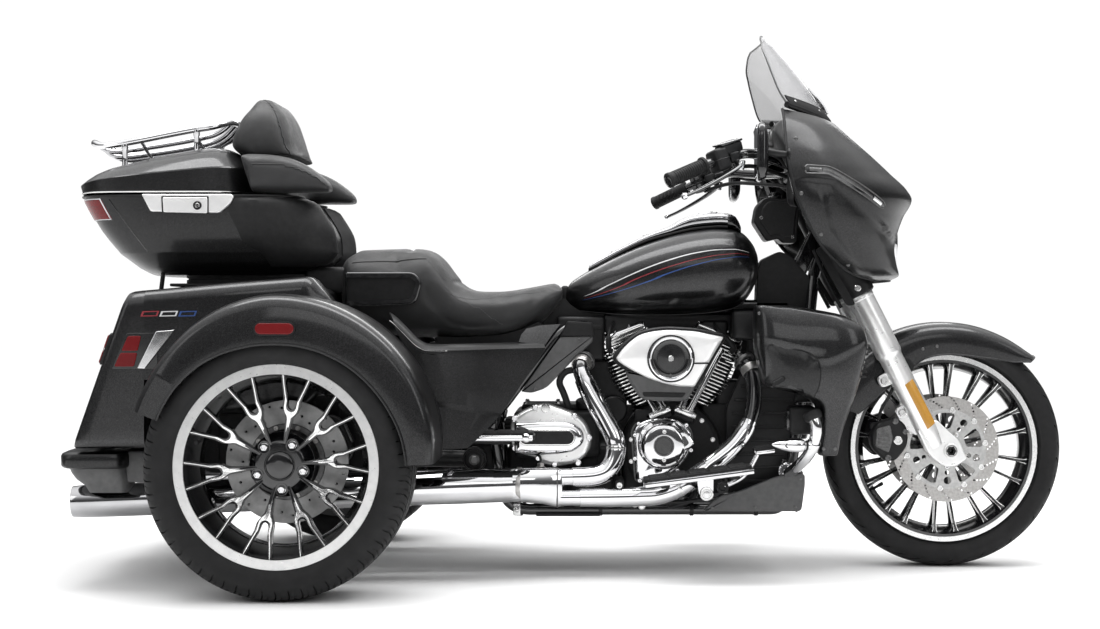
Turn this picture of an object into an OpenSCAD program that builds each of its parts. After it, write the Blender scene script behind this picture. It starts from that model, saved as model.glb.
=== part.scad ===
// Three-wheeled touring motorcycle: two driven rear wheels under a trunk body,
// a sprung fork with a handlebar-mounted fairing, a V-twin engine and a top case.
// X points forward, Y to the rider's left, Z up; the origin is on the ground
// below the middle of the vehicle.

/* [Wheels] */
// Height and radius of the rear tyres
rear_r = 320; // [300:1:340]
// Width of a rear tyre
rear_w = 215; // [185:5:235]
// Sideways distance of a rear wheel's middle from the centre line
rear_y = 552; // [545:1:558]
// Rear axle, ahead of the origin
rear_x = -707; // [-715:1:-700]
// Height and radius of the front tyre
front_r = 319; // [305:1:322]
// Width of the front tyre
front_w = 130; // [110:5:140]
// Front axle, ahead of the origin
front_x = 985; // [975:1:995]
// Spokes in each wheel
spokes = 20; // [10:2:24]

/* [Steering] */
// Lean of the steering axis from the vertical, in degrees
rake = 27; // [25:0.5:29]
// Fork legs, sideways from the centre line
leg_y = 122; // [118:1:130]
// Radius of the lower fork legs
slider_r = 31; // [26:1:33]
// Radius of the handlebar tube
bar_r = 12.7; // [11:0.1:16]

/* [Engine] */
// Angle between the two cylinders, in degrees
vee = 45; // [44:1:48]
// Crankshaft, ahead of the origin
crank_x = 250; // [245:1:255]
// Crankshaft height
crank_z = 318; // [316:1:322]
// Largest radius of the cylinder fins
fin_r = 80; // [70:1:82]
// Spacing of the cooling fins
fin_pitch = 10; // [8:1:12]

/* [Body] */
// Thickness of the moulded body panels
skin = 6; // [4:1:8]
// Slope of the trunk's rear face, forward per unit of height
tail_slope = 0.35; // [0.3:0.01:0.4]
// Half width of the trunk door
door_hw = 384; // [360:1:390]
// Seam height of the top case
seam_z = 988; // [984:1:992]

/* [Hidden] */
$fn = 48;
body_z0 = 543;          // height at which a sheared ring keeps its own x
pivot = [993, 0, 319];  // where the steering axis passes the front axle

// ---------- helpers ----------
function spow(v, e) = v < 0 ? -pow(-v, e) : pow(v, e);
function mid(a, b, t) = a + (b - a) * t;
// value of table column c at key k, straight between rows, key in column 0
function look(t, k, c) = k <= t[0][0] ? t[0][c] : k >= t[len(t) - 1][0] ? t[len(t) - 1][c] :
  [for (i = [0:len(t) - 2]) if (k >= t[i][0] && k < t[i + 1][0])
    mid(t[i][c], t[i + 1][c], (k - t[i][0]) / (t[i + 1][0] - t[i][0]))][0];
// rounded cross-section facing X
function ring_x(x, shear, hw, zb, zt, p, n = 32) =
  let(zc = (zb + zt) / 2, hz = (zt - zb) / 2)
  [for (i = [0:n - 1]) let(a = 360 * (i + 0.5) / n, z = zc + hz * spow(sin(a), 2 / p))
    [x + shear * (z - body_z0), hw * spow(cos(a), 2 / p), z]];
// rounded outline lying flat
function ring_z(z, xa, xb, hw, p, n = 32) =
  let(xc = (xa + xb) / 2, hx = (xb - xa) / 2)
  [for (i = [0:n - 1]) let(a = 360 * (i + 0.5) / n)
    [xc + hx * spow(cos(a), 2 / p), hw * spow(sin(a), 2 / p), z]];
// closed solid through rings of equal length
module loft(rings, flip = false) {
  n = len(rings[0]);
  m = len(rings);
  side = [for (j = [0:m - 2]) for (i = [0:n - 1]) for (h = [0, 1])
    let(a = j * n + i, b = j * n + (i + 1) % n, c = a + n, d = b + n)
    h == 0 ? [a, d, b] : [a, c, d]];
  caps = [[for (i = [0:n - 1]) i], [for (i = [n - 1:-1:0]) (m - 1) * n + i]];
  all = concat(side, caps);
  polyhedron([for (r = rings) for (q = r) q],
    flip ? [for (f = all) [for (i = [len(f) - 1:-1:0]) f[i]]] : all, convexity = 8);
}
// closed panel between an outer and an inner grid of points
module sheet(outer, inner, flip = false) {
  m = len(outer);
  n = len(outer[0]);
  k = m * n;
  faces = concat(
    [for (j = [0:m - 2]) for (i = [0:n - 2]) for (h = [0, 1])
      let(a = j * n + i, b = a + 1, c = a + n, d = c + 1) h == 0 ? [a, b, d] : [a, d, c]],
    [for (j = [0:m - 2]) for (i = [0:n - 2]) for (h = [0, 1])
      let(a = k + j * n + i, b = a + 1, c = a + n, d = c + 1) h == 0 ? [a, d, b] : [a, c, d]],
    [for (i = [0:n - 2]) for (h = [0, 1]) let(a = i, b = i + 1, c = k + i, d = k + i + 1)
      h == 0 ? [a, d, b] : [a, c, d]],
    [for (i = [0:n - 2]) for (h = [0, 1])
      let(a = (m - 1) * n + i, b = a + 1, c = k + a, d = c + 1) h == 0 ? [a, b, d] : [a, d, c]],
    [for (j = [0:m - 2]) for (h = [0, 1])
      let(a = j * n, b = a + n, c = k + a, d = k + b) h == 0 ? [a, b, d] : [a, d, c]],
    [for (j = [0:m - 2]) for (h = [0, 1])
      let(a = j * n + n - 1, b = a + n, c = k + a, d = k + b) h == 0 ? [a, d, b] : [a, c, d]]);
  polyhedron(concat([for (r = outer) for (q = r) q], [for (r = inner) for (q = r) q]),
    flip ? [for (f = faces) [f[2], f[1], f[0]]] : faces, convexity = 8);
}
module rod(a, b, r) {
  d = b - a;
  translate(a) rotate([0, acos(d[2] / norm(d)), atan2(d[1], d[0])]) cylinder(r = r, h = norm(d));
}
// box section between two points of the middle plane, w wide and h deep
module beam(a, b, w, h) {
  d = b - a;
  translate(a) rotate([0, atan2(d[0], d[2]), 0]) translate([-h / 2, -w / 2, 0]) cube([h, w, norm(d)]);
}
module tubes(pts, r) {
  for (i = [0:len(pts) - 2]) rod(pts[i], pts[i + 1], r);
  if (len(pts) > 2) for (i = [1:len(pts) - 2]) translate(pts[i]) sphere(r = r + 0.5);
}
function unit(v) = v / norm(v);
// the same route with its corners cut, ends kept
function eased(p) = concat([p[0]], [for (i = [0:len(p) - 2]) each
  i == 0 ? [mid(p[0], p[1], 0.75)] : i == len(p) - 2 ? [mid(p[i], p[i + 1], 0.25)] : [mid(p[i], p[i + 1], 0.25), mid(p[i], p[i + 1], 0.75)]],
  [p[len(p) - 1]]);
// bent tube along a route; up is any direction that the route never takes
module bent(route, r, up, sides = 12) {
  p = eased(eased(route));
  n = len(p);
  loft([for (i = [0:n - 1]) let(
      t = unit((i == 0 ? [0, 0, 0] : unit(p[i] - p[i - 1])) + (i == n - 1 ? [0, 0, 0] : unit(p[i + 1] - p[i]))),
      a = unit(cross(t, up)), b = cross(t, a))
    [for (k = [0:sides - 1]) p[i] + r * (cos(360 * k / sides) * a + sin(360 * k / sides) * b)]]);
}
// straight tube lengths with mitred corners
function mitre(p, i, ring) = i == len(p) - 1 ? [ring] : concat([ring], mitre(p, i + 1, let(d = unit(p[i + 1] - p[i]),
  t = i + 2 == len(p) ? d : unit(d + unit(p[i + 2] - p[i + 1]))) [for (q = ring) q + d * (((p[i + 1] - q) * t) / (d * t))]));
module mitred(p, r, up, sides = 24) {
  d = unit(p[1] - p[0]);
  a = unit(cross(d, up));
  b = cross(d, a);
  loft(mitre(p, 0, [for (k = [0:sides - 1]) p[0] + r * (cos(360 * k / sides) * a + sin(360 * k / sides) * b)]));
}
module both() { children(); mirror([0, 1, 0]) children(); }
module block(lo, hi) { translate(lo) cube(hi - lo); }
// the fork's own frame: z up the steering axis, x square ahead of it
module steer() { translate(pivot) rotate([0, -rake, 0]) children(); }
module turned_y(x, z) { translate([x, 0, z]) rotate([90, 0, 0]) children(); }

// ---------- wheels ----------
// tyre section, half: radius from the axle as a share of the tread radius, half width as a share
tyre_rows = [ // [radius share from flange to tread, half width share]
  [0.08, 0.90], [0.28, 0.985], [0.48, 1.0], [0.70, 0.95], [0.86, 0.80], [0.95, 0.58], [0.99, 0.34], [1, 0.12]];
module tyre(r, w, seat_r, flange_r, bead) {
  half = concat([[seat_r, bead], [flange_r + 1, bead]],
    [for (q = tyre_rows) [flange_r + (r - flange_r) * q[0], w / 2 * q[1]]]);
  rotate_extrude($fn = 96) polygon(concat(half, [for (i = [len(half) - 1:-1:0]) [half[i][0], -half[i][1]]]));
}
// rim barrel with two flanges, spokes and hub; face = spoke plane, off the wheel's middle
module rim(barrel_r, flange_r, half, face, hub_r, hub_lo, hub_hi, bore_r) {
  difference() {
    union() {
      rotate_extrude($fn = 96) polygon([[barrel_r - 10, -half - 8], [flange_r, -half - 8], [flange_r, -half],
        [barrel_r, -half], [barrel_r, half], [flange_r, half], [flange_r, half + 8], [barrel_r - 10, half + 8]]);
      for (i = [0:spokes - 1]) rotate(360 * i / spokes + 360 / spokes / 2)
        translate([hub_r - 6, -6, face - 9]) cube([barrel_r - 8 - hub_r + 6, 12, 18]);
      translate([0, 0, hub_lo]) cylinder(r = hub_r, h = hub_hi - hub_lo);
    }
    translate([0, 0, hub_lo - 1]) cylinder(r = bore_r, h = hub_hi - hub_lo + 2);
  }
}
module front_tyre() color("#1a1a1c") turned_y(front_x, front_r) tyre(front_r, front_w, 237, 252, 43.5);
module front_rim() color("#15161a") turned_y(front_x, front_r) rim(236, 252, 44, 0, 52, -74, 74, 12.6);
module front_discs() color("#b9b9b6") for (s = [-1, 1]) turned_y(front_x, front_r)
  translate([0, 0, s > 0 ? 74.5 : -79.5]) difference() {
    cylinder(r = 141, h = 5);
    translate([0, 0, -1]) cylinder(r = 30, h = 7);
    for (i = [0:4]) rotate(72 * i) translate([70, 0, -1]) cylinder(r = 17, h = 7);
  }
// s is the side: -1 right, 1 left
module rear_tyre(s) translate([0, s * rear_y, 0]) turned_y(rear_x, rear_r) tyre(rear_r, rear_w, 227, 243, 91.5);
module rear_rim(s) translate([0, s * rear_y, 0]) turned_y(rear_x, rear_r) mirror([0, 0, s > 0 ? 1 : 0])
  rim(226, 243, 92, 12, 78, -28, 16, 30);
module rear_disc(s) mirror([0, s > 0 ? 1 : 0, 0]) color("#9c9c99") turned_y(rear_x, rear_r) {
  translate([0, 0, 478]) cylinder(r = 150, h = 9);
  translate([0, 0, 487]) cylinder(r = 74, h = 36.6);
  translate([0, 0, 523]) cylinder(r = 29.5, h = 37);
  translate([0, 0, 405]) cylinder(r = 20, h = 74);
}
module rear_tyre_right() color("#1a1a1c") rear_tyre(-1);
module rear_tyre_left() color("#1a1a1c") rear_tyre(1);
module rear_rim_right() color("#15161a") rear_rim(-1);
module rear_rim_left() color("#15161a") rear_rim(1);
module rear_disc_right() rear_disc(-1);
module rear_disc_left() rear_disc(1);

// ---------- running gear ----------
module frame() color("#101113") {
  difference() {
    union() {
      steer() translate([0, 0, 627]) cylinder(r = 38, h = 132);
      beam([672, 0, 943], [552, 0, 706], 40, 44);
      block([70, -32, 678], [575, 32, 720]);
      block([70, -32, 650], [108, 32, 690]);
      beam([676, 0, 893], [632, 0, 758], 34, 30);
    }
    steer() translate([0, 0, 600]) cylinder(r = 26.1, h = 200);
  }
  both() {
    tubes([[639, 17, 778], [606, 100, 560], [556, 122, 200], [530, 134, 165], [-190, 142, 165], [-226, 150, 400]], 15);
    tubes([[-226, 150, 400], [-36, 118, 646], [90, 20, 662]], 13);
    tubes([[-226, 150, 400], [-420, 165, 560], [-600, 165, 580]], 13);
    block([-310, 92, 262], [-205, 138, 340]);
    translate([-226, 150, 400]) sphere(r = 26);
  }
  // flat cross-member that a lift's pad meets
  block([-120, -132, 150], [-40, 132, 172]);
  rod([-226, -150, 400], [-226, 150, 400], 14);
  rod([-262, -118, 300], [-262, 118, 300], 15);
  rod([460, -134, 166], [460, 134, 166], 11);
}
module swingarm() color("#141517") {
  both() {
    tubes([[-270, 165, 300], [-500, 190, 306], [rear_x, 215, rear_r]], 22);
    difference() {
      union() {
        rod([rear_x, 120, rear_r], [rear_x, 470, rear_r], 42);
        rod([rear_x, 452, rear_r], [rear_x, 470, rear_r], 58);
      }
      rod([rear_x, 390, rear_r], [rear_x, 480, rear_r], 20.1);
    }
    rod([-270, 152, 300], [-270, 188, 300], 32);
  }
  turned_y(rear_x, rear_r) translate([0, 0, -128]) cylinder(r = 88, h = 256);
}
module shock_absorbers() color("#202124") both() {
  rod([-520, 212, 338], [-505, 212, 400], 20);
  rod([-505, 212, 400], [-462, 212, 588], 30);
}
module rear_calipers() color("#26272a") both() difference() {
  translate([rear_x, 440, rear_r]) rotate([0, -25, 0]) block([98, 0, -62], [160, 32, 62]);
  turned_y(rear_x, rear_r) translate([0, 0, -600]) cylinder(r = 60, h = 200);
}

// ---------- engine ----------
// one cylinder in its own frame, z up the bore from the crankshaft
module cylinder_stack() {
  rotate_extrude() polygon(concat([[0, 138], [50, 138]],
    [for (d = [146:fin_pitch:266]) each let(r = min(fin_r, d * sin(vee / 2) - 2))
      [[50, d - 1], [r, d], [r, d + 4], [50, d + 5]]], [[50, 278], [0, 278]]));
  block([-74, -84, 277], [74, 84, 318]);
  block([-66, -72, 317], [66, 72, 350]);
}
module front_cylinder() color("#17181b") translate([crank_x, 0, crank_z]) rotate([0, vee / 2, 0]) cylinder_stack();
module rear_cylinder() color("#17181b") translate([crank_x, 0, crank_z]) rotate([0, -vee / 2, 0]) cylinder_stack();
module crankcase() color("#1b1c1f") {
  turned_y(crank_x, crank_z) translate([0, 0, -112]) cylinder(r = 132, h = 224);
  block([118, -112, 190], [392, 112, 300]);
}
module gearbox() color("#1b1c1f") {
  block([-190, -120, 196], [112, 118, 330]);
  block([-170, -150, 300], [60, 118, 425]);
}
module engine_covers() color("#d8d8d6") {
  // cam cover
  turned_y(222, 341) translate([0, 0, 113]) cylinder(r = 84, h = 60);
  turned_y(222, 341) translate([0, 0, 172]) cylinder(r = 55, h = 70);
  // gearbox end cover
  turned_y(-40, 366) translate([0, 0, 151]) cylinder(r = 74, h = 62);
  block([-165, -213, 322], [-40, -151, 398]);
}
module primary_cover() color("#cfcfcd") {
  turned_y(crank_x, crank_z) translate([0, 0, -232]) cylinder(r = 106, h = 118);
  turned_y(-55, crank_z + 6) translate([0, 0, -232]) cylinder(r = 100, h = 112);
  block([-55, 122, 232], [crank_x, 226, 410]);
}
module air_cleaner() color("#d9d9d8") {
  translate([0, -212, 0]) turned_y(236, 566) linear_extrude(82) intersection() {
    translate([-8, -92]) circle(r = 165);
    translate([-8, 92]) circle(r = 165);
    translate([-170, -80]) square([296, 160]);
  }
  turned_y(250, 560) translate([0, 0, 96]) cylinder(r = 30, h = 117);
}

// ---------- tank, seat ----------
tank_rows = [ // [x, bottom, top, half width]
  [-34, 716, 742, 22], [-20, 698, 764, 46], [10, 684, 786, 74], [60, 679, 814, 102], [115, 675, 842, 126],
  [175, 673, 868, 145], [242, 673, 890, 160], [310, 676, 906, 170], [368, 682, 912, 173], [410, 690, 910, 170],
  [442, 708, 896, 160], [466, 738, 872, 138], [480, 772, 846, 100], [485, 796, 824, 52]];
function tank_half(q) = let(hw = q[3], zc = (q[1] + q[2]) / 2, hz = (q[2] - q[1]) / 2, tw = min(38 + hw * 0.04, hw * 0.42),
    tun = max(min(724 + hw * 0.06, zc), q[1] + 5))
  concat([[0, tun + 2], [tw, tun], [tw, q[1]]],
    [for (a = [-62:19:90]) [hw * pow(cos(a), 0.72), zc + hz * spow(sin(a), 0.8)]]);
module fuel_tank() color("#3b3c40") loft([for (q = tank_rows) let(h = tank_half(q), n = len(h))
  concat([for (p = h) [q[0], p[0], p[1]]], [for (i = [n - 2:-1:1]) [q[0], -h[i][0], h[i][1]]])]);
console_rows = [ // [x, underside, top, half width]
  [30, 802, 812, 20], [113, 846, 858, 34], [200, 884, 900, 42], [270, 903, 932, 50], [330, 914, 950, 56],
  [384, 917, 953, 58], [424, 914, 948, 52]];
module tank_console() color("#c9c9c8") loft([for (q = console_rows) ring_x(q[0], 0, q[3], q[1], q[2], 3.4, 20)]);
seat_rows = [ // [x, bottom, top, half width]
  [-628, 690, 826, 150], [-618, 664, 840, 180], [-590, 642, 847, 194], [-520, 622, 850, 202], [-440, 612, 852, 208],
  [-395, 611, 848, 212], [-365, 611, 826, 214], [-335, 611, 784, 215], [-301, 611, 750, 216], [-255, 612, 741, 216],
  [-200, 617, 741, 210], [-150, 630, 746, 192], [-105, 654, 754, 160], [-68, 690, 763, 122], [-40, 722, 768, 86]];
module seat() color("#1c1d1f") loft([for (q = seat_rows) ring_x(q[0], 0, q[3], q[1], q[2], 3.2, 32)]);

// ---------- rear body ----------
trunk_rows = [ // [x, shear, half width, floor, roof, squareness]
  [-636, 0, 396, 470, 758, 6], [-690, 0, 420, 436, 770, 7], [-860, 0, 424, 428, 760, 7], [-1030, 0, 424, 424, 744, 7],
  [-1046, 0, 428, 420, 742, 7], [-1053, 0, 494, 352, 741, 7], [-1166, tail_slope, 490, 350, 736, 7]];
module rear_body() color("#34363a") loft(flip = true, concat(
  [for (q = trunk_rows) ring_x(q[0], q[1], q[2], q[3], q[4], q[5], 40)],
  [ring_x(-1166, tail_slope, 370, 376, 716, 8, 40), ring_x(-1152, tail_slope, 370, 376, 716, 8, 40),
   ring_x(-1150, tail_slope, 478, 364, 722, 7, 40), ring_x(-1068, 0, 480, 366, 727, 7, 40),
   ring_x(-1058, 0, 412, 436, 729, 7, 40), ring_x(-860, 0, 412, 442, 746, 7, 40),
   ring_x(-660, 0, 400, 452, 748, 6, 40)]));
door_rows = [ // [distance out of the tail plane, inset from the door's edge]
  [10, 0], [20, 0], [30, 10], [38, 40]];
module trunk_door() color("#34363a") loft(flip = true, [for (q = door_rows)
  ring_x(-1166 - q[0], tail_slope, door_hw - q[1], 362 + q[1], 730 - q[1], 8, 40)]);
// arch of the rear fender about the rear axle
arch_rows = [ // [angle from ahead, lip radius, crown radius]
  [3, 308, 374], [15, 305, 384], [27, 300, 391], [40, 296, 397], [52, 294, 401], [64, 292, 404], [77, 290, 407], [90, 288, 408],
  [103, 289, 402], [115, 292, 393], [127, 294, 380], [140, 294, 368], [150, 293, 361], [157, 292, 357]];
// section of the fender: [share of the way from lip to crown, sideways place]
arch_section = [[0, -688], [0.55, -688], [0.83, -682], [0.95, -664], [1, -632], [1, -560], [1, -490], [1, -428]];
arch_inner = [[0, -681], [0.55, -681], [0.79, -676], [0.89, -660], [0.925, -632], [0.925, -560], [0.925, -490], [0.925, -428]];
function arch(rows, sec) = [for (q = rows) [for (p = sec) let(r = mid(q[1], q[2], p[0]))
  [rear_x + r * cos(q[0]), p[1], rear_r + r * sin(q[0])]]];
module fender() sheet(arch(arch_rows, arch_section), arch(arch_rows, arch_inner), true);
module rear_fender_right() color("#34363a") fender();
module rear_fender_left() color("#34363a") mirror([0, 1, 0]) fender();
panel_rows = [ // [x, lowest, highest, sideways at the foot, sideways at the shoulder]
  [-330, 396, 604, -436, -444], [-280, 394, 597, -404, -410], [-226, 392, 594, -352, -362],
  [-180, 424, 592, -312, -324], [-130, 498, 591, -286, -294], [-92, 566, 590, -262, -268]];
function panel(off) = [for (q = panel_rows) concat([for (t = [0:0.25:1])
    [q[0], mid(q[3], q[4], t) + off, mid(q[1], q[2], t)]], [[q[0], q[4] + 30, q[2] + 8 - off * 0.4], [q[0], -232, q[2] + 10 - off]])];
module side_panel() sheet(panel(0), panel(skin));
module side_panel_right() color("#34363a") side_panel();
module side_panel_left() color("#34363a") mirror([0, 1, 0]) side_panel();
module rear_bumper() color("#2c2d30") {
  loft([for (q = [[300, 12], [306, 0], [334, 0], [340, 10]]) ring_z(q[0], -1286 + q[1], -1096 - q[1], 470 - q[1], 7, 40)]);
  difference() {
    loft([for (q = [[262, 48], [282, 22], [300, 14]]) ring_z(q[0], -1276 + q[1], -1100 - q[1], 462 - q[1], 7, 40)]);
    block([-1256, -430, 255], [-1118, 430, 290]);
    both() rod([-1100, 322, 211], [-1320, 340, 204], 47);
  }
  // plate bracket with its four bolt holes
  difference() {
    block([-1297, -100, 256], [-1287, 100, 352]);
    for (y = [-73, 73]) for (z = [270, 340]) translate([-1300, y, z]) rotate([0, 90, 0]) cylinder(r = 3.5, h = 20);
  }
}
module rear_lamps() color("#7d1016") both() {
  translate([-1166, 0, body_z0]) rotate([0, atan(tail_slope), 0]) block([-14, 396, 18], [-2.5, 482, 92]);
  block([-746, 688.5, 638], [-656, 695, 660]);
  translate([-1278, 0, 950]) rotate([0, -30, 0]) block([-14, 120, -24], [-4, 236, 24]);
}

// ---------- top case ----------
case_rows = [ // [z, rear end, front end, half width, squareness]
  [782, -1131, -723, 190, 4], [800, -1160, -664, 226, 4.4], [838, -1208, -632, 256, 4.6], [895, -1250, -646, 275, 5],
  [940, -1276, -672, 282, 5], [seam_z - 2, -1299, -705, 286, 5]];
function case_ring(z, q, off) = ring_z(z, q[1] + off, q[2] - off, q[3] - off, q[4], 40);
module top_case_base() color("#2b2c2f") {
  loft(concat([for (q = case_rows) case_ring(q[0], q, 0)],
    [for (i = [5:-1:1]) case_ring(i == 1 ? 802 : case_rows[i][0], case_rows[i], 8)]));
  // four posts down to the trunk roof
  for (x = [-1020, -800]) for (y = [-120, 120]) translate([x, y, 766]) cylinder(r = 9, h = 17);
}
lid_rise = [ // [x, height of the lid's top]
  [-1304, 1030], [-1244, 1058], [-1168, 1078], [-1020, 1112], [-907, 1130], [-830, 1132]];
lid_steps = [ // [share of the rise, inset of the outline]
  [0, 0], [0.55, 6], [0.85, 22], [1, 60]];
function lid_ring(t, inset, thick) = [for (q = ring_z(0, -1296 + inset, -846 - inset * 0.6, 286 - inset, 5, 40))
  [q[0] - t * 26, q[1], seam_z + 3 + t * (look(lid_rise, q[0], 1) - seam_z - 3 - thick)]];
module top_case_lid() color("#34363a") loft(flip = true, concat([lid_ring(1, 200, 0)],
  [for (i = [3:-1:0]) lid_ring(lid_steps[i][0], lid_steps[i][1], 0)], [lid_ring(0, 8, 0)],
  [for (i = [1:3]) lid_ring(lid_steps[i][0], lid_steps[i][1] + 8, 8)], [lid_ring(1, 200, 8)]));
module armrest_pads() color("#1d1e20") translate([0, 0, seam_z + 2]) linear_extrude(100) difference() {
  translate([-838, -292]) square([200, 584]);
  translate([-752, -178]) square([140, 356]);
}
back_rows = [ // [z, rear face, front face, half width]
  [1096, -868, -736, 172], [1136, -872, -746, 178], [1144, -908, -752, 178], [1182, -904, -770, 172], [1214, -894, -790, 156],
  [1244, -880, -816, 124], [1262, -864, -842, 70]];
module backrest_pad() color("#1d1e20") loft([for (q = back_rows) ring_z(q[0], q[1], q[2], q[3], 3.4, 28)]);
rack_side = [[-1288, 112, 1136], [-1246, 150, 1119], [-1010, 158, 1166], [-966, 150, 1172], [-920, 106, 1192]];
module luggage_rack() color("#dcdcdb") {
  bent(concat([[-1288, -2, 1136], [-1288, -70, 1136]], [for (q = rack_side) [q[0], -q[1], q[2]]], [[-920, 0, 1192]],
    [for (i = [4:-1:0]) rack_side[i]], [[-1288, 70, 1136], [-1288, 2, 1136]]), 7, [0, 0.1, 1]);
  for (y = [-90, -54, -18, 18, 54, 90]) rod([-1276, y, 1137], [-932, y, 1182], 4.5);
  both() for (x = [-1190, -1030]) let(t = (x + 1246) / 236)
    rod([x, 150 + 8 * t, look(lid_rise, x, 1) - 22], [x, 150 + 8 * t, 1108 + 47 * t], 5);
}

// ---------- exhaust ----------
module exhaust_pipes() color("#d6d4d0") {
  bent([[22, -128, 560], [2, -168, 540], [40, -186, 458], [75, -196, 398], [102, -206, 346], [94, -214, 292], [60, -222, 259], [-52, -236, 258]], 23, [0, 1, 0]);
  bent([[432, -112, 566], [466, -146, 520], [462, -168, 420], [420, -186, 345], [353, -200, 291], [240, -214, 210], [120, -226, 206], [-52, -238, 206]], 22, [0, 1, 0]);
  rod([-56, -238, 240], [-156, -246, 240], 45);
}
module mufflers() color("#d9d8d6") {
  both() difference() {
    mitred([[-163, 246, 240], [-420, 268, 232], [-1279, 334, 206]], 41, [0, 1, 0], 32);
    rod([-1180, 327, 209], [-1300, 335.5, 205.4], 34);
  }
  rod([-245, -246, 226], [-245, 246, 226], 19);
}

// ---------- foot boards, guards, lower panels ----------
module floorboards() color("#1f2022") both() {
  translate([304, 0, 276]) rotate([0, -7.5, 0]) block([-142, 262, -12], [142, 382, 8]);
  block([-353, 246, 362], [-107, 345, 382]);
}
module foot_controls() color("#c8c8c7") {
  bent([[372, -236, 232], [432, -240, 258], [464, -244, 318]], 8, [0, 1, 0]);
  block([450, -330, 326], [500, -236, 342]);
  bent([[380, 250, 236], [470, 256, 296], [516, 262, 322]], 8, [0, 1, 0]);
  rod([526, 262, 332], [526, 352, 332], 11);
}
module engine_guard() color("#d9d9d8") both()
  bent([[552, 152, 266], [548, 220, 270], [560, 300, 290], [586, 352, 330], [598, 374, 376], [598, 376, 404], [588, 368, 430]], 15, [1, 0, 0]);
lower_rows = [ // [z, rear edge, front edge, inboard, outboard]
  [321, 613, 660, -262, -330], [370, 612, 668, -256, -350], [415, 610, 680, -250, -370], [446, 604, 690, -246, -385],
  [480, 556, 702, -243, -398], [500, 474, 708, -242, -404], [545, 458, 720, -240, -408], [600, 448, 731, -240, -406],
  [640, 446, 722, -242, -400], [675, 446, 676, -250, -390], [702, 448, 540, -270, -372]];
function lower_ring(q) = [for (i = [0:23]) let(a = 360 * (i + 0.5) / 24, c = spow(cos(a), 0.55), s = spow(sin(a), 0.55))
  [(q[1] + q[2]) / 2 + (q[2] - q[1]) / 2 * c, (q[3] + q[4]) / 2 + (q[3] - q[4]) / 2 * s, q[0]]];
module lower_fairing() loft([for (q = lower_rows) lower_ring(q)]);
module lower_fairing_right() color("#303236") lower_fairing();
module lower_fairing_left() color("#303236") mirror([0, 1, 0]) lower_fairing();
chin = [[330, 164], [585, 164], [594, 232], [505, 252], [420, 216], [345, 186]];
module chin_spoiler() color("#4a4b4d") {
  both() translate([0, 186, 0]) rotate([90, 0, 0]) linear_extrude(6) polygon(chin);
  difference() {
    translate([0, 186, 0]) rotate([90, 0, 0]) linear_extrude(372) polygon([[578, 164], [585, 164], [594, 232], [587, 234]]);
  }
}

// ---------- fork and front end ----------
clamp = [[34, -45], [34, 45], [2, 160], [-68, 160], [-68, 95], [-18, 60], [-18, -60], [-68, -95], [-68, -160], [2, -160]];
module fork() color("#131417") {
  steer() {
    translate([0, 0, 596]) cylinder(r = 26, h = 196);
    for (z = [598, 764]) translate([0, 0, z]) linear_extrude(24) polygon(clamp);
    for (s = [-1, 1]) translate([-34, s * leg_y, 480]) {
      cylinder(r = 35, h = 110);
      cylinder(r = 25, h = 306);
    }
    for (s = [-1, 1]) translate([-3, s * 44, 786]) cylinder(r = 12, h = 36);
  }
}
module fork_sliders() color("#c9c9c7") for (s = [-1, 1]) difference() {
  union() {
    steer() translate([-34, s * leg_y, 20]) cylinder(r = slider_r, h = 290);
    steer() translate([-34, s * leg_y, 300]) cylinder(r = slider_r + 3, h = 179);
    translate([0, s * leg_y, 0]) turned_y(front_x, front_r) translate([0, 0, -22]) cylinder(r = 27, h = 44);
    steer() translate([-28, s * leg_y - 20, -4]) cube([32, 40, 50]);
  }
  turned_y(front_x, front_r) translate([0, 0, -200]) cylinder(r = 15, h = 400);
}
// hollow axle through both legs
module front_axle() color("#8c8c8a") turned_y(front_x, front_r) difference() {
  union() {
    translate([0, 0, -146]) cylinder(r = 14.9, h = 56);
    translate([0, 0, 90]) cylinder(r = 14.9, h = 56);
    translate([0, 0, -146]) cylinder(r = 12.5, h = 292);
  }
  translate([0, 0, -147]) cylinder(r = 8, h = 294);
}
mud_rows = [ // [angle from ahead, crown radius, skirt depth]
  [46, 346, 22], [52, 344, 48], [60, 343, 66], [68, 342, 78], [76, 341, 84], [86, 340, 86], [96, 340, 88], [104, 340, 92], [112, 340, 104],
  [120, 341, 112], [128, 342, 116], [136, 343, 116], [144, 344, 112], [152, 345, 104], [158, 346, 92]];
mud_section = [[1, 83], [0.62, 84], [0.3, 80], [0.12, 66], [0.03, 42], [0, 14], [0, -14], [0.03, -42], [0.12, -66], [0.3, -80], [0.62, -84], [1, -83]];
function mud(off) = [for (q = mud_rows) [for (p = mud_section) let(r = q[1] - p[0] * q[2] - off * (1 - p[0] * 0.7), w = p[1] * (1 - off * 0.0125 * min(1, p[0] * 3)))
  [front_x + r * cos(q[0]), w, front_r + r * sin(q[0])]]];
module front_fender() color("#34363a") sheet(mud(0), mud(4));
module front_calipers() color("#1d1e21") both() block([786, 87, 300], [872, 119, 396]);
bar_path = [[590, 0, 1068], [590, 60, 1068], [536, 196, 1074], [430, 318, 1092], [322, 382, 1054], [229, 432, 1011]];
module handlebar() color("#111214") {
  mitred(concat([for (i = [5:-1:1]) [bar_path[i][0], -bar_path[i][1], bar_path[i][2]]], [for (i = [1:5]) bar_path[i]]), bar_r, [0, 0, 1]);
}
module sleeve(a, b, r, bore) difference() { rod(a, b, r); rod(a - (b - a), b + (b - a), bore); }
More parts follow.
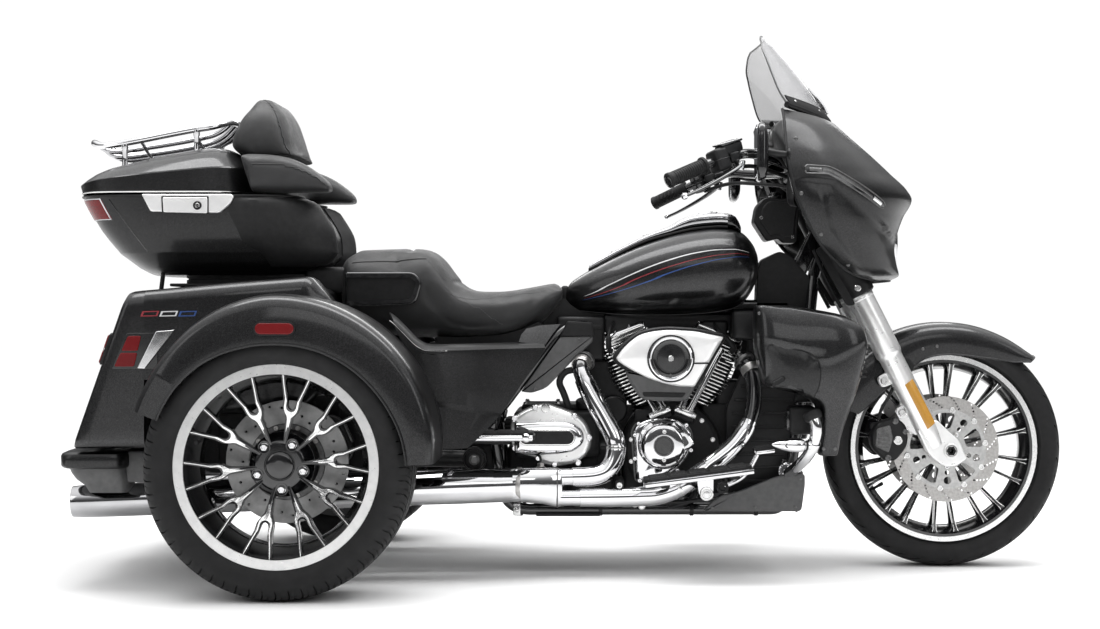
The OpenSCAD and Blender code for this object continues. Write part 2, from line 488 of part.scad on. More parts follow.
module hand_controls() color("#17181a") both() {
  a = bar_path[5];
  b = bar_path[4];
  sleeve(a - (b - a) * 0.06, mid(a, b, 0.97), 18, bar_r + 0.2);
  sleeve(mid(b, bar_path[3], 0.16), mid(b, bar_path[3], 0.46), 30, bar_r + 1.2);
  bent([mid(b, bar_path[3], 0.3) + [20, 20, -36], [330, 412, 1006], [262, 452, 972]], 6.5, [0, 0, 1]);
}
module mirrors() color("#121315") both() block([446, 338, 1040], [474, 436, 1158]);

shell_rows = [ // [height ahead, x ahead, height at the edge, x at the edge, half width]
  [770, 842, 766, 795, 140], [783, 864, 783, 714, 240], [815, 855, 812, 662, 305], [851, 849, 846, 622, 348], [892, 856, 884, 592, 378],
  [933, 870, 924, 570, 398], [984, 895, 972, 548, 409], [1006, 883, 998, 540, 412], [1048, 839, 1040, 530, 406],
  [1089, 795, 1082, 525, 390], [1130, 748, 1128, 524, 362], [1156, 718, 1170, 525, 330], [1176, 698, 1204, 525, 286]];
shell_u = [-1, -0.96, -0.88, -0.76, -0.6, -0.42, -0.22, 0, 0.22, 0.42, 0.6, 0.76, 0.88, 0.96, 1];
function shell_pt(q, u, off) = let(w = pow(1 - pow(abs(u), 2.4), 1 / 1.9), x = mid(q[3], q[1], w), y = q[4] * u,
  z = mid(q[2], q[0], w), d = [x - (q[3] - 60), y, 0], k = off / norm(d)) [x - d[0] * k, y - d[1] * k, z];
function shell_grid(off) = [for (q = shell_rows) [for (u = shell_u) shell_pt(q, u, off)]];
module fairing_shell() color("#34363a") difference() {
  sheet(shell_grid(0), shell_grid(skin), true);
  translate([780, 0, 872]) rotate([0, 90, 0]) cylinder(r = 76, h = 140);
}
module headlamp() color("#e8ecef") translate([758, 0, 872]) rotate([0, 90, 0]) {
  cylinder(r = 74, h = 82);
  translate([0, 0, 81]) cylinder(r = 60, h = 8);
}
dash_rows = [ // [height in the middle, x in the middle, height at the edge, x at the edge, half width]
  [1104, 520, 880, 612, 346], [1128, 508, 960, 572, 380], [1152, 506, 1040, 552, 384], [1172, 514, 1110, 548, 356], [1186, 534, 1162, 550, 312],
  [1184, 600, 1186, 556, 284], [1176, 668, 1192, 564, 264]];
function dash_w(u) = let(t = max(0, (abs(u) - 0.6) / 0.4)) 1 - t * t * (3 - 2 * t);
function dash(off) = [for (i = [0:len(dash_rows) - 1]) let(q = dash_rows[i], f = i < 4 ? 1 : i < 5 ? 0.6 : 0.15)
  [for (u = shell_u) let(w = dash_w(u)) [mid(q[3], q[1], w) + off * f, q[4] * u, mid(q[2], q[0], w) - off * (1 - f)]]];
module inner_fairing() color("#17181a") sheet(dash(0), dash(7));
glass_rows = [ // [height in the middle, x in the middle, height at the edge, x at the edge, half width]
  [1194, 676, 1222, 532, 286], [1235, 652, 1250, 516, 280], [1290, 615, 1296, 500, 262], [1340, 577, 1342, 486, 240], [1385, 541, 1376, 478, 214],
  [1412, 519, 1398, 478, 178], [1426, 508, 1412, 482, 140]];
glass_u = [-1, -0.85, -0.6, -0.3, 0, 0.3, 0.6, 0.85, 1];
function glass(off) = [for (q = glass_rows) [for (u = glass_u) let(w = 1 - pow(abs(u), 2.1))
  [mid(q[3], q[1], w) - off, q[4] * u * (1 - off * 0.006), mid(q[2], q[0], w) - off * 0.4]]];
module windshield() color([0.5, 0.5, 0.52, 0.5]) sheet(glass(0), glass(4.5), true);

frame();
crankcase();
front_cylinder();
rear_cylinder();
air_cleaner();
gearbox();
engine_covers();
primary_cover();
fuel_tank();
tank_console();
seat();
rear_body();
rear_fender_right();
rear_fender_left();
side_panel_right();
side_panel_left();
rear_bumper();
rear_lamps();
top_case_base();
armrest_pads();
swingarm();
shock_absorbers();
rear_calipers();
exhaust_pipes();
mufflers();
floorboards();
foot_controls();
engine_guard();
lower_fairing_right();
lower_fairing_left();
chin_spoiler();
fork();
fork_sliders();
front_axle();
front_fender();
front_calipers();
handlebar();
hand_controls();
mirrors();
fairing_shell();
inner_fairing();
windshield();
headlamp();
front_tyre();
front_rim();
front_discs();
rear_tyre_right();
rear_rim_right();
rear_disc_right();
rear_tyre_left();
rear_rim_left();
rear_disc_left();
trunk_door();
top_case_lid();
luggage_rack();
backrest_pad();
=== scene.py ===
import math

import bmesh
import bpy
import numpy as np
from mathutils import Matrix, Vector


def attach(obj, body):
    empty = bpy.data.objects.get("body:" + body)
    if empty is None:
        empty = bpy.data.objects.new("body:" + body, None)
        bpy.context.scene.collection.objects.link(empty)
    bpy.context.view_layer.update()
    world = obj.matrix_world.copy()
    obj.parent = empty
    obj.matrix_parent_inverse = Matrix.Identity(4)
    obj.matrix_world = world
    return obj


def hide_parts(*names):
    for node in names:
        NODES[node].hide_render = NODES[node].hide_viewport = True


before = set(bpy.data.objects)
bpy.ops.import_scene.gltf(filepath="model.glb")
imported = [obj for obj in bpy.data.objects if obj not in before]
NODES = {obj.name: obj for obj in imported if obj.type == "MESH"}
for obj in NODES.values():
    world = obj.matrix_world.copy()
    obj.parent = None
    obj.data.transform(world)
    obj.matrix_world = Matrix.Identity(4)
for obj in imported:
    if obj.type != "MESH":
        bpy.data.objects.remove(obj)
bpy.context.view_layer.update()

scene = bpy.context.scene
PI = math.pi


# ---------------------------------------------------------------- shape helpers (millimetres)
def arr(p):
    return np.asarray(p, float)


def unit(v):
    v = arr(v)
    return v / np.linalg.norm(v)


def lerp(a, b, t):
    return a + (b - a) * t


def pchip(x, y, q):
    """Smooth curve through the points (x, y), without overshoot, at q."""
    x, y, q = arr(x), arr(y), np.clip(arr(q), x[0], x[-1])
    flat = y.ndim == 1
    if flat:
        y = y[:, None]
    h = np.diff(x)[:, None]
    d = np.diff(y, axis=0) / h
    m = np.zeros_like(y)
    m[0], m[-1] = d[0], d[-1]
    if len(x) > 2:
        a, b, w1, w2 = d[:-1], d[1:], 2 * h[1:] + h[:-1], h[1:] + 2 * h[:-1]
        ok = a * b > 0
        sa, sb = np.where(ok, a, 1), np.where(ok, b, 1)
        m[1:-1] = np.where(ok, (w1 + w2) / (w1 / sa + w2 / sb), 0)
    i = np.clip(np.searchsorted(x, q, side="right") - 1, 0, len(x) - 2)
    hh = (x[i + 1] - x[i])[:, None]
    t = (q - x[i])[:, None] / hh
    r = ((2 * t**3 - 3 * t**2 + 1) * y[i] + (t**3 - 2 * t**2 + t) * hh * m[i]
         + (3 * t**2 - 2 * t**3) * y[i + 1] + (t**3 - t**2) * hh * m[i + 1])
    return r[:, 0] if flat else r


def fine(rows, n, cols=None):
    """The same table with n rows, smooth along its own length."""
    rows = arr(rows)
    g = rows if cols is None else rows[:, cols]
    s = np.concatenate([[0], np.cumsum(np.linalg.norm(np.diff(g, axis=0), axis=1))])
    return pchip(s, rows, np.linspace(0, s[-1], n))


def ease(pts, k=3):
    """A route with its corners rounded, ends kept."""
    p = arr(pts)
    for _ in range(k):
        q = [p[0]]
        for i in range(len(p) - 1):
            if i > 0:
                q.append(lerp(p[i], p[i + 1], 0.25))
            if i < len(p) - 2:
                q.append(lerp(p[i], p[i + 1], 0.75))
        q.append(p[-1])
        p = arr(q)
    return p


def spline(pts, n=40, closed=False):
    """Catmull-Rom curve through the points."""
    p = arr(pts)
    if closed:
        p = np.vstack([p[-1], p, p[0], p[1]])
    else:
        p = np.vstack([2 * p[0] - p[1], p, 2 * p[-1] - p[-2]])
    m = len(p) - 3
    u = np.linspace(0, m, n, endpoint=not closed)
    i = np.minimum(u.astype(int), m - 1)
    t = (u - i)[:, None]
    a, b, c, d = p[i], p[i + 1], p[i + 2], p[i + 3]
    return 0.5 * (2 * b + (c - a) * t + (2 * a - 5 * b + 4 * c - d) * t**2 + (3 * b - a - 3 * c + d) * t**3)


def spow(v, e):
    return np.sign(v) * np.abs(v) ** e


def ring_x(x, hw, zb, zt, p, n=48, shear=0.0):
    a = 2 * PI * (np.arange(n) + 0.5) / n
    z = (zb + zt) / 2 + (zt - zb) / 2 * spow(np.sin(a), 2 / p)
    return np.stack([x + shear * (z - 543), hw * spow(np.cos(a), 2 / p), z], 1)


def ring_z(z, xa, xb, hw, p, n=48):
    a = 2 * PI * (np.arange(n) + 0.5) / n
    return np.stack([(xa + xb) / 2 + (xb - xa) / 2 * spow(np.cos(a), 2 / p), hw * spow(np.sin(a), 2 / p),
                     np.full(n, float(z))], 1)


def loft(rings, closed=True, caps=True):
    rings = arr(rings)
    m, n = rings.shape[:2]
    f = []
    for j in range(m - 1):
        for i in range(n if closed else n - 1):
            a, b = j * n + i, j * n + (i + 1) % n
            f.append((a, b, b + n, a + n))
    if caps and closed:
        f.append(tuple(range(n - 1, -1, -1)))
        f.append(tuple(range((m - 1) * n, m * n)))
    return rings.reshape(-1, 3), f


def normals(grid):
    du, dv = np.gradient(grid, axis=0), np.gradient(grid, axis=1)
    w = np.cross(du, dv)
    return w / np.maximum(np.linalg.norm(w, axis=2, keepdims=True), 1e-9)


def shell(grid, t, inner=None):
    """Closed panel: a grid of points and the same grid t deeper."""
    grid = arr(grid)
    m, n = grid.shape[:2]
    back = grid - normals(grid) * t if inner is None else arr(inner)
    k = m * n
    f = []
    for j in range(m - 1):
        for i in range(n - 1):
            a, b, c, d = j * n + i, j * n + i + 1, (j + 1) * n + i + 1, (j + 1) * n + i
            f.append((a, b, c, d))
            f.append((k + d, k + c, k + b, k + a))
    edge = [i for i in range(n)] + [j * n + n - 1 for j in range(1, m)]
    edge += [(m - 1) * n + i for i in range(n - 2, -1, -1)] + [j * n for j in range(m - 2, 0, -1)]
    for a, b in zip(edge, edge[1:] + edge[:1]):
        f.append((b, a, k + a, k + b))
    return np.vstack([grid.reshape(-1, 3), back.reshape(-1, 3)]), f


def frames(path, closed=False):
    p = arr(path)
    t = np.gradient(p, axis=0) if not closed else np.roll(p, -1, 0) - np.roll(p, 1, 0)
    ln = np.linalg.norm(t, axis=1)
    good = np.where(ln > 1e-6)[0]
    for i in np.where(ln <= 1e-6)[0]:
        t[i] = t[good[np.argmin(np.abs(good - i))]]
    t /= np.linalg.norm(t, axis=1, keepdims=True)
    ref = arr((0, 0, 1)) if abs(t[0][2]) < 0.9 else arr((1, 0, 0))
    a = unit(np.cross(t[0], ref))
    out = []
    for i in range(len(p)):
        a = unit(a - t[i] * np.dot(a, t[i]))
        out.append((p[i], a, np.cross(t[i], a)))
    return out


def tube(path, r, n=14, closed=False, caps=True, oval=1.0):
    fr = frames(path, closed)
    rr = np.broadcast_to(arr(r), (len(fr),))
    ang = 2 * PI * np.arange(n) / n
    rings = [[p + q * (np.cos(t) * a + oval * np.sin(t) * b) for t in ang] for (p, a, b), q in zip(fr, rr)]
    if closed:
        rings.append(rings[0])
        return weld(*loft(rings, True, False))
    return loft(rings, True, caps)


def strip(path, w, t, up):
    """Flat band along a route, w wide across and t thick along up."""
    p = arr(path)
    tg = np.gradient(p, axis=0)
    rings = []
    for q, d in zip(p, tg):
        u = unit(arr(up) - unit(d) * np.dot(up, unit(d)))
        s = np.cross(unit(d), u)
        e = min(w, t) * 0.25
        rings.append([q + s * x + u * z for x, z in ((-w / 2 + e, -t / 2), (w / 2 - e, -t / 2), (w / 2, -t / 2 + e),
                      (w / 2, t / 2 - e), (w / 2 - e, t / 2), (-w / 2 + e, t / 2), (-w / 2, t / 2 - e), (-w / 2, -t / 2 + e))])
    return loft(rings)


def axes(d):
    w = unit(d)
    u = unit(np.cross(w, (0, 0, 1)) if abs(w[2]) < 0.9 else np.cross(w, (1, 0, 0)))
    return u, np.cross(w, u), w


def weld(v, f, tol=1e-3):
    v = arr(v)
    _, first, inv = np.unique(np.round(v / tol).astype(np.int64), axis=0, return_index=True, return_inverse=True)
    inv = inv.reshape(-1)
    out = []
    for q in f:
        g = []
        for i in q:
            k = int(inv[i])
            if not g or g[-1] != k:
                g.append(k)
        if len(g) > 1 and g[0] == g[-1]:
            g.pop()
        if len(set(g)) > 2:
            out.append(tuple(g))
    return v[first], out


def lathe(profile, o=(0, 0, 0), axis=(0, -1, 0), n=40):
    """Turned shape: profile of (radius, height along the axis)."""
    u, w2, w = axes(axis)
    ang = 2 * PI * np.arange(n) / n
    rings = [[arr(o) + r * (np.cos(t) * u + np.sin(t) * w2) + h * w for t in ang] for r, h in profile]
    return weld(*loft(rings, True, False))


def mesh_of(bm):
    bm.verts.index_update()
    v = arr([q.co[:] for q in bm.verts])
    f = [tuple(q.index for q in face.verts) for face in bm.faces]
    bm.free()
    return v, f


def rbox(lo, hi, r=2.0, seg=2):
    """Block with rounded edges."""
    lo, hi = arr(lo), arr(hi)
    bm = bmesh.new()
    bmesh.ops.create_cube(bm, size=1.0)
    for q in bm.verts:
        q.co = Vector((lo + hi) / 2 + arr(q.co) * (hi - lo))
    bmesh.ops.bevel(bm, geom=list(bm.edges), offset=min(r, 0.45 * float(np.min(hi - lo))), segments=seg, affect="EDGES", profile=0.5)
    return mesh_of(bm)


def plate(loops, depth, bevel=0.0, seg=2):
    """Flat plate, outline first and then its holes, in its own x-y plane, middle at z = 0."""
    cu = bpy.data.curves.new("outline", "CURVE")
    cu.dimensions = "2D"
    cu.fill_mode = "BOTH"
    cu.extrude = max(depth / 2 - bevel, 0.001)
    cu.bevel_depth = bevel
    cu.bevel_resolution = seg
    cu.offset = -bevel
    for lp in loops:
        lp = arr(lp)
        sp = cu.splines.new("POLY")
        sp.points.add(len(lp) - 1)
        for q, c in zip(sp.points, lp):
            q.co = (c[0], c[1], 0, 1)
        sp.use_cyclic_u = True
    ob = bpy.data.objects.new("outline", cu)
    scene.collection.objects.link(ob)
    me = bpy.data.meshes.new_from_object(ob.evaluated_get(bpy.context.evaluated_depsgraph_get()))
    v = arr([q.co[:] for q in me.vertices])
    f = [tuple(q.vertices) for q in me.polygons]
    bpy.data.objects.remove(ob)
    bpy.data.curves.remove(cu)
    bpy.data.meshes.remove(me)
    return weld(v, f)


def circle(c, r, n=32, a0=0.0):
    t = 2 * PI * np.arange(n) / n + a0
    return np.stack([c[0] + r * np.cos(t), c[1] + r * np.sin(t)], 1)


def stadium(c, w, h, n=12, turn=0.0):
    r = h / 2
    t = np.linspace(-PI / 2, PI / 2, n)
    p = np.vstack([np.stack([w / 2 - r + r * np.cos(t), r * np.sin(t)], 1), np.stack([-(w / 2 - r) - r * np.cos(t), -r * np.sin(t)], 1)])
    ca, sa = math.cos(turn), math.sin(turn)
    return p @ arr([[ca, sa], [-sa, ca]]) + arr(c)


def rounded(pts, r, n=5):
    """Outline with each corner rounded by r (a number or one for each corner)."""
    p = arr(pts)
    rr = np.broadcast_to(arr(r), (len(p),))
    out = []
    for i in range(len(p)):
        a, b, c = p[i - 1], p[i], p[(i + 1) % len(p)]
        d = min(rr[i], 0.48 * np.linalg.norm(a - b), 0.48 * np.linalg.norm(c - b))
        s, e = b + unit(a - b) * d, b + unit(c - b) * d
        for t in np.linspace(0, 1, n):
            out.append((1 - t) ** 2 * s + 2 * t * (1 - t) * b + t * t * e)
    return arr(out)


def side(v, y):
    """Plate's own x, y, z to the right flank: x ahead, z up, its z out to the right from y."""
    v = arr(v)
    return np.stack([v[:, 0], y - v[:, 2], v[:, 1]], 1)


def place(v, o, d, turn=0.0):
    """Plate's own frame to a place o with its z along d."""
    u, w2, w = axes(d)
    c, s = math.cos(turn), math.sin(turn)
    u, w2 = c * u + s * w2, -s * u + c * w2
    return arr(o) + arr(v) @ np.stack([u, w2, w])


def turn_y(v, c, deg):
    """Turned about the cross axis through c = (x, z); positive lifts the nose."""
    v = arr(v).copy()
    a = math.radians(deg)
    dx, dz = v[:, 0] - c[0], v[:, 2] - c[1]
    v[:, 0] = c[0] + dx * math.cos(a) - dz * math.sin(a)
    v[:, 2] = c[1] + dx * math.sin(a) + dz * math.cos(a)
    return v


RAKE = math.radians(27)
UP = arr((-math.sin(RAKE), 0, math.cos(RAKE)))
AHEAD = arr((math.cos(RAKE), 0, math.sin(RAKE)))
PIVOT = arr((993, 0, 319))


def steer(v):
    """Fork's own frame (x square ahead, z up the steering axis) to the vehicle's."""
    v = arr(v)
    return PIVOT + v[:, :1] * AHEAD + v[:, 1:2] * arr((0, 1, 0)) + v[:, 2:3] * UP


def hexhead(p, d, r, h):
    u, w2, w = axes(d)
    p = arr(p)
    t = 2 * PI * np.arange(6) / 6
    ring = lambda k, z: [p + k * (np.cos(a) * u + np.sin(a) * w2) + z * w for a in t]
    v, f = loft([ring(r, 0.25 * h), ring(r, 0.85 * h), ring(0.84 * r, h)])
    v2, f2 = lathe([(0, 0), (1.25 * r, 0), (1.25 * r, 0.2 * h), (1.15 * r, 0.26 * h), (0, 0.26 * h)], p, d, 18)
    return np.vstack([v, v2]), f + [tuple(i + len(v) for i in q) for q in f2]


def capscrew(p, d, r, h):
    return lathe([(0, 0), (r, 0), (r, 0.85 * h), (0.9 * r, h), (0.58 * r, h), (0.52 * r, 0.45 * h), (0, 0.4 * h)], p, d, 18)


def dome(p, d, r, h, n=24):
    t = np.linspace(0, PI / 2, 8)
    return lathe([(0, 0), (r, 0)] + [(r * math.cos(a), 0.15 * h + 0.85 * h * math.sin(a)) for a in t], p, d, n)


class Piece:
    """Mesh in millimetres made of several shapes, each with its material."""

    def __init__(self):
        self.v, self.f, self.k, self.mats, self.n = [], [], [], [], 0

    def add(self, vf, mat, both=False):
        v, f = vf
        v = arr(v).reshape(-1, 3)
        if mat not in self.mats:
            self.mats.append(mat)
        k = self.mats.index(mat)
        for flip in ((False, True) if both else (False,)):
            w = v * arr((1, -1, 1)) if flip else v
            self.v.append(w)
            for q in f:
                g = tuple(i + self.n for i in q)
                self.f.append(g[::-1] if flip else g)
                self.k.append(k)
            self.n += len(v)
        return self


def make(name, piece, body, hides=(), sharp=34.0, recalc=True, sub=0):
    me = bpy.data.meshes.new(name)
    me.from_pydata((np.vstack(piece.v) * 0.001).tolist(), [], piece.f)
    for m in piece.mats:
        me.materials.append(MATS[m])
    me.polygons.foreach_set("material_index", piece.k)
    me.update()
    ob = bpy.data.objects.new(name, me)
    scene.collection.objects.link(ob)
    return dress(ob, body, hides, sharp, recalc, sub)


def dress(ob, body, hides=(), sharp=34.0, recalc=True, sub=0):
    me = ob.data
    bm = bmesh.new()
    bm.from_mesh(me)
    if recalc:
        bmesh.ops.recalc_face_normals(bm, faces=bm.faces)
    lim = math.radians(sharp)
    bm.normal_update()
    for q in bm.faces:
        q.smooth = True
    # broad flat ends keep their own normal
    for q in bm.faces:
        k = len(q.verts)
        if k > 4 or (k == 3 and q.calc_area() > 2e-6 and any(o is not q and len(o.verts) == 3 and o.normal.dot(q.normal) > 0.99996 for e in q.edges for o in e.link_faces)):
            q.smooth = False
    for e in bm.edges:
        if len(e.link_faces) == 2:
            e.smooth = e.calc_face_angle(0) < lim
            if e.link_faces[0].material_index != e.link_faces[1].material_index:
                e.smooth = e.calc_face_angle(0) < lim * 0.6
    bm.to_mesh(me)
    bm.free()
    if sub:
        md = ob.modifiers.new("round", "SUBSURF")
        md.levels = md.render_levels = sub
    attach(ob, body)
    if hides:
        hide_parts(*([hides] if isinstance(hides, str) else hides))
    return ob


# ---------------------------------------------------------------- materials
MATS = {}


def start(name):
    m = bpy.data.materials.new(name)
    m.use_nodes = True
    MATS[name] = m
    nt = m.node_tree
    b = nt.nodes["Principled BSDF"]
    tc = nt.nodes.new("ShaderNodeTexCoord")
    return m, nt, b, tc.outputs["Object"]


def node(nt, kind, **inputs):
    q = nt.nodes.new(kind)
    for k, v in inputs.items():
        q.inputs[k.replace("_", " ")].default_value = v
    return q


def noise(nt, vec, scale, detail=3.0, rough=0.55):
    q = node(nt, "ShaderNodeTexNoise", Scale=scale, Detail=detail, Roughness=rough)
    nt.links.new(vec, q.inputs["Vector"])
    return q.outputs["Fac"]


def ramp(nt, fac, stops):
    q = nt.nodes.new("ShaderNodeValToRGB")
    el = q.color_ramp.elements
    el[0].position, el[0].color = stops[0][0], tuple(stops[0][1]) + (1,)
    el[1].position, el[1].color = stops[-1][0], tuple(stops[-1][1]) + (1,)
    for p, c in stops[1:-1]:
        e = el.new(p)
        e.color = tuple(c) + (1,)
    nt.links.new(fac, q.inputs["Fac"])
    return q.outputs["Color"]


def span(nt, fac, lo, hi, a=0.3, b=0.7):
    q = node(nt, "ShaderNodeMapRange", From_Min=a, From_Max=b, To_Min=lo, To_Max=hi)
    nt.links.new(fac, q.inputs["Value"])
    return q.outputs["Result"]


def bump(nt, b, height, strength, distance=0.001, base=None):
    q = node(nt, "ShaderNodeBump", Strength=strength, Distance=distance)
    nt.links.new(height, q.inputs["Height"])
    if base is not None:
        nt.links.new(base, q.inputs["Normal"])
    nt.links.new(q.outputs["Normal"], b.inputs["Normal"])
    return q.outputs["Normal"]


def coarse(name, dark, light, rough, metallic=0.0, scale=60.0, grain=900.0, strength=0.12, depth=0.0004, var=0.06, coat=0.0, coat_rough=0.05, spec=0.5):
    """Surface with a slow tone change, a roughness change and a fine grain."""
    m, nt, b, vec = start(name)
    n1 = noise(nt, vec, scale, 4)
    nt.links.new(ramp(nt, n1, [(0.3, dark), (0.7, light)]), b.inputs["Base Color"])
    nt.links.new(span(nt, noise(nt, vec, scale * 2.3, 2), rough - var, rough + var), b.inputs["Roughness"])
    b.inputs["Metallic"].default_value = metallic
    b.inputs["Coat Weight"].default_value = coat
    b.inputs["Coat Roughness"].default_value = coat_rough
    b.inputs["Specular IOR Level"].default_value = spec
    if strength:
        bump(nt, b, noise(nt, vec, grain, 3), strength, depth)
    return m


def flake(name, dark, mid, light, rough=0.36, cells=1300.0, coat=0.62, coat_rough=0.11):
    """Metallic lacquer: small flakes of slightly different tone and tilt under a clear coat."""
    m, nt, b, vec = start(name)
    vo = node(nt, "ShaderNodeTexVoronoi", Scale=cells)
    nt.links.new(vec, vo.inputs["Vector"])
    sep = nt.nodes.new("ShaderNodeSeparateColor")
    nt.links.new(vo.outputs["Color"], sep.inputs["Color"])
    nt.links.new(ramp(nt, sep.outputs["Red"], [(0.0, dark), (0.6, mid), (1.0, light)]), b.inputs["Base Color"])
    nt.links.new(span(nt, noise(nt, vec, 9.0, 2), rough - 0.03, rough + 0.03), b.inputs["Roughness"])
    b.inputs["Metallic"].default_value = 0.9
    b.inputs["Coat Weight"].default_value = coat
    b.inputs["Coat Roughness"].default_value = coat_rough
    bump(nt, b, sep.outputs["Green"], 0.07, 0.0004)
    return m


flake("paint", (0.008, 0.008, 0.0085), (0.017, 0.017, 0.018), (0.058, 0.058, 0.059))
# rougher, thinner-coated copy of the body paint, also darker: the darker colour is painted shade for lower, under and
# recessed parts
flake("paint_dark", (0.009, 0.0092, 0.0096), (0.014, 0.0142, 0.0147), (0.042, 0.042, 0.043), rough=0.46, coat=0.46, coat_rough=0.15)
# a darker copy of the body paint for the fairing: painted shade
flake("fairing_paint", (0.006, 0.006, 0.0065), (0.012, 0.012, 0.0125), (0.044, 0.044, 0.045), rough=0.42, coat=0.42, coat_rough=0.18)
# the darkest copy of the body paint, with a thin coat: painted shade for the lid's lower band and the side covers under
# the seat
flake("deep_paint", (0.006, 0.006, 0.0065), (0.012, 0.012, 0.0125), (0.040, 0.040, 0.041), rough=0.46, coat=0.22, coat_rough=0.3)
flake("silver_flake", (0.30, 0.30, 0.30), (0.42, 0.42, 0.42), (0.62, 0.62, 0.61), rough=0.30, coat=0.5)
coarse("chrome", (0.66, 0.66, 0.67), (0.73, 0.73, 0.74), 0.06, 1.0, scale=14, grain=400, strength=0.02, var=0.02)
coarse("polished", (0.62, 0.62, 0.62), (0.74, 0.74, 0.73), 0.20, 1.0, scale=40, grain=700, strength=0.05, var=0.05)
coarse("cast", (0.42, 0.42, 0.42), (0.55, 0.55, 0.54), 0.38, 1.0, scale=120, grain=1500, strength=0.18)
coarse("disc_steel", (0.21, 0.21, 0.21), (0.29, 0.29, 0.288), 0.34, 0.9, scale=40, grain=1200, strength=0.06, var=0.05)
coarse("lip_silver", (0.58, 0.58, 0.58), (0.66, 0.66, 0.655), 0.30, 0.92, scale=60, grain=1500, strength=0.006, var=0.03)
coarse("machined", (0.70, 0.70, 0.70), (0.80, 0.80, 0.795), 0.24, 1.0, scale=90, grain=1800, strength=0.06)
coarse("steel", (0.36, 0.35, 0.34), (0.50, 0.49, 0.48), 0.33, 1.0, scale=150, grain=1600, strength=0.12)
coarse("dark_steel", (0.10, 0.10, 0.10), (0.17, 0.17, 0.17), 0.42, 1.0, scale=110, grain=1500, strength=0.16)
coarse("gloss_black", (0.0045, 0.0045, 0.005), (0.008, 0.008, 0.009), 0.16, 0.0, scale=30, grain=900, strength=0.03, coat=0.7)
coarse("satin_black", (0.005, 0.005, 0.0055), (0.010, 0.010, 0.0105), 0.42, 0.0, scale=80, grain=1300, strength=0.14, spec=0.28)
coarse("wrinkle_black", (0.004, 0.004, 0.0044), (0.009, 0.009, 0.0095), 0.5, 0.0, scale=140, grain=800, strength=0.42, depth=0.0008, spec=0.28)
coarse("plastic", (0.008, 0.008, 0.0085), (0.014, 0.014, 0.0145), 0.52, 0.0, scale=70, grain=1700, strength=0.25, spec=0.3)
coarse("grey_plastic", (0.060, 0.060, 0.061), (0.085, 0.085, 0.086), 0.5, 0.0, scale=60, grain=1700, strength=0.2)
coarse("rubber", (0.007, 0.007, 0.0075), (0.013, 0.013, 0.0135), 0.62, 0.0, scale=45, grain=1100, strength=0.24, spec=0.28)
coarse("tyre", (0.0055, 0.0055, 0.0058), (0.0105, 0.0105, 0.011), 0.58, 0.0, scale=26, grain=700, strength=0.22, spec=0.26)
coarse("reflector", (0.42, 0.20, 0.018), (0.50, 0.25, 0.03), 0.32, 0.0, scale=300, grain=2200, strength=0.5, coat=0.5)
coarse("white_print", (0.62, 0.62, 0.63), (0.70, 0.70, 0.71), 0.35, 0.0, scale=90, grain=1200, strength=0.04, coat=0.5)
coarse("red_print", (0.22, 0.012, 0.022), (0.28, 0.02, 0.03), 0.35, 0.0, scale=90, grain=1200, strength=0.04, coat=0.5)
coarse("blue_print", (0.012, 0.055, 0.22), (0.02, 0.075, 0.28), 0.35, 0.0, scale=90, grain=1200, strength=0.04, coat=0.5)
coarse("bright_silver", (0.80, 0.80, 0.80), (0.88, 0.88, 0.875), 0.30, 0.72, scale=30, grain=900, strength=0.012, var=0.03)
coarse("shade_chrome", (0.40, 0.40, 0.41), (0.47, 0.47, 0.48), 0.09, 1.0, scale=14, grain=400, strength=0.02, var=0.03)
# near-white, half-metallic stand-in for chrome: the white reflection of the studio painted into its colour
coarse("pale_metal", (0.84, 0.84, 0.84), (0.92, 0.92, 0.915), 0.32, 0.45, scale=30, grain=900, strength=0.04, var=0.04, coat=0.3)
coarse("copper_ring", (0.40, 0.20, 0.08), (0.52, 0.27, 0.11), 0.3, 1.0, scale=120, grain=1200, strength=0.1)


def leather(name, dark, light, cells=620.0):
    m, nt, b, vec = start(name)
    n1 = noise(nt, vec, 22.0, 4)
    nt.links.new(ramp(nt, n1, [(0.3, dark), (0.72, light)]), b.inputs["Base Color"])
    nt.links.new(span(nt, noise(nt, vec, 35.0, 3), 0.40, 0.54), b.inputs["Roughness"])
    b.inputs["Sheen Weight"].default_value = 0.06
    b.inputs["Sheen Roughness"].default_value = 0.4
    vo = node(nt, "ShaderNodeTexVoronoi", Scale=cells)
    vo.feature = "DISTANCE_TO_EDGE"
    nt.links.new(vec, vo.inputs["Vector"])
    h = span(nt, vo.outputs["Distance"], 0.0, 1.0, 0.0, 0.16)
    first = node(nt, "ShaderNodeBump", Strength=0.30, Distance=0.0006)
    nt.links.new(h, first.inputs["Height"])
    bump(nt, b, noise(nt, vec, 60.0, 4), 0.12, 0.003, first.outputs["Normal"])
    return m


leather("leather", (0.0072, 0.0072, 0.0077), (0.0145, 0.0145, 0.0153))
leather("leather_soft", (0.012, 0.012, 0.0125), (0.022, 0.022, 0.023), 520.0)


def lens(name, color, rough, transmission, ior=1.49, grain=900.0, strength=0.05, alpha=1.0, coat=0.6):
    m, nt, b, vec = start(name)
    c = arr(color)
    nt.links.new(ramp(nt, noise(nt, vec, 40.0, 2), [(0.3, c * 0.9), (0.7, np.minimum(c * 1.08, 1))]), b.inputs["Base Color"])
    nt.links.new(span(nt, noise(nt, vec, 70.0, 2), rough, rough + 0.05), b.inputs["Roughness"])
    b.inputs["Transmission Weight"].default_value = transmission
    b.inputs["IOR"].default_value = ior
    b.inputs["Alpha"].default_value = alpha
    b.inputs["Coat Weight"].default_value = coat
    b.inputs["Coat Roughness"].default_value = 0.03
    if strength:
        bump(nt, b, noise(nt, vec, grain, 1), strength, 0.0005)
    return m


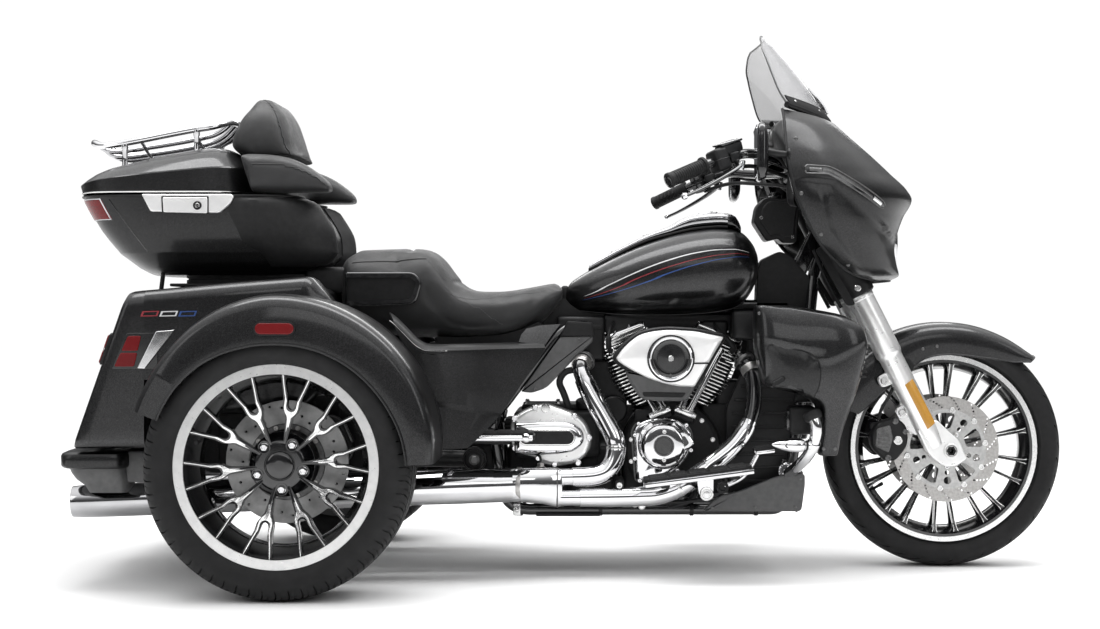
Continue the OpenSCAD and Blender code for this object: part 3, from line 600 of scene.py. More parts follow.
lens("red_lens", (0.135, 0.0015, 0.003), 0.22, 0.03, ior=1.36, coat=0.12)
lens("red_dark", (0.16, 0.004, 0.008), 0.2, 0.1)
lens("clear_lens", (0.92, 0.94, 0.95), 0.03, 0.85)
lens("screen", (0.46, 0.46, 0.47), 0.05, 0.0, strength=0.0, alpha=0.42)
lens("display", (0.008, 0.010, 0.013), 0.06, 0.0, strength=0.0)


# ---------------------------------------------------------------- camera, stage, light
cam_data = bpy.data.cameras.new("camera")
cam_data.sensor_width = 36.0
cam_data.lens = 56.36
cam_data.shift_x = -35.0 / 1100.0
cam_data.dof.use_dof = False
cam = bpy.data.objects.new("camera", cam_data)
cam.location = (0.019, -4.686, 0.679)
cam.rotation_euler = (PI / 2, 0, 0)
scene.collection.objects.link(cam)
scene.camera = cam

me = bpy.data.meshes.new("floor")
me.from_pydata([(-30, -30, 0), (30, -30, 0), (30, 30, 0), (-30, 30, 0)], [], [(0, 1, 2, 3)])
floor = bpy.data.objects.new("floor", me)
scene.collection.objects.link(floor)
m, nt, b, vec = start("floor_white")
nt.links.new(ramp(nt, noise(nt, vec, 1.5, 3), [(0.2, (0.93, 0.93, 0.93)), (0.8, (0.95, 0.95, 0.95))]), b.inputs["Base Color"])
b.inputs["Roughness"].default_value = 0.9
b.inputs["Specular IOR Level"].default_value = 0.1
me.materials.append(m)


def softbox(name, loc, aim, size, power, color=(1, 1, 1)):
    d = bpy.data.lights.new(name, "AREA")
    d.shape = "RECTANGLE"
    d.size, d.size_y = size
    d.energy = power
    d.color = color
    o = bpy.data.objects.new(name, d)
    o.location = loc
    o.rotation_euler = (Vector(aim) - Vector(loc)).to_track_quat("-Z", "Y").to_euler()
    scene.collection.objects.link(o)
    return o


softbox("key_top", (0.0, -0.25, 3.4), (0.0, 0.1, 0.6), (4.6, 1.3), 120)
softbox("front_side", (3.6, -3.2, 2.2), (0.7, 0, 0.7), (1.4, 1.8), 16)
softbox("rear_side", (-3.6, -3.0, 2.0), (-0.7, 0, 0.6), (1.4, 1.8), 13)
softbox("camera_fill", (0.2, -5.6, 2.6), (0.1, 0, 0.5), (4.0, 1.0), 22)
softbox("back_rim", (0.0, 3.6, 2.6), (0.0, 0, 0.7), (4.0, 1.0), 32)

world = bpy.data.worlds.new("studio")
scene.world = world
world.use_nodes = True
nt = world.node_tree
bg = nt.nodes["Background"]
tc = nt.nodes.new("ShaderNodeTexCoord")
sx = nt.nodes.new("ShaderNodeSeparateXYZ")
nt.links.new(tc.outputs["Generated"], sx.inputs["Vector"])
grad = ramp(nt, span(nt, sx.outputs["Z"], 0.0, 1.0, -1.0, 1.0),
            [(0.0, (0.6, 0.6, 0.6)), (0.47, (0.12, 0.12, 0.12)), (0.52, (0.075, 0.075, 0.077)), (0.60, (0.11, 0.11, 0.112)), (0.70, (0.36, 0.36, 0.365)), (0.80, (1.15, 1.15, 1.15)), (1.0, (1.75, 1.75, 1.75))])
lp = nt.nodes.new("ShaderNodeLightPath")
mix = nt.nodes.new("ShaderNodeMix")
mix.data_type = "RGBA"
nt.links.new(lp.outputs["Is Camera Ray"], mix.inputs["Factor"])
nt.links.new(grad, mix.inputs["A"])
mix.inputs["B"].default_value = (1.02, 1.02, 1.02, 1)
nt.links.new(mix.outputs["Result"], bg.inputs["Color"])
bg.inputs["Strength"].default_value = 1.0
scene.view_settings.view_transform = "Standard"
scene.view_settings.look = "None"


# ---------------------------------------------------------------- wheels
def tyre_shape(half, pitches, columns, lateral, grooves, shear, count=34):
    """Tyre about its own axle (x, y, z with y across): half = (radius, sideways) from the bead to the crown."""
    half = arr(half)
    s = np.concatenate([[0], np.cumsum(np.linalg.norm(np.diff(half, axis=0), axis=1))])
    s /= s[-1]
    dense = np.linspace(0, 1, 600)
    P = pchip(s, half, dense)
    i0 = int(np.argmax(P[:, 1]))
    at = lambda y: float(np.interp(-y, -P[i0:, 1], dense[i0:]))
    q = list(np.linspace(0, 1, count))
    for y, w in grooves:
        q = [k for k in q if abs(k - at(y)) > 0.012]
        q += [at(y + w / 2), at(y + w / 2 - 1.2), at(max(y - w / 2 + 1.2, 0)), at(max(y - w / 2, 0))]
    q = np.unique(np.round(np.clip(q, 0, 1), 6))
    H = pchip(s, half, q)
    depth = np.zeros(len(H))
    for y, w in grooves:
        depth = np.where((np.abs(H[:, 1] - y) <= w / 2 - 1.0) & (q > dense[i0]), 6.0, depth)
    full = np.vstack([H, H[-2::-1] * arr((1, -1))])
    cd = np.concatenate([depth, depth[-2::-1]])
    t = np.gradient(full, axis=0)
    nrm = np.stack([-t[:, 1], t[:, 0]], 1)
    nrm /= np.linalg.norm(nrm, axis=1, keepdims=True)
    if nrm[len(full) // 2][0] < 0:
        nrm = -nrm
    rings = []
    for k in range(pitches):
        for c in columns:
            d = np.maximum(cd, [lateral(abs(y), c, r) for r, y in full])
            th = 2 * PI * (k + c) / pitches + np.array([shear(abs(y)) for r, y in full])
            rr = full[:, 0] - nrm[:, 0] * d
            yy = full[:, 1] - nrm[:, 1] * d
            rings.append(np.stack([rr * np.cos(th), yy, rr * np.sin(th)], 1))
    rings = arr(rings)
    m, n = rings.shape[:2]
    f = []
    for j in range(m):
        for i in range(n):
            a, b = j * n + i, j * n + (i + 1) % n
            c, d = ((j + 1) % m) * n + (i + 1) % n, ((j + 1) % m) * n + i
            f.append((a, b, c, d))
    return rings.reshape(-1, 3), f


def smooth01(x):
    x = min(max(x, 0.0), 1.0)
    return x * x * (3 - 2 * x)


def rear_lateral(y, c, r):
    d = 0.0
    if r > 288:
        if 0.05 < c < 0.155:
            d = 5.0 * smooth01((y - 66) / 4) * (1 - smooth01((y - 100) / 6))
        if 0.5 < c < 0.56:
            d = max(d, 2.6 * smooth01((y - 64) / 4) * (1 - smooth01((y - 92) / 6)))
            d = max(d, 3.4 * smooth01((y - 33) / 2) * (1 - smooth01((y - 56) / 2)))
        if 0.05 < c < 0.155:
            d = max(d, 3.0 * (1 - smooth01((y - 20) / 2)) * smooth01((y - 6) / 3))
    elif 251 < r < 254:
        d = 0.0
    return d


REAR_HALF = [(229, 90), (243.4, 91.4), (246, 96.5), (250.5, 99.5), (252.5, 102.2), (255, 102.6), (264.6, 106.2), (280, 107.5), (294, 103.5), (303, 97.5), (311.5, 88), (316.4, 72), (318.8, 45), (320, 0)]
REAR_COLS = [0.0, 0.045, 0.06, 0.145, 0.16, 0.495, 0.505, 0.555, 0.565]
rear_tread = tyre_shape(REAR_HALF, 60, REAR_COLS, rear_lateral, [(28, 10), (62, 9)], lambda y: 0.0015 * max(y - 30, 0) * (1 if y < 95 else 0) + (0.0015 * 65 if y >= 95 else 0), 23)


def front_lateral(y, c, r):
    d = 0.0
    if r > 292:
        if 0.10 < c < 0.165:
            d = 4.6 * smooth01((y - 9) / 5) * (1 - smooth01((y - 50) / 9))
        if 0.60 < c < 0.66:
            d = 4.2 * smooth01((y - 24) / 5) * (1 - smooth01((y - 55) / 7))
    return d


FRONT_HALF = [(239, 42.5), (252.4, 43.4), (255, 48), (258, 52.5), (260, 55.4), (262, 55.8), (270, 60.5), (284, 65), (295, 63), (304, 56.5), (311, 46.5), (315.6, 33), (318.3, 16), (319, 0)]
FRONT_COLS = [0.0, 0.095, 0.105, 0.16, 0.17, 0.38, 0.595, 0.605, 0.655, 0.665, 0.83]
front_tread = tyre_shape(FRONT_HALF, 22, [x for a, b in zip(FRONT_COLS, FRONT_COLS[1:] + [1.0]) for x in ((a, (a + b) / 2) if b - a > 0.08 else (a,))],
                         front_lateral, [], lambda y: 0.0062 * min(max(y - 8, 0), 50), 30)


def wheel_arms(face, deep, count, first, build, parts):
    """The same spoke count times about the axle; face(r) is how far out the spoke's face lies."""
    for k in range(count):
        a = math.radians(first + 360.0 * k / count)
        ca, sa = math.cos(a), math.sin(a)
        for (v, f), mat, lift in build:
            r = np.hypot(v[:, 0], v[:, 1])
            out = face(r) + v[:, 2] + lift
            parts.add((np.stack([v[:, 0] * ca - v[:, 1] * sa, -out, v[:, 0] * sa + v[:, 1] * ca], 1), f), mat)


def moved(parts, off, flip=False):
    for i, v in enumerate(parts.v):
        parts.v[i] = v * arr((1, -1 if flip else 1, 1)) + arr(off)
    if flip:
        parts.f = [q[::-1] for q in parts.f]
    return parts


def dense(lp, step=9.0):
    """Outline with extra points along its long edges."""
    lp = arr(lp)
    out = []
    for a, b in zip(lp, np.roll(lp, -1, 0)):
        n = max(1, int(np.linalg.norm(b - a) / step))
        out += [lerp(a, b, i / n) for i in range(n)]
    return arr(out)


def rear_rim_parts():
    p = Piece()
    # barrel with its two lips; heights are out from the wheel's middle plane
    p.add(lathe([(218, 88), (219, 88.6), (241.5, 88.6), (243, 87), (243, 82), (228, 80), (226, 60), (206, 20), (206, -40), (226, -76),
                 (228, -92), (243, -94), (243, -100), (220, -100), (216, -78), (196, -40), (196, 18), (213, 62), (216, 80), (218, 88)], n=120), "gloss_black")
    p.add(lathe([(218.6, 88.5), (218.8, 92.2), (219.5, 92.8), (241.8, 92.8), (242.8, 92.0), (243, 88.5), (218.6, 88.5)], n=120), "lip_silver")
    face = lambda r: 40 + 47 * np.clip((r - 60) / 160.0, 0, 1) ** 1.15
    body = []
    half = [(52, 3.2), (64, 4.6), (116, 8.8), (124, 12.5), (133, 17.5), (141, 20.5), (160, 21.5), (190, 29.5), (221, 38.0), (223, 28.0), (190, 20.0),
            (166, 12.2), (146, 9.2), (139, 5.5)]
    out = arr(half + [(136.5, 0)] + [(r, -t) for r, t in half[::-1]])
    body.append((plate([dense(out, 12)], 24, 1.6, 2), "gloss_black", -12.2))
    star = [(61, 0.7), (72, 1.6), (114, 4.6), (121, 7.2), (127, 12.0), (134, 15.3), (141, 16.6), (158, 17.0), (162, 17.4), (190, 25.6), (219, 33.3),
            (219.2, 31.2), (190, 23.4), (163, 15.2), (158, 12.8), (143, 12.2), (136, 9.8), (132.5, 5.0)]
    top = arr(star + [(131.5, 0)] + [(r, -t) for r, t in star[::-1]])
    body.append((plate([dense(top, 11)], 1.2, 0.3, 1), "machined", 0.2))
    wheel_arms(face, 24, 10, 5.5, body, p)
    # hub with pockets for five nuts, bare centre cap
    p.add(lathe([(30, -28), (74, -28), (78, -20), (78, 6), (70, 18), (64, 30), (60, 37), (56, 39.5), (50, 40), (37, 40.5), (35.5, 38.5), (34.5, 38.5), (33, 42),
                 (30, 44.6), (24, 46), (12, 46.6), (0, 46.7)], n=72), "gloss_black")
    for k in range(5):
        a = math.radians(58.5 + 72 * k)
        c = arr((57 * math.cos(a), 0, 57 * math.sin(a)))
        p.add(lathe([(0, 30), (15.5, 30), (15.5, 40.4), (14.2, 41.2), (12.2, 41), (11.6, 36), (0, 36)], c, n=28), "gloss_black")
        p.add(lathe([(0, 34), (9.4, 34), (9.4, 44.5), (8.4, 46.2), (6.4, 46.4), (5.6, 42.6), (0, 42.4)], c, n=6), "chrome")
        p.add(lathe([(9.3, 34), (11.4, 34), (11.4, 38.2), (9.3, 39.2)], c, n=24), "chrome")
    # valve
    p.add(lathe([(0, 60), (4, 60), (4, 74), (5, 75), (5, 88), (4, 90), (0, 90)], (-196 * math.cos(0.3), 0, 196 * math.sin(0.3)), (0, -1, 0), 14), "rubber")
    return p


def rear_disc_parts():
    p = Piece()
    o = lambda y: -y
    holes = [circle((r * math.cos(t), r * math.sin(t)), 3.2, 10) for k in range(30) for r, t in
             ((108 + 8 * (k % 5), 2 * PI * k / 30),)]
    v, f = plate([circle((0, 0), 150, 120), circle((0, 0), 92, 96)] + holes, 9, 0.6, 1)
    p.add((np.stack([v[:, 0], -v[:, 2] - 482.5, v[:, 1]], 1), f), "disc_steel")
    p.add(lathe([(60, 478), (97, 478), (97, 484), (92, 488.5), (80, 489), (74, 496), (74, 523), (30, 523), (29.5, 560), (0, 560), (0, 405), (20, 405), (20, 476), (60, 478)], n=72), "dark_steel")
    for k in range(10):
        a = 2 * PI * k / 10
        p.add(capscrew((86 * math.cos(a), -488, 86 * math.sin(a)), (0, -1, 0), 6, 5), "steel")
    for k in range(40):
        a = 2 * PI * (k + 0.5) / 40
        c, s = math.cos(a), math.sin(a)
        p.add(tube([(118 * c, -482.5, 118 * s), (149 * c, -482.5, 149 * s)], 1.2, 6), "dark_steel")
    return p


for s, word in ((-1, "right"), (1, "left")):
    mid = (-707, s * 552, 320)
    q = Piece().add(rear_tread, "tyre")
    make(f"rear_tyre_{word}_tread", moved(q, mid), f"rear_wheel_{word}", f"rear_tyre_{word}", sharp=30)
    make(f"rear_wheel_{word}_rim", moved(rear_rim_parts(), mid, s > 0), f"rear_wheel_{word}", f"rear_rim_{word}", sharp=32)
    make(f"rear_wheel_{word}_disc", moved(rear_disc_parts(), (-707, 0, 320), s > 0), f"rear_wheel_{word}", f"rear_disc_{word}", sharp=32)

q = Piece().add(front_tread, "tyre")
make("front_tyre_tread", moved(q, (985, 0, 319)), "front_wheel", "front_tyre", sharp=30)

p = Piece()
for s in (1, -1):
    p.add(lathe([(238, 50.8 * s), (239, 51.6 * s), (250.8, 51.6 * s), (252, 50.4 * s), (252, 46 * s), (238, 44 * s), (238, 50.8 * s)], n=120), "machined")
p.add(lathe([(239, 51), (239, 44), (236, 40), (222, 16), (222, -16), (236, -40), (239, -44), (239, -51), (231, -51), (228, -44), (212, -14), (212, 14), (228, 44), (231, 51), (239, 51)], n=120), "gloss_black")
arm = [(46, 6.8), (140, 4.2), (205, 4.4), (224, 6.2), (236, 10.5)]
outl = arr(arm + [(r, -t) for r, t in arm[::-1]])
flat = lambda r: 14 + 32 * np.clip((r - 120) / 115.0, 0, 1) ** 1.6
for s in (1, -1):
    bits = []
    bits.append((plate([dense(outl, 15)], 15, 2.0, 2), "gloss_black", -7.6))
    for e in (1, -1):
        line = arr([(100, e * 4.3), (140, e * 3.9), (205, e * 4.1), (222, e * 5.6), (238, e * 10.8), (238, e * 9.0), (222, e * 3.8), (205, e * 2.3), (140, e * 2.2), (100, e * 2.8)])
        bits.append((plate([dense(line, 15)], 1.0, 0.2, 1), "machined", -0.1))
    t = Piece()
    for off in (-7.3, 7.3):
        wheel_arms(flat, 15, 10, 19.4 + off, bits, t)
    if s < 0:
        moved(t, (0, 0, 0), True)
    for v, in zip(t.v):
        pass
    for k, mname in enumerate(t.mats):
        fs = [q for q, kk in zip(t.f, t.k) if kk == k]
        p.add((np.vstack(t.v), fs), mname)
p.add(lathe([(12.6, -74), (40, -74), (46, -66), (52, -40), (48, -20), (46, 0), (48, 20), (52, 40), (46, 66), (40, 74), (12.6, 74), (12.6, -74)], n=64), "gloss_black")
p.add(lathe([(0, 0), (4, 0), (4, 24), (5, 25), (5, 36), (3.5, 38), (0, 38)], (222 * math.cos(3.7), 0, 222 * math.sin(3.7)), (-math.cos(3.7), -0.2, -math.sin(3.7)), 14), "rubber")
make("front_wheel_rim", moved(p, (985, 0, 319)), "front_wheel", "front_rim", sharp=32)

p = Piece()
holes = []
for k in range(15):
    for j in range(5):
        a = 2 * PI * k / 15 + 0.052 * j
        holes.append(circle(((112 + 6.2 * j) * math.cos(a), (112 + 6.2 * j) * math.sin(a)), 2.9, 8))
v, f = plate([circle((0, 0), 141, 96), circle((0, 0), 104, 72)] + holes, 5, 0.4, 1)
v2, f2 = (None, None)
wins = []
for k in range(5):
    a = 2 * PI * k / 5 + 0.35
    rot = arr([[math.cos(a), math.sin(a)], [-math.sin(a), math.cos(a)]])
    wins.append(rounded(arr([(54, -13), (92, -27), (97, -12), (97, 12), (92, 27), (54, 13)]) @ rot, 6, 5))
    b2 = a + PI / 5
    rot = arr([[math.cos(b2), math.sin(b2)], [-math.sin(b2), math.cos(b2)]])
    wins.append(circle(arr([(84, 0)]) @ rot[:1].T if False else arr((84 * math.cos(b2), 84 * math.sin(b2))), 9.5, 24))
    wins.append(circle(arr((63 * math.cos(b2), 63 * math.sin(b2))), 6.0, 20))
v2, f2 = plate([circle((0, 0), 107, 96), circle((0, 0), 31, 48)] + wins, 5.4, 0.7, 2)
for s in (1, -1):
    p.add((np.stack([v[:, 0], -77 * s - v[:, 2] * s, v[:, 1]], 1), f), "steel")
    p.add((np.stack([v2[:, 0], -77 * s - v2[:, 2] * s, v2[:, 1]], 1), f2), "cast")
    for k in range(10):
        a = 2 * PI * (k + 0.25) / 10
        p.add(lathe([(0, 0), (8, 0), (8, 3.4), (6.8, 4.2), (4, 4.2), (3.4, 2.4), (0, 2.4)], (105.5 * math.cos(a), -79 * s, 105.5 * math.sin(a)), (0, -s, 0), 14), "polished")
    for k in range(5):
        a = 2 * PI * (k + 0.5) / 5 + 0.35
        p.add(capscrew((46 * math.cos(a), -79.5 * s, 46 * math.sin(a)), (0, -s, 0), 7, 6), "chrome")
make("front_brake_discs", moved(p, (985, 0, 319)), "front_wheel", "front_discs", sharp=32)


# ---------------------------------------------------------------- rear body
TAIL = 0.35


def rr_ring(hw, zb, zt, rt, rb, x, shear=0.0, n=8, k=14):
    """Rounded rectangle facing along X: half width, lowest, highest, upper and lower corner radius."""
    pts = []
    for cy, cz, r, a0 in ((hw - rt, zt - rt, rt, 0.0), (-hw + rt, zt - rt, rt, 90.0), (-hw + rb, zb + rb, rb, 180.0), (hw - rb, zb + rb, rb, 270.0)):
        arc = [(cy + r * math.cos(math.radians(a0 + 90 * i / n)), cz + r * math.sin(math.radians(a0 + 90 * i / n))) for i in range(n + 1)]
        pts.append(arc)
    out = []
    for i, arc in enumerate(pts):
        out += arc
        a, b = arc[-1], pts[(i + 1) % 4][0]
        out += [(lerp(a[0], b[0], j / k), lerp(a[1], b[1], j / k)) for j in range(1, k)]
    return arr([(x + shear * (z - 543), y, z) for y, z in out])


p = Piece()
body_rings = [rr_ring(300, 500, 706, 60, 40, -632), rr_ring(372, 478, 734, 60, 40, -636), rr_ring(396, 462, 745, 56, 36, -650), rr_ring(414, 440, 752, 50, 30, -690),
              rr_ring(420, 430, 750, 46, 26, -860), rr_ring(421, 426, 738, 46, 26, -1030), rr_ring(424, 424, 735, 46, 26, -1046)]
# the trunk's sides below the shoulders take the darker copy of the paint: painted shade
p.add(loft(body_rings, caps=True), "paint_dark")
tail = [rr_ring(400, 380, 716, 46, 26, -1048), rr_ring(478, 360, 734, 46, 26, -1050), rr_ring(489, 352, 739, 42, 24, -1056), rr_ring(490, 352, 738, 42, 24, -1090, TAIL * 0.3),
        rr_ring(490, 351, 736, 42, 24, -1140, TAIL * 0.8), rr_ring(489, 350, 735, 42, 24, -1158, TAIL), rr_ring(485, 353, 732, 40, 23, -1164.5, TAIL), rr_ring(480, 358, 728, 38, 22, -1166.5, TAIL)]
inner = [rr_ring(378, 370, 722, 26, 20, -1166.5, TAIL), rr_ring(374, 374, 719, 24, 18, -1165, TAIL), rr_ring(370, 378, 715, 24, 18, -1150, TAIL)]
p.add(loft(tail + inner, caps=False), "paint")
liner = [rr_ring(370, 378, 715, 24, 18, -1150, TAIL), rr_ring(402, 372, 718, 24, 30, -1120, TAIL * 0.7), rr_ring(404, 374, 720, 30, 30, -1066), rr_ring(404, 446, 722, 30, 30, -1056), rr_ring(400, 452, 736, 30, 30, -860), rr_ring(386, 470, 738, 30, 30, -664), rr_ring(360, 500, 712, 30, 30, -656)]
v, f = loft(liner, caps=False)
n = len(liner[0])
f.append(tuple(range((len(liner) - 1) * n, len(liner) * n)))
p.add((v, f), "plastic")
make("trunk_body", p, "chassis", "rear_body", sharp=40, recalc=False)

# shoulders over the fenders, flowing into the roof
CROWN_A = [3, 15, 27, 40, 52, 64, 77, 90, 103, 115, 127, 140, 150, 157]
CROWN_R = [374, 384, 391, 397, 401, 404, 407, 408, 402, 393, 380, 368, 361, 357]
LIP_R = [308, 305, 300, 296, 294, 292, 290, 288, 289, 292, 294, 294, 293, 292]


def crown_z(x):
    a = np.linspace(3, 157, 300)
    r = pchip(CROWN_A, CROWN_R, a)
    xs, zs = -707 + r * np.cos(np.radians(a)), 320 + r * np.sin(np.radians(a))
    return float(np.interp(-x, -xs, zs)) if -1036 <= x <= -333 else 455.0


p = Piece()
xs = np.concatenate([np.linspace(-1056, -1030, 4), np.linspace(-1018, -690, 26), np.linspace(-676, -600, 10)])
grid = []
for x in xs:
    t = float(np.clip((x + 690) / 90.0, 0, 1))
    hw = pchip([-1060, -900, -690, -640, -600], [490, 488, 474, 452, 428], [x])[0]
    zt = pchip([-1060, -1030, -860, -690, -662, -630, -600], [738.5, 741, 757, 771, 773, 742, 704], [x])[0]
    zb = max(crown_z(x) - 3.5, 520 if x < -1030 else 0)
    zb = min(zb, zt - 6)
    r = min(34.0, zt - zb - 1)
    row = [(x, -330, zt - 6), (x, -hw + r + 70, zt - 1.5), (x, -hw + r + 26, zt)]
    row += [(x, -hw + r - r * math.sin(a), zt - r + r * math.cos(a)) for a in np.linspace(0, PI / 2, 9)]
    row += [(x, lerp(-hw, -hw - 1, s), lerp(zt - r, zb, s)) for s in (0.33, 0.66, 1.0)]
    grid.append(row)
p.add(shell(arr(grid), -3.0), "paint", both=True)
make("trunk_shoulders", p, "chassis", sharp=40)

# fenders
sec = fine([(0.0, -684), (0.02, -688), (0.30, -689.5), (0.55, -689), (0.74, -686.5), (0.86, -680), (0.94, -667), (0.985, -648), (1.0, -622), (1.0, -560), (1.0, -490), (1.0, -428)], 34)
inn = fine([(0.0, -679), (0.02, -681), (0.30, -682), (0.55, -681.5), (0.74, -679), (0.84, -673), (0.905, -662), (0.935, -646), (0.94, -622), (0.94, -560), (0.94, -490), (0.94, -428)], 34)
angs = np.linspace(1.5, 157.5, 90)
cr, lr = pchip(CROWN_A, CROWN_R, angs), pchip(CROWN_A, LIP_R, angs)


def arch(section):
    return arr([[(-707 + (l + (c - l) * s) * math.cos(a), y, 320 + (l + (c - l) * s) * math.sin(a)) for s, y in section]
                for a, c, l in zip(np.radians(angs), cr, lr)])


for s, word in ((1, "right"), (-1, "left")):
    p = Piece()
    v, f = shell(arch(sec), 0, arch(inn))
    p.add((v * arr((1, s, 1)), f), "paint")
    # rolled bead along the lip, and the seam where the fender meets the body
    lip = arr([(-707 + (l + 2.0) * math.cos(a), -685.5, 320 + (l + 2.0) * math.sin(a)) for a, l in zip(np.radians(angs), lr)])
    v, f = tube(lip, 3.4, 8)
    # the bead at the lip takes the darker copy of the paint: painted shade
    p.add((v * arr((1, s, 1)), f), "paint_dark")
    top = arr([(-707 + (c + 0.2) * math.cos(a), -478, 320 + (c + 0.2) * math.sin(a)) for a, c in zip(np.radians(angs[:38]), cr[:38])])
    v, f = strip(top, 5, 1.6, (0, 0, 1))
    p.add((v * arr((1, s, 1)), f), "satin_black")
    # wheel-well liner between fender and body
    well = arr([[(-707 + (c * 0.905) * math.cos(a), y, 320 + (c * 0.905) * math.sin(a)) for y in (-650, -560, -480, -432)] for a, c in zip(np.radians(angs), cr)])
    v, f = shell(well, 2.0)
    p.add((v * arr((1, s, 1)), f), "plastic")
    make(f"fender_{word}", p, "chassis", f"rear_fender_{word}", sharp=40)

# ---------------------------------------------------------------- side panels ahead of the fenders
PX = [-470, -330, -280, -226, -180, -130, -92, -60]
PY = [-452, -440, -407, -357, -319, -290, -266, -250]
py = lambda x: pchip(PX, PY, arr([x]))[0]
for s, word in ((1, "right"), (-1, "left")):
    p = Piece()
    grid = []
    for u in np.linspace(0, 1, 34):
        row = []
        for vz, xr, xf, zr, zf, dy in ((0.0, -470, -90, 668, 602, 62), (0.0, -462, -88, 664, 600, 20), (0.0, -456, -86, 659, 597, 6), (0.0, -452, -85, 654, 593.5, 0.6), (0.05, -448, -86, 648, 588, 0),
                                       (0.3, -420, -118, 590, 540, 3), (0.55, -380, -166, 520, 470, 6), (0.70, -356, -190, 468, 434, 7), (0.735, -352, -196, 461, 426, 12), (0.77, -350, -203, 454, 418, 17), (0.9, -344, -244, 396, 376, 17), (1.0, -340, -276, 347, 345, 18)):
            x = lerp(xr, xf, u)
            zz = lerp(zr, zf, u)
            if vz <= 0.05:
                # shoulder line: climbs along the fender at its rear end
                zz = pchip([-470, -452, -430, -392, -372, -340, -90], [669, 656, 634, 598, 589.5, 588.5, 592], arr([x]))[0] + (zr - 654) * 0.9
            row.append((x, py(x) + dy, zz))
        grid.append(row)
    g = arr(grid)
    v, f = shell(g, 4.0)
    # the side cover under the seat takes the darkest copy of the paint: painted shade
    p.add((v * arr((1, s, 1)), f), "deep_paint")
    # polished bead along the shoulder: a painted highlight where the shoulder's edge catches the light
    shoulder_highlight = arr([(x, py(x) - 1.6, pchip([-470, -452, -430, -392, -372, -340, -90], [669, 656, 634, 598, 589.5, 588.5, 592], arr([x]))[0] + 0.5) for x in np.linspace(-462, -90, 60)])
    v, f = tube(shoulder_highlight, 1.5, 8)
    p.add((v * arr((1, s, 1)), f), "polished")
    # front facet that rises to the frame tube
    tri = arr([[(-152, -268, 606), (-120, -255, 603), (-84, -246, 600)], [(-146, -252, 625), (-112, -240, 628), (-66, -228, 627)], [(-132, -236, 640), (-98, -224, 649), (-46, -206, 652)]])
    v, f = shell(tri, 4.0)
    p.add((v * arr((1, s, 1)), f), "paint")
    make(f"side_cover_{word}", p, "chassis", f"side_panel_{word}", sharp=26)

# ---------------------------------------------------------------- trunk door
p = Piece()
rings = [rr_ring(380, 366, 726, 40, 30, -1171, TAIL), rr_ring(384, 362, 730, 42, 32, -1175, TAIL), rr_ring(384, 362, 730, 42, 32, -1183, TAIL), rr_ring(379, 367, 725, 40, 30, -1190, TAIL),
         rr_ring(366, 380, 712, 38, 28, -1196, TAIL), rr_ring(340, 404, 690, 36, 26, -1202, TAIL), rr_ring(334, 412, 684, 34, 24, -1200.5, TAIL), rr_ring(326, 420, 676, 32, 22, -1200.5, TAIL), rr_ring(320, 426, 670, 30, 20, -1203, TAIL), rr_ring(160, 520, 600, 24, 16, -1204, TAIL)]
p.add(loft(rings), "paint")
lin = [rr_ring(362, 384, 708, 24, 18, -1170.5, TAIL), rr_ring(350, 396, 696, 20, 16, -1166.5, TAIL), rr_ring(330, 414, 680, 18, 14, -1166.5, TAIL)]
p.add(loft(lin), "plastic")
hx = lambda z, off: -1166 - off + TAIL * (z - 543)
p.add((lambda q: (arr([(hx(b[1], 38) - 2 - b[2], b[0], b[1]) for b in q[0]]), q[1]))(plate([rounded([(-92, 644), (92, 644), (80, 666), (-80, 666)], 8)], 7, 2.0)), "chrome")
p.add((lambda q: (arr([(hx(b[1], 40) - 4 - b[2], b[0], b[1]) for b in q[0]]), q[1]))(plate([circle((0, 655), 9, 24)], 7, 1.5)), "polished")
make("trunk_door_panel", p, "trunk_door", "trunk_door", sharp=38)

# ---------------------------------------------------------------- bumper and lamps
p = Piece()
band = [(300, 10), (303, 3), (308, 0), (330, 0), (336, 3), (340, 12), (341, 30), (341, 60)]
# the bumper band low under the trunk takes the darker copy of the paint: painted shade
p.add(loft([ring_z(z, -1286 + d, -1096 - d * 0.5, 470 - d, 7, 120) for z, d in band]), "paint_dark")
vr = [ring_z(302, -1268, -1100, 455, 7, 120), ring_z(288, -1262, -1098, 455, 7, 120), ring_z(272, -1250, -1096, 452, 7, 120), ring_z(262, -1236, -1096, 449, 7, 120)]
low = []
for q in vr[-1]:
    side_w = np.clip((abs(q[1]) - 396) / 40.0, 0, 1)
    low.append((q[0] + 14 * side_w * (q[0] < -1180), q[1] * (1 - 0.004 * side_w), 262 - 22 * side_w * (0.4 if q[0] < -1215 else 1.0)))
vr.append(arr(low))
inn_v = [arr([(q[0] + (6 if q[0] < -1180 else -6), q[1] * 0.987, q[2]) for q in r]) for r in vr[::-1]]
p.add(loft(vr + inn_v, caps=False), "grey_plastic")
p.add(loft([ring_z(z, -1140 + d, -1012 - d, 436 - d, 7, 120) for z, d in ((264, 7), (265, 3), (269, 0), (296, 0), (334, 2), (340, 6), (341, 12))]), "grey_plastic")
v, f = plate([rounded([(-100, 256), (100, 256), (100, 352), (-100, 352)], 10), ] + [circle((y, z), 3.5, 16) for y in (-73, 73) for z in (270, 340)], 8, 1.0)
p.add((np.stack([-1292 - v[:, 2], v[:, 0], v[:, 1]], 1), f), "satin_black")
for y in (-73, 73):
    for z in (270, 340):
        p.add(lathe([(3.6, 0), (7.5, 0), (7.5, 1.2), (3.6, 1.2)], (-1296, y, z), (-1, 0, 0), 20), "steel")
p.add(loft([ring_z(352, -1296, -1276, 70, 5, 40), ring_z(360, -1298, -1272, 72, 5, 40), ring_z(366, -1292, -1274, 68, 5, 40)]), "satin_black")
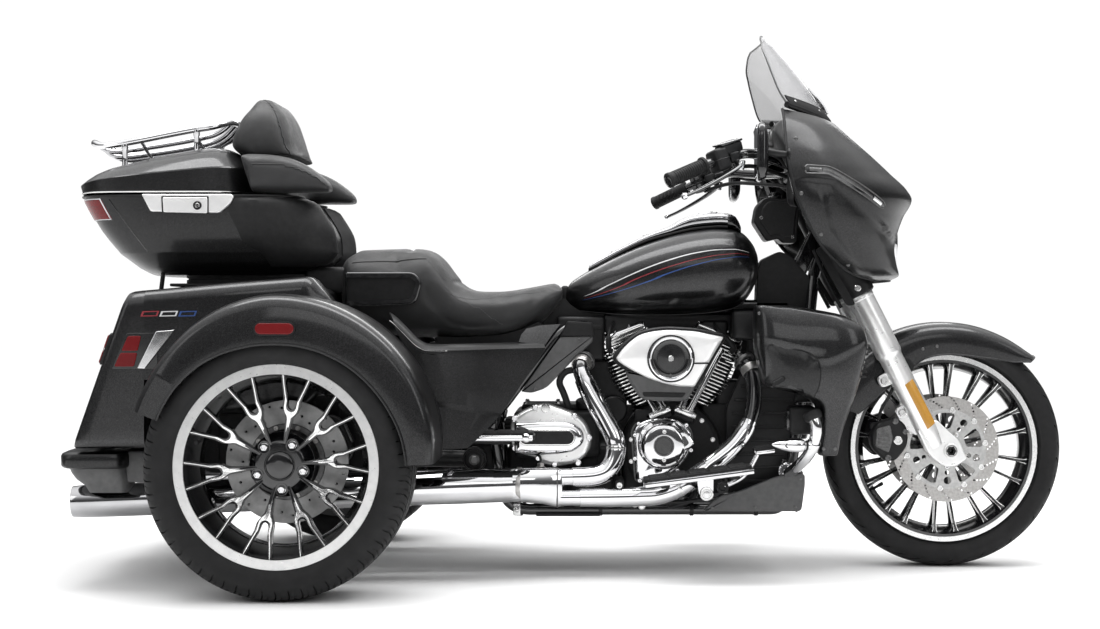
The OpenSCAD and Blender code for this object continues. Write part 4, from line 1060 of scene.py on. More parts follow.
make("rear_bumper_band", p, "chassis", "rear_bumper", sharp=36)

p = Piece()


def on_tail(lp, off, depth, bevel=1.5):
    """Plate on the sloping rear face: outline in (y, z)."""
    v, f = plate([lp], depth, bevel)
    return arr([(-1166 - off - q[2] + TAIL * (q[1] - 543), q[0], q[1]) for q in v]), f


for s in (1, -1):
    p.add(on_tail(rounded(arr([(396 * s, 556), (482 * s, 556), (482 * s, 634), (396 * s, 634)]), 10), 3, 8, 2), "satin_black")
    for z0, z1 in ((560, 592), (597, 630)):
        p.add(on_tail(rounded(arr([(401 * s, z0), (478 * s, z0), (478 * s, z1), (401 * s, z1)]), 7), 7, 9, 3), "red_lens")
    for y0 in np.linspace(408, 470, 8):
        p.add(on_tail(arr([(y0 * s, 562), ((y0 + 2) * s, 562), ((y0 + 2) * s, 628), (y0 * s, 628)]), 11.4, 1.2, 0.2), "red_dark")
# wrap-around lamp on each flank, with its bright strip
red = rounded([(-1127, 554), (-1094, 627), (-1062, 627), (-1079, 552)], 3)
for (z0, z1), mname in (((552, 586), "red_lens"), ((590, 627), "red_lens")):
    part = [(lerp(-1127, -1094, (z - 554) / 73.0), z) for z in (z0, z1)] + [(lerp(-1079, -1062, (z - 552) / 75.0), z) for z in (z1, z0)]
    v, f = plate([rounded(part, 5)], 6, 1.6)
    p.add((side(v, -490.5), f), mname, both=True)
v, f = plate([rounded([(-1134, 547), (-1098, 634), (-1022, 634), (-1022, 547)], 6)], 4, 1.0)
p.add((side(v, -489.5), f), "gloss_black", both=True)
v, f = plate([rounded([(-1072, 548), (-1026, 638), (-980, 642), (-986, 632), (-1052, 547)], 3)], 7, 2.0)
p.add((side(v, -491.5), f), "chrome", both=True)
# side markers on the fenders
v, f = plate([stadium((-702, 646), 98, 33, 14)], 3.0, 1.0)
p.add((side(v, -690.0), f), "satin_black", both=True)
v, f = plate([stadium((-702, 646), 90, 26, 14)], 4.4, 1.9, 3)
p.add((side(v, -692.0), f), "red_lens", both=True)
# lamps round the rear corners of the top case
case_at = lambda z: [pchip([782, 800, 838, 895, 940, 986], arr([(-1131, -723, 190, 4), (-1160, -664, 226, 4.4), (-1208, -632, 256, 4.6), (-1250, -646, 275, 5), (-1276, -672, 282, 5), (-1299, -705, 286, 5)]), arr([z]))[0]][0]


def case_pt(z, a, off):
    xa, xb, hw, pw = case_at(z)
    c, s2 = math.cos(a), math.sin(a)
    x = (xa + xb) / 2 + ((xb - xa) / 2 + off) * spow(c, 2 / pw)
    y = (hw + off) * spow(s2, 2 / pw)
    return (x, y, z)


lo, hi = math.radians(180.5), math.radians(227)
for z0, z1, off, mname in ((924, 973, 3.0, "red_lens"), (922, 976.5, 1.6, "shade_chrome")):
    wid = 0.0 if mname == "red_lens" else 0.004
    g = arr([[case_pt(z, a, off if 0.02 < t < 0.98 else off - 3) for z in np.linspace(z0, z1, 5)] for t, a in zip(np.linspace(0, 1, 60), np.linspace(math.radians(183) - wid, math.radians(239.5) + wid * 3, 60))])
    v, f = shell(g, 5.0, arr([[case_pt(z, a, -2.0) for z in np.linspace(z0, z1, 5)] for a in np.linspace(math.radians(183), math.radians(239.5), 60)]))
    p.add((v, f), mname, both=True)
make("rear_lamp_set", p, "chassis", "rear_lamps", sharp=38)

# plain slanted bars in the decal's place
p = Piece()
for k, mname in enumerate(("red_print", "white_print", "blue_print")):
    x0 = -1064 + 46 * k
    v, f = plate([[(x0, 674), (x0 + 41, 675), (x0 + 46, 688), (x0 + 5, 687)], [(x0 + 5, 676.5), (x0 + 38, 677.3), (x0 + 41, 685.5), (x0 + 9, 684.6)]], 1.0)
    p.add((side(v, -490.8), f), mname)
make("flank_bars", p, "chassis")


# ---------------------------------------------------------------- top case
CASE_ROWS = arr([(782, -1131, -723, 190, 4), (800, -1160, -664, 226, 4.4), (838, -1208, -632, 256, 4.6), (895, -1250, -646, 275, 5), (940, -1276, -672, 282, 5), (986, -1299, -705, 286, 5)])


def case_row(z):
    if z < 838:
        return arr([np.interp(z, CASE_ROWS[:, 0], CASE_ROWS[:, c]) for c in (1, 2, 3, 4)])
    return pchip(CASE_ROWS[2:, 0], CASE_ROWS[2:, 1:], arr([z]))[0]


def case_xy(z, a, off=0.0):
    xa, xb, hw, pw = case_row(z)
    x = (xa + xb) / 2 + ((xb - xa) / 2 + off) * spow(math.cos(a), 2 / pw)
    y = (hw + off) * spow(math.sin(a), 2 / pw)
    # hollow between the two pods at the front
    if math.cos(a) > 0:
        x -= 52 * (1 - min(1.0, abs(y) / 205.0) ** 2) ** 1.5 * (1 if off <= 0 else 1)
    return (x, y, z)


def case_y(x, z, off=0.0):
    xa, xb, hw, pw = case_row(z)
    t = abs((x - (xa + xb) / 2) / ((xb - xa) / 2 + off))
    return -(hw + off) * (1 - min(t, 1) ** pw) ** (1 / pw)


def even_angles(n, pw=4.8, ratio=1.1):
    """Angles that spread points evenly round a squarish outline."""
    a = np.linspace(0, 2 * PI, 4001)
    q = np.stack([ratio * spow(np.cos(a), 2 / pw), spow(np.sin(a), 2 / pw)], 1)
    s = np.concatenate([[0], np.cumsum(np.linalg.norm(np.diff(q, axis=0), axis=1))])
    return np.interp(np.linspace(0, s[-1], n, endpoint=False), s, a)


AN = even_angles(128)
p = Piece()
zs = [782, 784, 790, 800, 819, 836, 838, 841, 848, 870, 895, 918, 940, 962, 978, 983, 986]
outer = [arr([case_xy(z, a, -6 if z == 782 else -2 if z == 784 else 0) for a in AN]) for z in zs]
# the tub under the lid takes the darker copy of the paint: painted shade
p.add(loft(outer, caps=True), "paint_dark")
p.f.pop(); p.k.pop()
inner = [arr([case_xy(z, a, -d) for a in AN]) for z, d in ((986, 0), (986, 7), (978, 8), (940, 9), (895, 9), (838, 9), (806, 10))]
v, f = loft(inner, caps=False)
f.append(tuple(range(6 * 128, 7 * 128)))
p.add((v, f), "plastic")
# pods at the front sides
g = []
for z in np.concatenate([[806, 810], np.linspace(818, 962, 13), [970, 975]]):
    row = []
    a0 = pchip([806, 830, 877, 940, 976], [281, 277.5, 272.0, 272.3, 274.5], arr([z]))[0]
    for t in np.linspace(0, 1, 40):
        a = math.radians(lerp(a0, 347, t))
        e = min(1.0, t / 0.06) * min(1.0, (1 - t) / 0.1) * min(1.0, (z - 804) / 14.0) * min(1.0, (977 - z) / 12.0)
        x, y, _ = case_xy(z, a, -2 + 9 * math.sin(PI / 2 * max(e, 0)))
        row.append((x + 13 * smooth01((t - 0.35) / 0.5) * max(e, 0), y, z))
    g.append(row)
p.add(shell(arr(g), 4.0), "plastic", both=True)
# panel lines and a crease strip
for path in ([(lerp(-1200, -1108, t), lerp(974, 842, t)) for t in np.linspace(0, 1, 20)],):
    q = arr([(x, case_y(x, z, 0.3), z) for x, z in path])
    p.add(strip(q, 2.6, 1.0, (0, -1, 0)), "gloss_black", both=True)
rim_path = arr([case_xy(983.5, a, 1.2) for a in AN])
p.add(tube(rim_path, 2.6, 8, closed=True), "satin_black")
# latch on each flank; its plates are near-white, a painted reflection of their chrome
yl = case_y(-990, 960)
v, f = plate([rounded([(-1113, 986.5), (-884, 986.5), (-877, 981), (-886, 962), (-914, 938), (-1090, 942)], [4, 6, 5, 5, 6, 6])], 10, 3.0, 3)
p.add((side(v, yl - 4), f), "pale_metal", both=True)
v, f = plate([rounded([(-1062, 981), (-941, 981), (-941, 935), (-1060, 938)], 3)], 3, 0.6)
p.add((side(v, yl - 9), f), "satin_black", both=True)
v, f = plate([rounded([(-1058, 978), (-944, 978), (-944, 937), (-1056, 940)], 4)], 6, 1.8, 3)
p.add((side(v, yl - 10), f), "pale_metal", both=True)
p.add(lathe([(0, 12), (11, 12), (11, 14.5), (9.5, 15.5), (8, 15), (7.5, 14), (0, 14)], (-969, yl, 957), (0, -1, 0), 28), "satin_black", both=True)
p.add(lathe([(0, 13), (6.2, 13), (6.2, 15), (5.4, 15.6), (0, 15.6)], (-969, yl, 957), (0, -1, 0), 24), "polished", both=True)
p.add((side(plate([rounded([(-970.2, 953), (-967.8, 953), (-967.8, 961), (-970.2, 961)], 0.4, 2)], 1.0)[0], yl - 15.4), plate([rounded([(-970.2, 953), (-967.8, 953), (-967.8, 961), (-970.2, 961)], 0.4, 2)], 1.0)[1]), "gloss_black", both=True)
# posts
for x in (-1020, -800):
    for y in (-120, 120):
        p.add(lathe([(0, 756), (14, 756), (14, 762), (9, 766), (9, 780), (16, 783), (0, 783)], (x, y, 0), (0, 0, 1), 20), "satin_black")
p.add(rbox((-1062, -205, 752), (-760, 205, 760), 3), "satin_black")
for x in (-1090,):
    for y in (-180, 180):
        p.add(tube([(x, y, 742), (x + 6, y, 790)], 6, 12), "satin_black")
# ribbed seal round the posts, and the filler behind the passenger's seat
seal = ((743, 0), (755, 0), (756.5, 4), (759, 4), (760.5, 0), (770, 0), (771.5, 4), (774, 4), (775.5, 0), (784, 0), (786, 3))
p.add(loft([ring_z(z, -1040 + d, -700 - d, 172 - d, 6, 96) for z, d in seal]), "rubber")
p.add(rbox((-716, -164, 735), (-606, 164, 804), 14, 4), "plastic")
make("top_case_tub", p, "chassis", "top_case_base", sharp=30)

# lid
RX, RZ = [-1330, -1304, -1244, -1168, -1020, -907, -830], [1016, 1028, 1057, 1078, 1112, 1130, 1133]
rise = lambda x: pchip(RX, RZ, arr([x]))[0]
AL = even_angles(128, 5.0, 0.8)


def lid_ring(share, inset, thick=0.0, drop=0.0):
    out = []
    for a in AL:
        x = (-1296 - 846) / 2 + ((-846 + 1296) / 2 - inset * 0.8) * spow(math.cos(a), 2 / 5) - inset * 0.2 * 0
        y = (286 - inset) * spow(math.sin(a), 2 / 5)
        top = rise(x - 26 * share)
        out.append((x - share * 26 * (1 if math.cos(a) < 0 else 0.6), y, 991 + share * (top - 991 - thick) - drop))
    return arr(out)


p = Piece()
steps = [(0.0, 4), (0.015, 0.5), (0.05, 0), (0.12, 1.5), (0.30, 4), (0.47, 6.5), (0.50, 8.5), (0.52, 11), (0.66, 26), (0.80, 48), (0.90, 74), (0.96, 104), (0.99, 140), (1.0, 176), (1.0, 205)]
p.add(loft([lid_ring(s, d) for s, d in steps], caps=False), "paint")
n = 128
# the lid's lower five bands take the darkest copy of the paint: painted shade on the lid's side
p.mats.append("deep_paint")
for i in range(n * 5):
    p.k[i] = 1
p.f.append(tuple(p.n - n + i for i in range(n))); p.k.append(0)
v, f = loft([lid_ring(0.0, 4), lid_ring(0.0, 9), lid_ring(0.3, 14, 6), lid_ring(0.8, 58, 8), lid_ring(1.0, 176, 9)], caps=False)
f.append(tuple(4 * n + i for i in range(n)))
p.add((v, f), "plastic")
# polished bead round the lid's bottom lip: a painted highlight along the lip
band = arr([q for q in lid_ring(0.018, -0.6)])
p.add(tube(band, 2.2, 8, closed=True), "polished")
make("top_case_cover", p, "top_case_lid", "top_case_lid", sharp=16)

# luggage rack
p = Piece()
rk = [(-1288, 112, 1136), (-1246, 150, 1119), (-1010, 158, 1166), (-966, 150, 1172), (-920, 106, 1192)]
loop = [(-1288, 0, 1136), (-1288, -70, 1136)] + [(x, -y, z) for x, y, z in rk] + [(-920, 0, 1192)] + rk[::-1] + [(-1288, 70, 1136), (-1288, 0, 1136)]
p.add(tube(ease(loop, 4), 8.6, 18), "chrome")
low = [(-1262, 128, 1112), (-1236, 140, 1103), (-1010, 146, 1149), (-960, 136, 1158), (-932, 100, 1172)]
for y, dip in ((-96, 16), (-48, 29), (0, 33), (48, 29), (96, 16)):
    p.add(tube(spline([(-1285, y, 1137), (-1240, y, 1124 - dip * 0.7), (-1130, y, 1142 - dip), (-1010, y, 1163 - dip), (-960, y, 1171 - dip * 0.6), (-922, y, 1190)], 40), 6.6, 14), "shade_chrome")
for x, z in ((-1150, 1137), (-1010, 1163)):
    p.add(tube(spline([(x, y, z - dip) for y, dip in ((-154, 0), (-96, 20), (-48, 33), (0, 37), (48, 33), (96, 20), (154, 0))], 40), 4.6, 12), "chrome")
for x in (-1192, -1002):
    t = (x + 1246) / 236
    y = 150 + 8 * t
    z0, z1 = rise(x) - 24, 1108 + 47 * t + 3
    p.add(lathe([(0, 0), (11, 0), (11, 4), (8, 12), (7.2, 20), (7.2, z1 - z0 - 12), (8.5, z1 - z0 - 8), (8.5, z1 - z0 + 4), (0, z1 - z0 + 6)], (x, y, z0), (0, 0, 1), 20), "chrome", both=True)
make("rack_tubes", p, "top_case_lid", "luggage_rack", sharp=40)


# ---------------------------------------------------------------- cushions
def relax(v, edges, rounds, keep=None):
    deg = np.bincount(edges.ravel(), minlength=len(v)).astype(float)[:, None]
    for _ in range(rounds):
        acc = np.zeros_like(v)
        np.add.at(acc, edges[:, 0], v[edges[:, 1]])
        np.add.at(acc, edges[:, 1], v[edges[:, 0]])
        v = lerp(v, acc / np.maximum(deg, 1), 0.5)
    return v


def cushion(name, shapes, body, hides, mat, seams=(), voxel=0.006, cap=0.009, shrink=0.006, rest_z=None, rounds=6):
    """Stuffed piece: the shapes are joined, remeshed, blown up a little as cloth, then sewn along the seams."""
    vv, ff, n = [], [], 0
    for v, f in shapes:
        vv.append(arr(v))
        ff += [tuple(i + n for i in q) for q in f]
        n += len(v)
    me = bpy.data.meshes.new(name)
    me.from_pydata((np.vstack(vv) * 0.001).tolist(), [], ff)
    bm = bmesh.new()
    bm.from_mesh(me)
    bmesh.ops.recalc_face_normals(bm, faces=bm.faces)
    bm.to_mesh(me)
    bm.free()
    ob = bpy.data.objects.new(name, me)
    scene.collection.objects.link(ob)
    md = ob.modifiers.new("remesh", "REMESH")
    md.mode = "VOXEL"
    md.voxel_size = voxel
    got = bpy.data.meshes.new_from_object(ob.evaluated_get(bpy.context.evaluated_depsgraph_get()))
    ob.modifiers.clear()
    ob.data = got
    cnt = len(got.vertices)
    v = np.zeros(cnt * 3)
    got.vertices.foreach_get("co", v)
    v = v.reshape(-1, 3)
    e = np.zeros(len(got.edges) * 2, int)
    got.edges.foreach_get("vertices", e)
    e = e.reshape(-1, 2)
    v = relax(v, e, rounds)
    got.vertices.foreach_set("co", v.ravel())
    got.update()
    nr = np.zeros(cnt * 3)
    got.vertices.foreach_get("normal", nr)
    nr = nr.reshape(-1, 3)
    start_v = v - nr * shrink
    got.vertices.foreach_set("co", start_v.ravel())
    got.update()
    cl = ob.modifiers.new("cloth", "CLOTH")
    st = cl.settings
    st.use_pressure = True
    st.uniform_pressure_force = 4.0
    st.effector_weights.gravity = 0.0
    st.quality = 4
    st.tension_stiffness = st.compression_stiffness = 18
    st.bending_stiffness = 1.5
    cl.collision_settings.use_collision = False
    cl.collision_settings.use_self_collision = False
    if rest_z is not None:
        vg = ob.vertex_groups.new(name="pin")
        vg.add([i for i in range(cnt) if start_v[i][2] < rest_z * 0.001], 1.0, "REPLACE")
        st.vertex_group_mass = "pin"
    for fr in range(1, 21):
        scene.frame_set(fr)
    out = ob.evaluated_get(bpy.context.evaluated_depsgraph_get()).to_mesh()
    w = np.zeros(cnt * 3)
    out.vertices.foreach_get("co", w)
    ob.evaluated_get(bpy.context.evaluated_depsgraph_get()).to_mesh_clear()
    w = w.reshape(-1, 3)
    ob.modifiers.clear()
    ob.vertex_groups.clear()
    scene.frame_set(1)
    d = w - start_v
    L = np.linalg.norm(d, axis=1, keepdims=True)
    d *= np.minimum(1.0, cap / np.maximum(L, 1e-9))
    v = start_v + d
    v = relax(v, e, 2)
    # sewn lines: a narrow valley along each seam
    for path, width, deep in seams:
        q = arr(path) * 0.001
        best = np.full(cnt, 1e9)
        for a, b in zip(q[:-1], q[1:]):
            ab = b - a
            t = np.clip(((v - a) @ ab) / max(ab @ ab, 1e-12), 0, 1)
            best = np.minimum(best, np.linalg.norm(v - a - t[:, None] * ab, axis=1))
        v = v - nr * (deep * 0.001 * np.exp(-(best / (width * 0.001)) ** 2))[:, None]
    got.vertices.foreach_set("co", v.ravel())
    got.update()
    got.materials.clear()
    got.materials.append(MATS[mat])
    dress(ob, body, hides, sharp=80, recalc=False)
    return ob, v * 1000.0, nr


def snap(path, verts, nr, out=0.6):
    """Route laid on a cushion's skin."""
    q = []
    for c in arr(path):
        i = int(np.argmin(np.linalg.norm(verts - c, axis=1)))
        q.append(verts[i] + nr[i] * out)
    return arr(q)


SEAT_ROWS = [(-628, 690, 826, 150), (-618, 664, 840, 180), (-590, 642, 847, 194), (-520, 622, 850, 202), (-440, 612, 852, 208), (-395, 611, 848, 212), (-365, 611, 826, 214), (-335, 611, 784, 215),
             (-301, 611, 750, 216), (-255, 612, 741, 216), (-200, 617, 741, 210), (-150, 630, 746, 192), (-105, 654, 754, 160), (-68, 690, 763, 122), (-40, 722, 768, 86)]
rows = fine(SEAT_ROWS, 60, [0, 1, 2])
AS = even_angles(72, 3.4, 1.6)
rings = []
for x, zb, zt, hw in rows:
    a = AS
    s, c = np.sin(a), np.cos(a)
    z = (zb + zt) / 2 + (zt - zb) / 2 * spow(s, 2 / 3.4)
    y = hw * spow(c, 2 / 3.4)
    # rider's part dished, passenger's part crowned
    dish = -9 * math.exp(-((x + 235) / 70.0) ** 2) * np.exp(-(y / 110.0) ** 2) * (z > (zb + zt) / 2)
    rings.append(np.stack([np.full(len(a), x), y, z + dish], 1))
notch = [(-444, y, 852) for y in np.linspace(-190, 190, 30)]
step = [(-392 + 56 * t, -190 + 6 * t, 838 - 72 * t) for t in np.linspace(0, 1, 14)]
diag = [(-338 + 150 * t, -214, 760 - 120 * t) for t in np.linspace(0, 1, 22)]
edge = lambda s: [(-330 + 250 * t, s * (206 - 95 * t * t), 738 + 12 * t) for t in np.linspace(0, 1, 30)]
pas = lambda s: [(x, s * 186, 838) for x in np.linspace(-600, -396, 24)]
cross = [(-322, y, 766) for y in np.linspace(-200, 200, 30)]
seams = [(notch, 7, 9), (cross, 6, 3.5)]
for s in (1, -1):
    seams += [([(x, y * s, z) for x, y, z in step], 5, 2.6), ([(x, y * s, z) for x, y, z in diag], 4, 1.6), (pas(s), 5, 2.6), (edge(s), 5, 2.0)]
seat, sv, sn = cushion("seat_cushion", [loft(rings)], "chassis", "seat", "leather", seams, voxel=0.0068, cap=0.010, shrink=0.006, rest_z=640)
p = Piece()


def stitches(path, verts, nr, mat, every=7.0, long=4.2, r=0.55):
    q = snap(path, verts, nr, 0.5)
    s = np.concatenate([[0], np.cumsum(np.linalg.norm(np.diff(q, axis=0), axis=1))])
    for t in np.arange(2, s[-1] - long, every):
        a, b = [arr([np.interp(k, s, q[:, c]) for c in range(3)]) for k in (t, t + long)]
        p.add(tube([a, lerp(a, b, 0.5), b], r, 5), mat)


for s in (1, -1):
    stitches([(x, y * s, z) for x, y, z in step], sv, sn, "grey_plastic")
    stitches(edge(s), sv, sn, "grey_plastic")
    stitches([(x, y * s, z) for x, y, z in diag], sv, sn, "grey_plastic")
    q = snap(spline(pas(s), 60), sv, sn, 0.4)
    p.add(tube(q, 1.4, 7), "leather_soft")
# grab loops set into the passenger part's flanks
ring_o = rounded([(-604, 789), (-424, 789), (-404, 764), (-420, 706), (-604, 699)], [6, 26, 16, 20, 6], 8)
ring_i = rounded([(-604, 779), (-430, 779), (-416, 760), (-430, 715), (-604, 709)], [3, 20, 12, 14, 3], 8)
v, f = plate([ring_o, ring_i], 16, 4.5, 3)
p.add((side(v, -208), f), "gloss_black", both=True)
v, f = plate([ring_i], 5, 1.0)
p.add((side(v, -204), f), "satin_black", both=True)
make("seat_trim", p, "chassis", sharp=50)

# arm pads
ARM_ROWS = [(-869, 1079, 1090, 188, 284), (-862, 1066, 1095, 184, 289), (-854, 1046, 1097, 182, 291), (-847, 1016, 1098, 181, 292), (-841, 990, 1098, 180, 292), (-800, 988, 1097, 180, 292), (-745, 988, 1088, 180, 292), (-700, 988, 1070, 182, 291), (-664, 988, 1046, 186, 289), (-640, 989, 1026, 194, 284), (-630, 993, 1012, 206, 272)]
arms = []
ang = even_angles(40, 3.2, 1.0)
for s in (1, -1):
    rg = []
    for x, zb, zt, yi, yo in fine(ARM_ROWS, 40, [0, 1, 2]):
        rg.append([(x, s * ((yi + yo) / 2 + (yo - yi) / 2 * spow(math.cos(a), 2 / 3.2)), (zb + zt) / 2 + (zt - zb) / 2 * spow(math.sin(a), 2 / 3.2)) for a in ang])
    arms.append(loft(rg))
rg = []
for y in np.linspace(-196, 196, 30):
    rg.append([(-797 + 40 * spow(math.cos(a), 2 / 4), y, 1038 + 50 * spow(math.sin(a), 2 / 4)) for a in ang])
arms.append(loft(rg))
aseam = []
for s in (1, -1):
    aseam.append(([(x, s * 289, pchip([-840, -790, -745, -700, -664, -640, -628], [1062, 1066, 1062, 1048, 1030, 1014, 1003], arr([x]))[0]) for x in np.linspace(-836, -632, 40)], 4, 2.2))
armp, av, anr = cushion("arm_cushions", arms, "chassis", "armrest_pads", "leather_soft", aseam, voxel=0.0061, cap=0.008, shrink=0.005, rest_z=1000, rounds=4)
p = Piece()
for s in (1, -1):
    q = snap([(x, s * 292, pchip([-840, -790, -745, -700, -664, -640, -628], [1062, 1066, 1062, 1048, 1030, 1014, 1003], arr([x]))[0]) for x in np.linspace(-834, -634, 60)], av, anr, 0.3)
    p.add(tube(q, 1.3, 7), "leather")
make("arm_piping", p, "chassis", sharp=60)

# backrest
BACK_ROWS = [(1092, -884, -727, 170), (1104, -906, -732, 174), (1114, -920, -738, 177), (1126, -926, -744, 179), (1140, -924, -749, 180), (1155, -919, -754, 179), (1170, -912, -759, 177), (1190, -902, -766, 172), (1210, -889, -774, 163), (1228, -874, -787, 149), (1244, -866, -800, 131), (1256, -860, -812, 108), (1264, -852, -824, 74)]
ang = even_angles(64, 4.6, 0.5)
rg = [[((xa + xb) / 2 + (xb - xa) / 2 * spow(math.cos(a), 2 / 4.4), hw * spow(math.sin(a), 2 / 4.4), z) for a in ang] for z, xa, xb, hw in fine(BACK_ROWS, 40, [0, 1, 3])]
bs = []
fr_edge = lambda s: [(x, s * hw * 0.93, z) for z, x, hw in ((1098, -748, 174), (1136, -764, 178), (1160, -772, 177), (1190, -783, 172), (1214, -794, 160), (1236, -812, 137), (1256, -836, 98))]
for s in (1, -1):
    bs.append((spline(fr_edge(s), 40), 5, 3.0))
back, bv, bn = cushion("backrest_cushion", [loft(rg)], "top_case_lid", "backrest_pad", "leather_soft", bs, voxel=0.0061, cap=0.008, shrink=0.005, rest_z=1102)
p = Piece()
for s in (1, -1):
    p.add(tube(snap(spline(fr_edge(s), 70), bv, bn, 0.4), 1.5, 7), "leather")
make("backrest_piping", p, "top_case_lid", sharp=60)


# ---------------------------------------------------------------- tank, console, engine, exhaust, frame
def add_kinds(piece, v, f, kinds):
    """One closed shape whose faces have different materials."""
    v = arr(v).reshape(-1, 3)
    for k in kinds:
        if k not in piece.mats:
            piece.mats.append(k)
    piece.v.append(v)
    for q, k in zip(f, kinds):
        piece.f.append(tuple(i + piece.n for i in q))
        piece.k.append(piece.mats.index(k))
    piece.n += len(v)


def route(pts, r, n=6):
    """Straight lengths with bends of about r at the corners."""
    p = arr(pts)
    out = [p[0]]
    for i in range(1, len(p) - 1):
        a, b, c = p[i - 1], p[i], p[i + 1]
        d = min(r, 0.45 * np.linalg.norm(a - b), 0.45 * np.linalg.norm(c - b))
        s, e = b + unit(a - b) * d, b + unit(c - b) * d
        for t in np.linspace(0, 1, n):
            out.append((1 - t) ** 2 * s + 2 * t * (1 - t) * b + t * t * e)
    out.append(p[-1])
    return arr(out)


def inset(lp, k, c=None):
    lp = arr(lp)
    c = lp.mean(0) if c is None else arr(c)
    return c + (lp - c) * k


def offset(lp, d):
    """Outline moved outwards by d, square to itself."""
    lp = arr(lp)
    t = np.roll(lp, -1, 0) - np.roll(lp, 1, 0)
    t /= np.maximum(np.linalg.norm(t, axis=1, keepdims=True), 1e-9)
    nrm = np.stack([t[:, 1], -t[:, 0]], 1)
    area = np.sum(lp[:, 0] * np.roll(lp[:, 1], -1) - lp[:, 1] * np.roll(lp[:, 0], -1))
    return lp + nrm * (d if area > 0 else -d)


def relief(lp, levels, flip=1.0):
    """Raised cover on a flank: levels of (outward offset of the outline, distance out to the right)."""
    rings = []
    for d, y in levels:
        q = offset(lp, d)
        rings.append(np.stack([q[:, 0], np.full(len(q), -flip * y), q[:, 1]], 1))
    return loft(rings)


def crown(lp, levels, rise, flip=1.0):
    """The same with its face slightly domed."""
    rings = []
    for d, y in levels:
        q = offset(lp, d)
        rings.append(np.stack([q[:, 0], np.full(len(q), -flip * y), q[:, 1]], 1))
    q, y = offset(lp, levels[-1][0]), levels[-1][1]
    for k in (0.95, 0.86, 0.74, 0.6, 0.44, 0.26, 0.08):
        w = inset(q, k)
        rings.append(np.stack([w[:, 0], np.full(len(w), -flip * (y + rise * (1 - k * k))), w[:, 1]], 1))
    return loft(rings)


def slab(lp, y0, y1, b=2.0):
    """Plate on a flank between two distances out, with its outer edge eased."""
    return relief(lp, [(0, y0), (0, y1 - b), (-0.3 * b, y1 - 0.3 * b), (-b, y1)])


# ---- fuel tank
TANK = arr([[-34, 716, 742, 22], [-20, 698, 764, 46], [10, 684, 786, 74], [60, 679, 814, 102], [115, 675, 842, 126], [175, 673, 868, 145],
            [242, 673, 890, 160], [310, 676, 906, 170], [368, 682, 912, 173], [410, 690, 910, 170], [442, 708, 896, 160], [466, 738, 872, 138],
            [480, 772, 846, 100], [485, 796, 824, 52]])
TANK_S = np.concatenate([[0], np.cumsum(np.linalg.norm(np.diff(TANK[:, [0, 2, 3]], axis=0), axis=1))])


def tank_at(x, a, off=0.0):
    """Point of the tank's skin at x and section angle a (degrees, 90 is the ridge)."""
    x, a = np.broadcast_arrays(arr(x), arr(a))
    b, t, hw = (pchip(TANK[:, 0], TANK[:, k], x) for k in (1, 2, 3))
    c, s = np.cos(np.radians(a)), np.sin(np.radians(a))
    zc, hz = (b + t) / 2, (t - b) / 2
    y, z = hw * np.maximum(c, 0) ** 0.72, zc + hz * spow(s, 0.8)
    if off:
        ny, nz = c * hz, s * hw
        ln = np.hypot(ny, nz)
        y, z = y + off * ny / ln, z + off * nz / ln
    return np.stack([x, -y, z], -1)


rows = fine(TANK, 96, [0, 2, 3])
rings = []
for x, b, t, hw in rows:
    zc = (b + t) / 2
    tw = min(38 + 0.04 * hw, 0.42 * hw)
    tun = max(min(724 + 0.06 * hw, zc), b + 5)
    a = np.radians(np.linspace(-64, 90, 34))
    arc = np.stack([hw * np.maximum(np.cos(a), 0) ** 0.72, zc + (t - b) / 2 * spow(np.sin(a), 0.8)], 1)
    arc[-1, 0] = 0
    half = np.vstack([[[0, tun + 2], [tw, tun], [tw, b + 0.5]], arc])
    full = np.vstack([half, (half * arr((-1, 1)))[-2:0:-1]])
    rings.append(np.stack([np.full(len(full), x), -full[:, 0], full[:, 1]], 1))
P = Piece().add(loft(rings), "paint")
# seam lip along the lower edge
for s in (1, -1):
    lip = [(x, -s * (hw * 0.62 + 3), b + 4.5) for x, b, t, hw in fine(TANK[2:11], 40, [0, 1, 3])]
    # the lip at the tank's lower edge takes the darker copy of the paint: painted shade
    P.add(strip(lip, 9, 3.0, (0, 0, 1)), "paint_dark")
make("fuel_tank_skin", P, "chassis", "fuel_tank", sharp=50)

P = Piece()
s = np.linspace(0, 1, 60)
for w0, mat, gap in ((3.4, "white_print", 0.0), (2.2, "red_print", -7.5), (2.2, "blue_print", -13.0)):
    x = lerp(16.0, 452.0, s)
    mid_a = lerp(-6.0, 22.0, s) + 9.0 * np.sin(PI * s) + gap * (0.45 + 0.35 * np.sin(PI * s)) * 1.5
    w = w0 * np.clip(np.sin(PI * np.clip(s, 0.004, 0.996)) ** 0.5, 0.08, 1)
    da = np.degrees(w / 2 / np.maximum(pchip(TANK[:, 0], TANK[:, 3], x) * 0.75, 20))
    g = np.stack([tank_at(x, mid_a - da, 0.5), tank_at(x, mid_a, 0.6), tank_at(x, mid_a + da, 0.5)], 1)
    P.add(shell(g, 0.5), mat, both=True)
make("tank_pinstripes", P, "chassis")

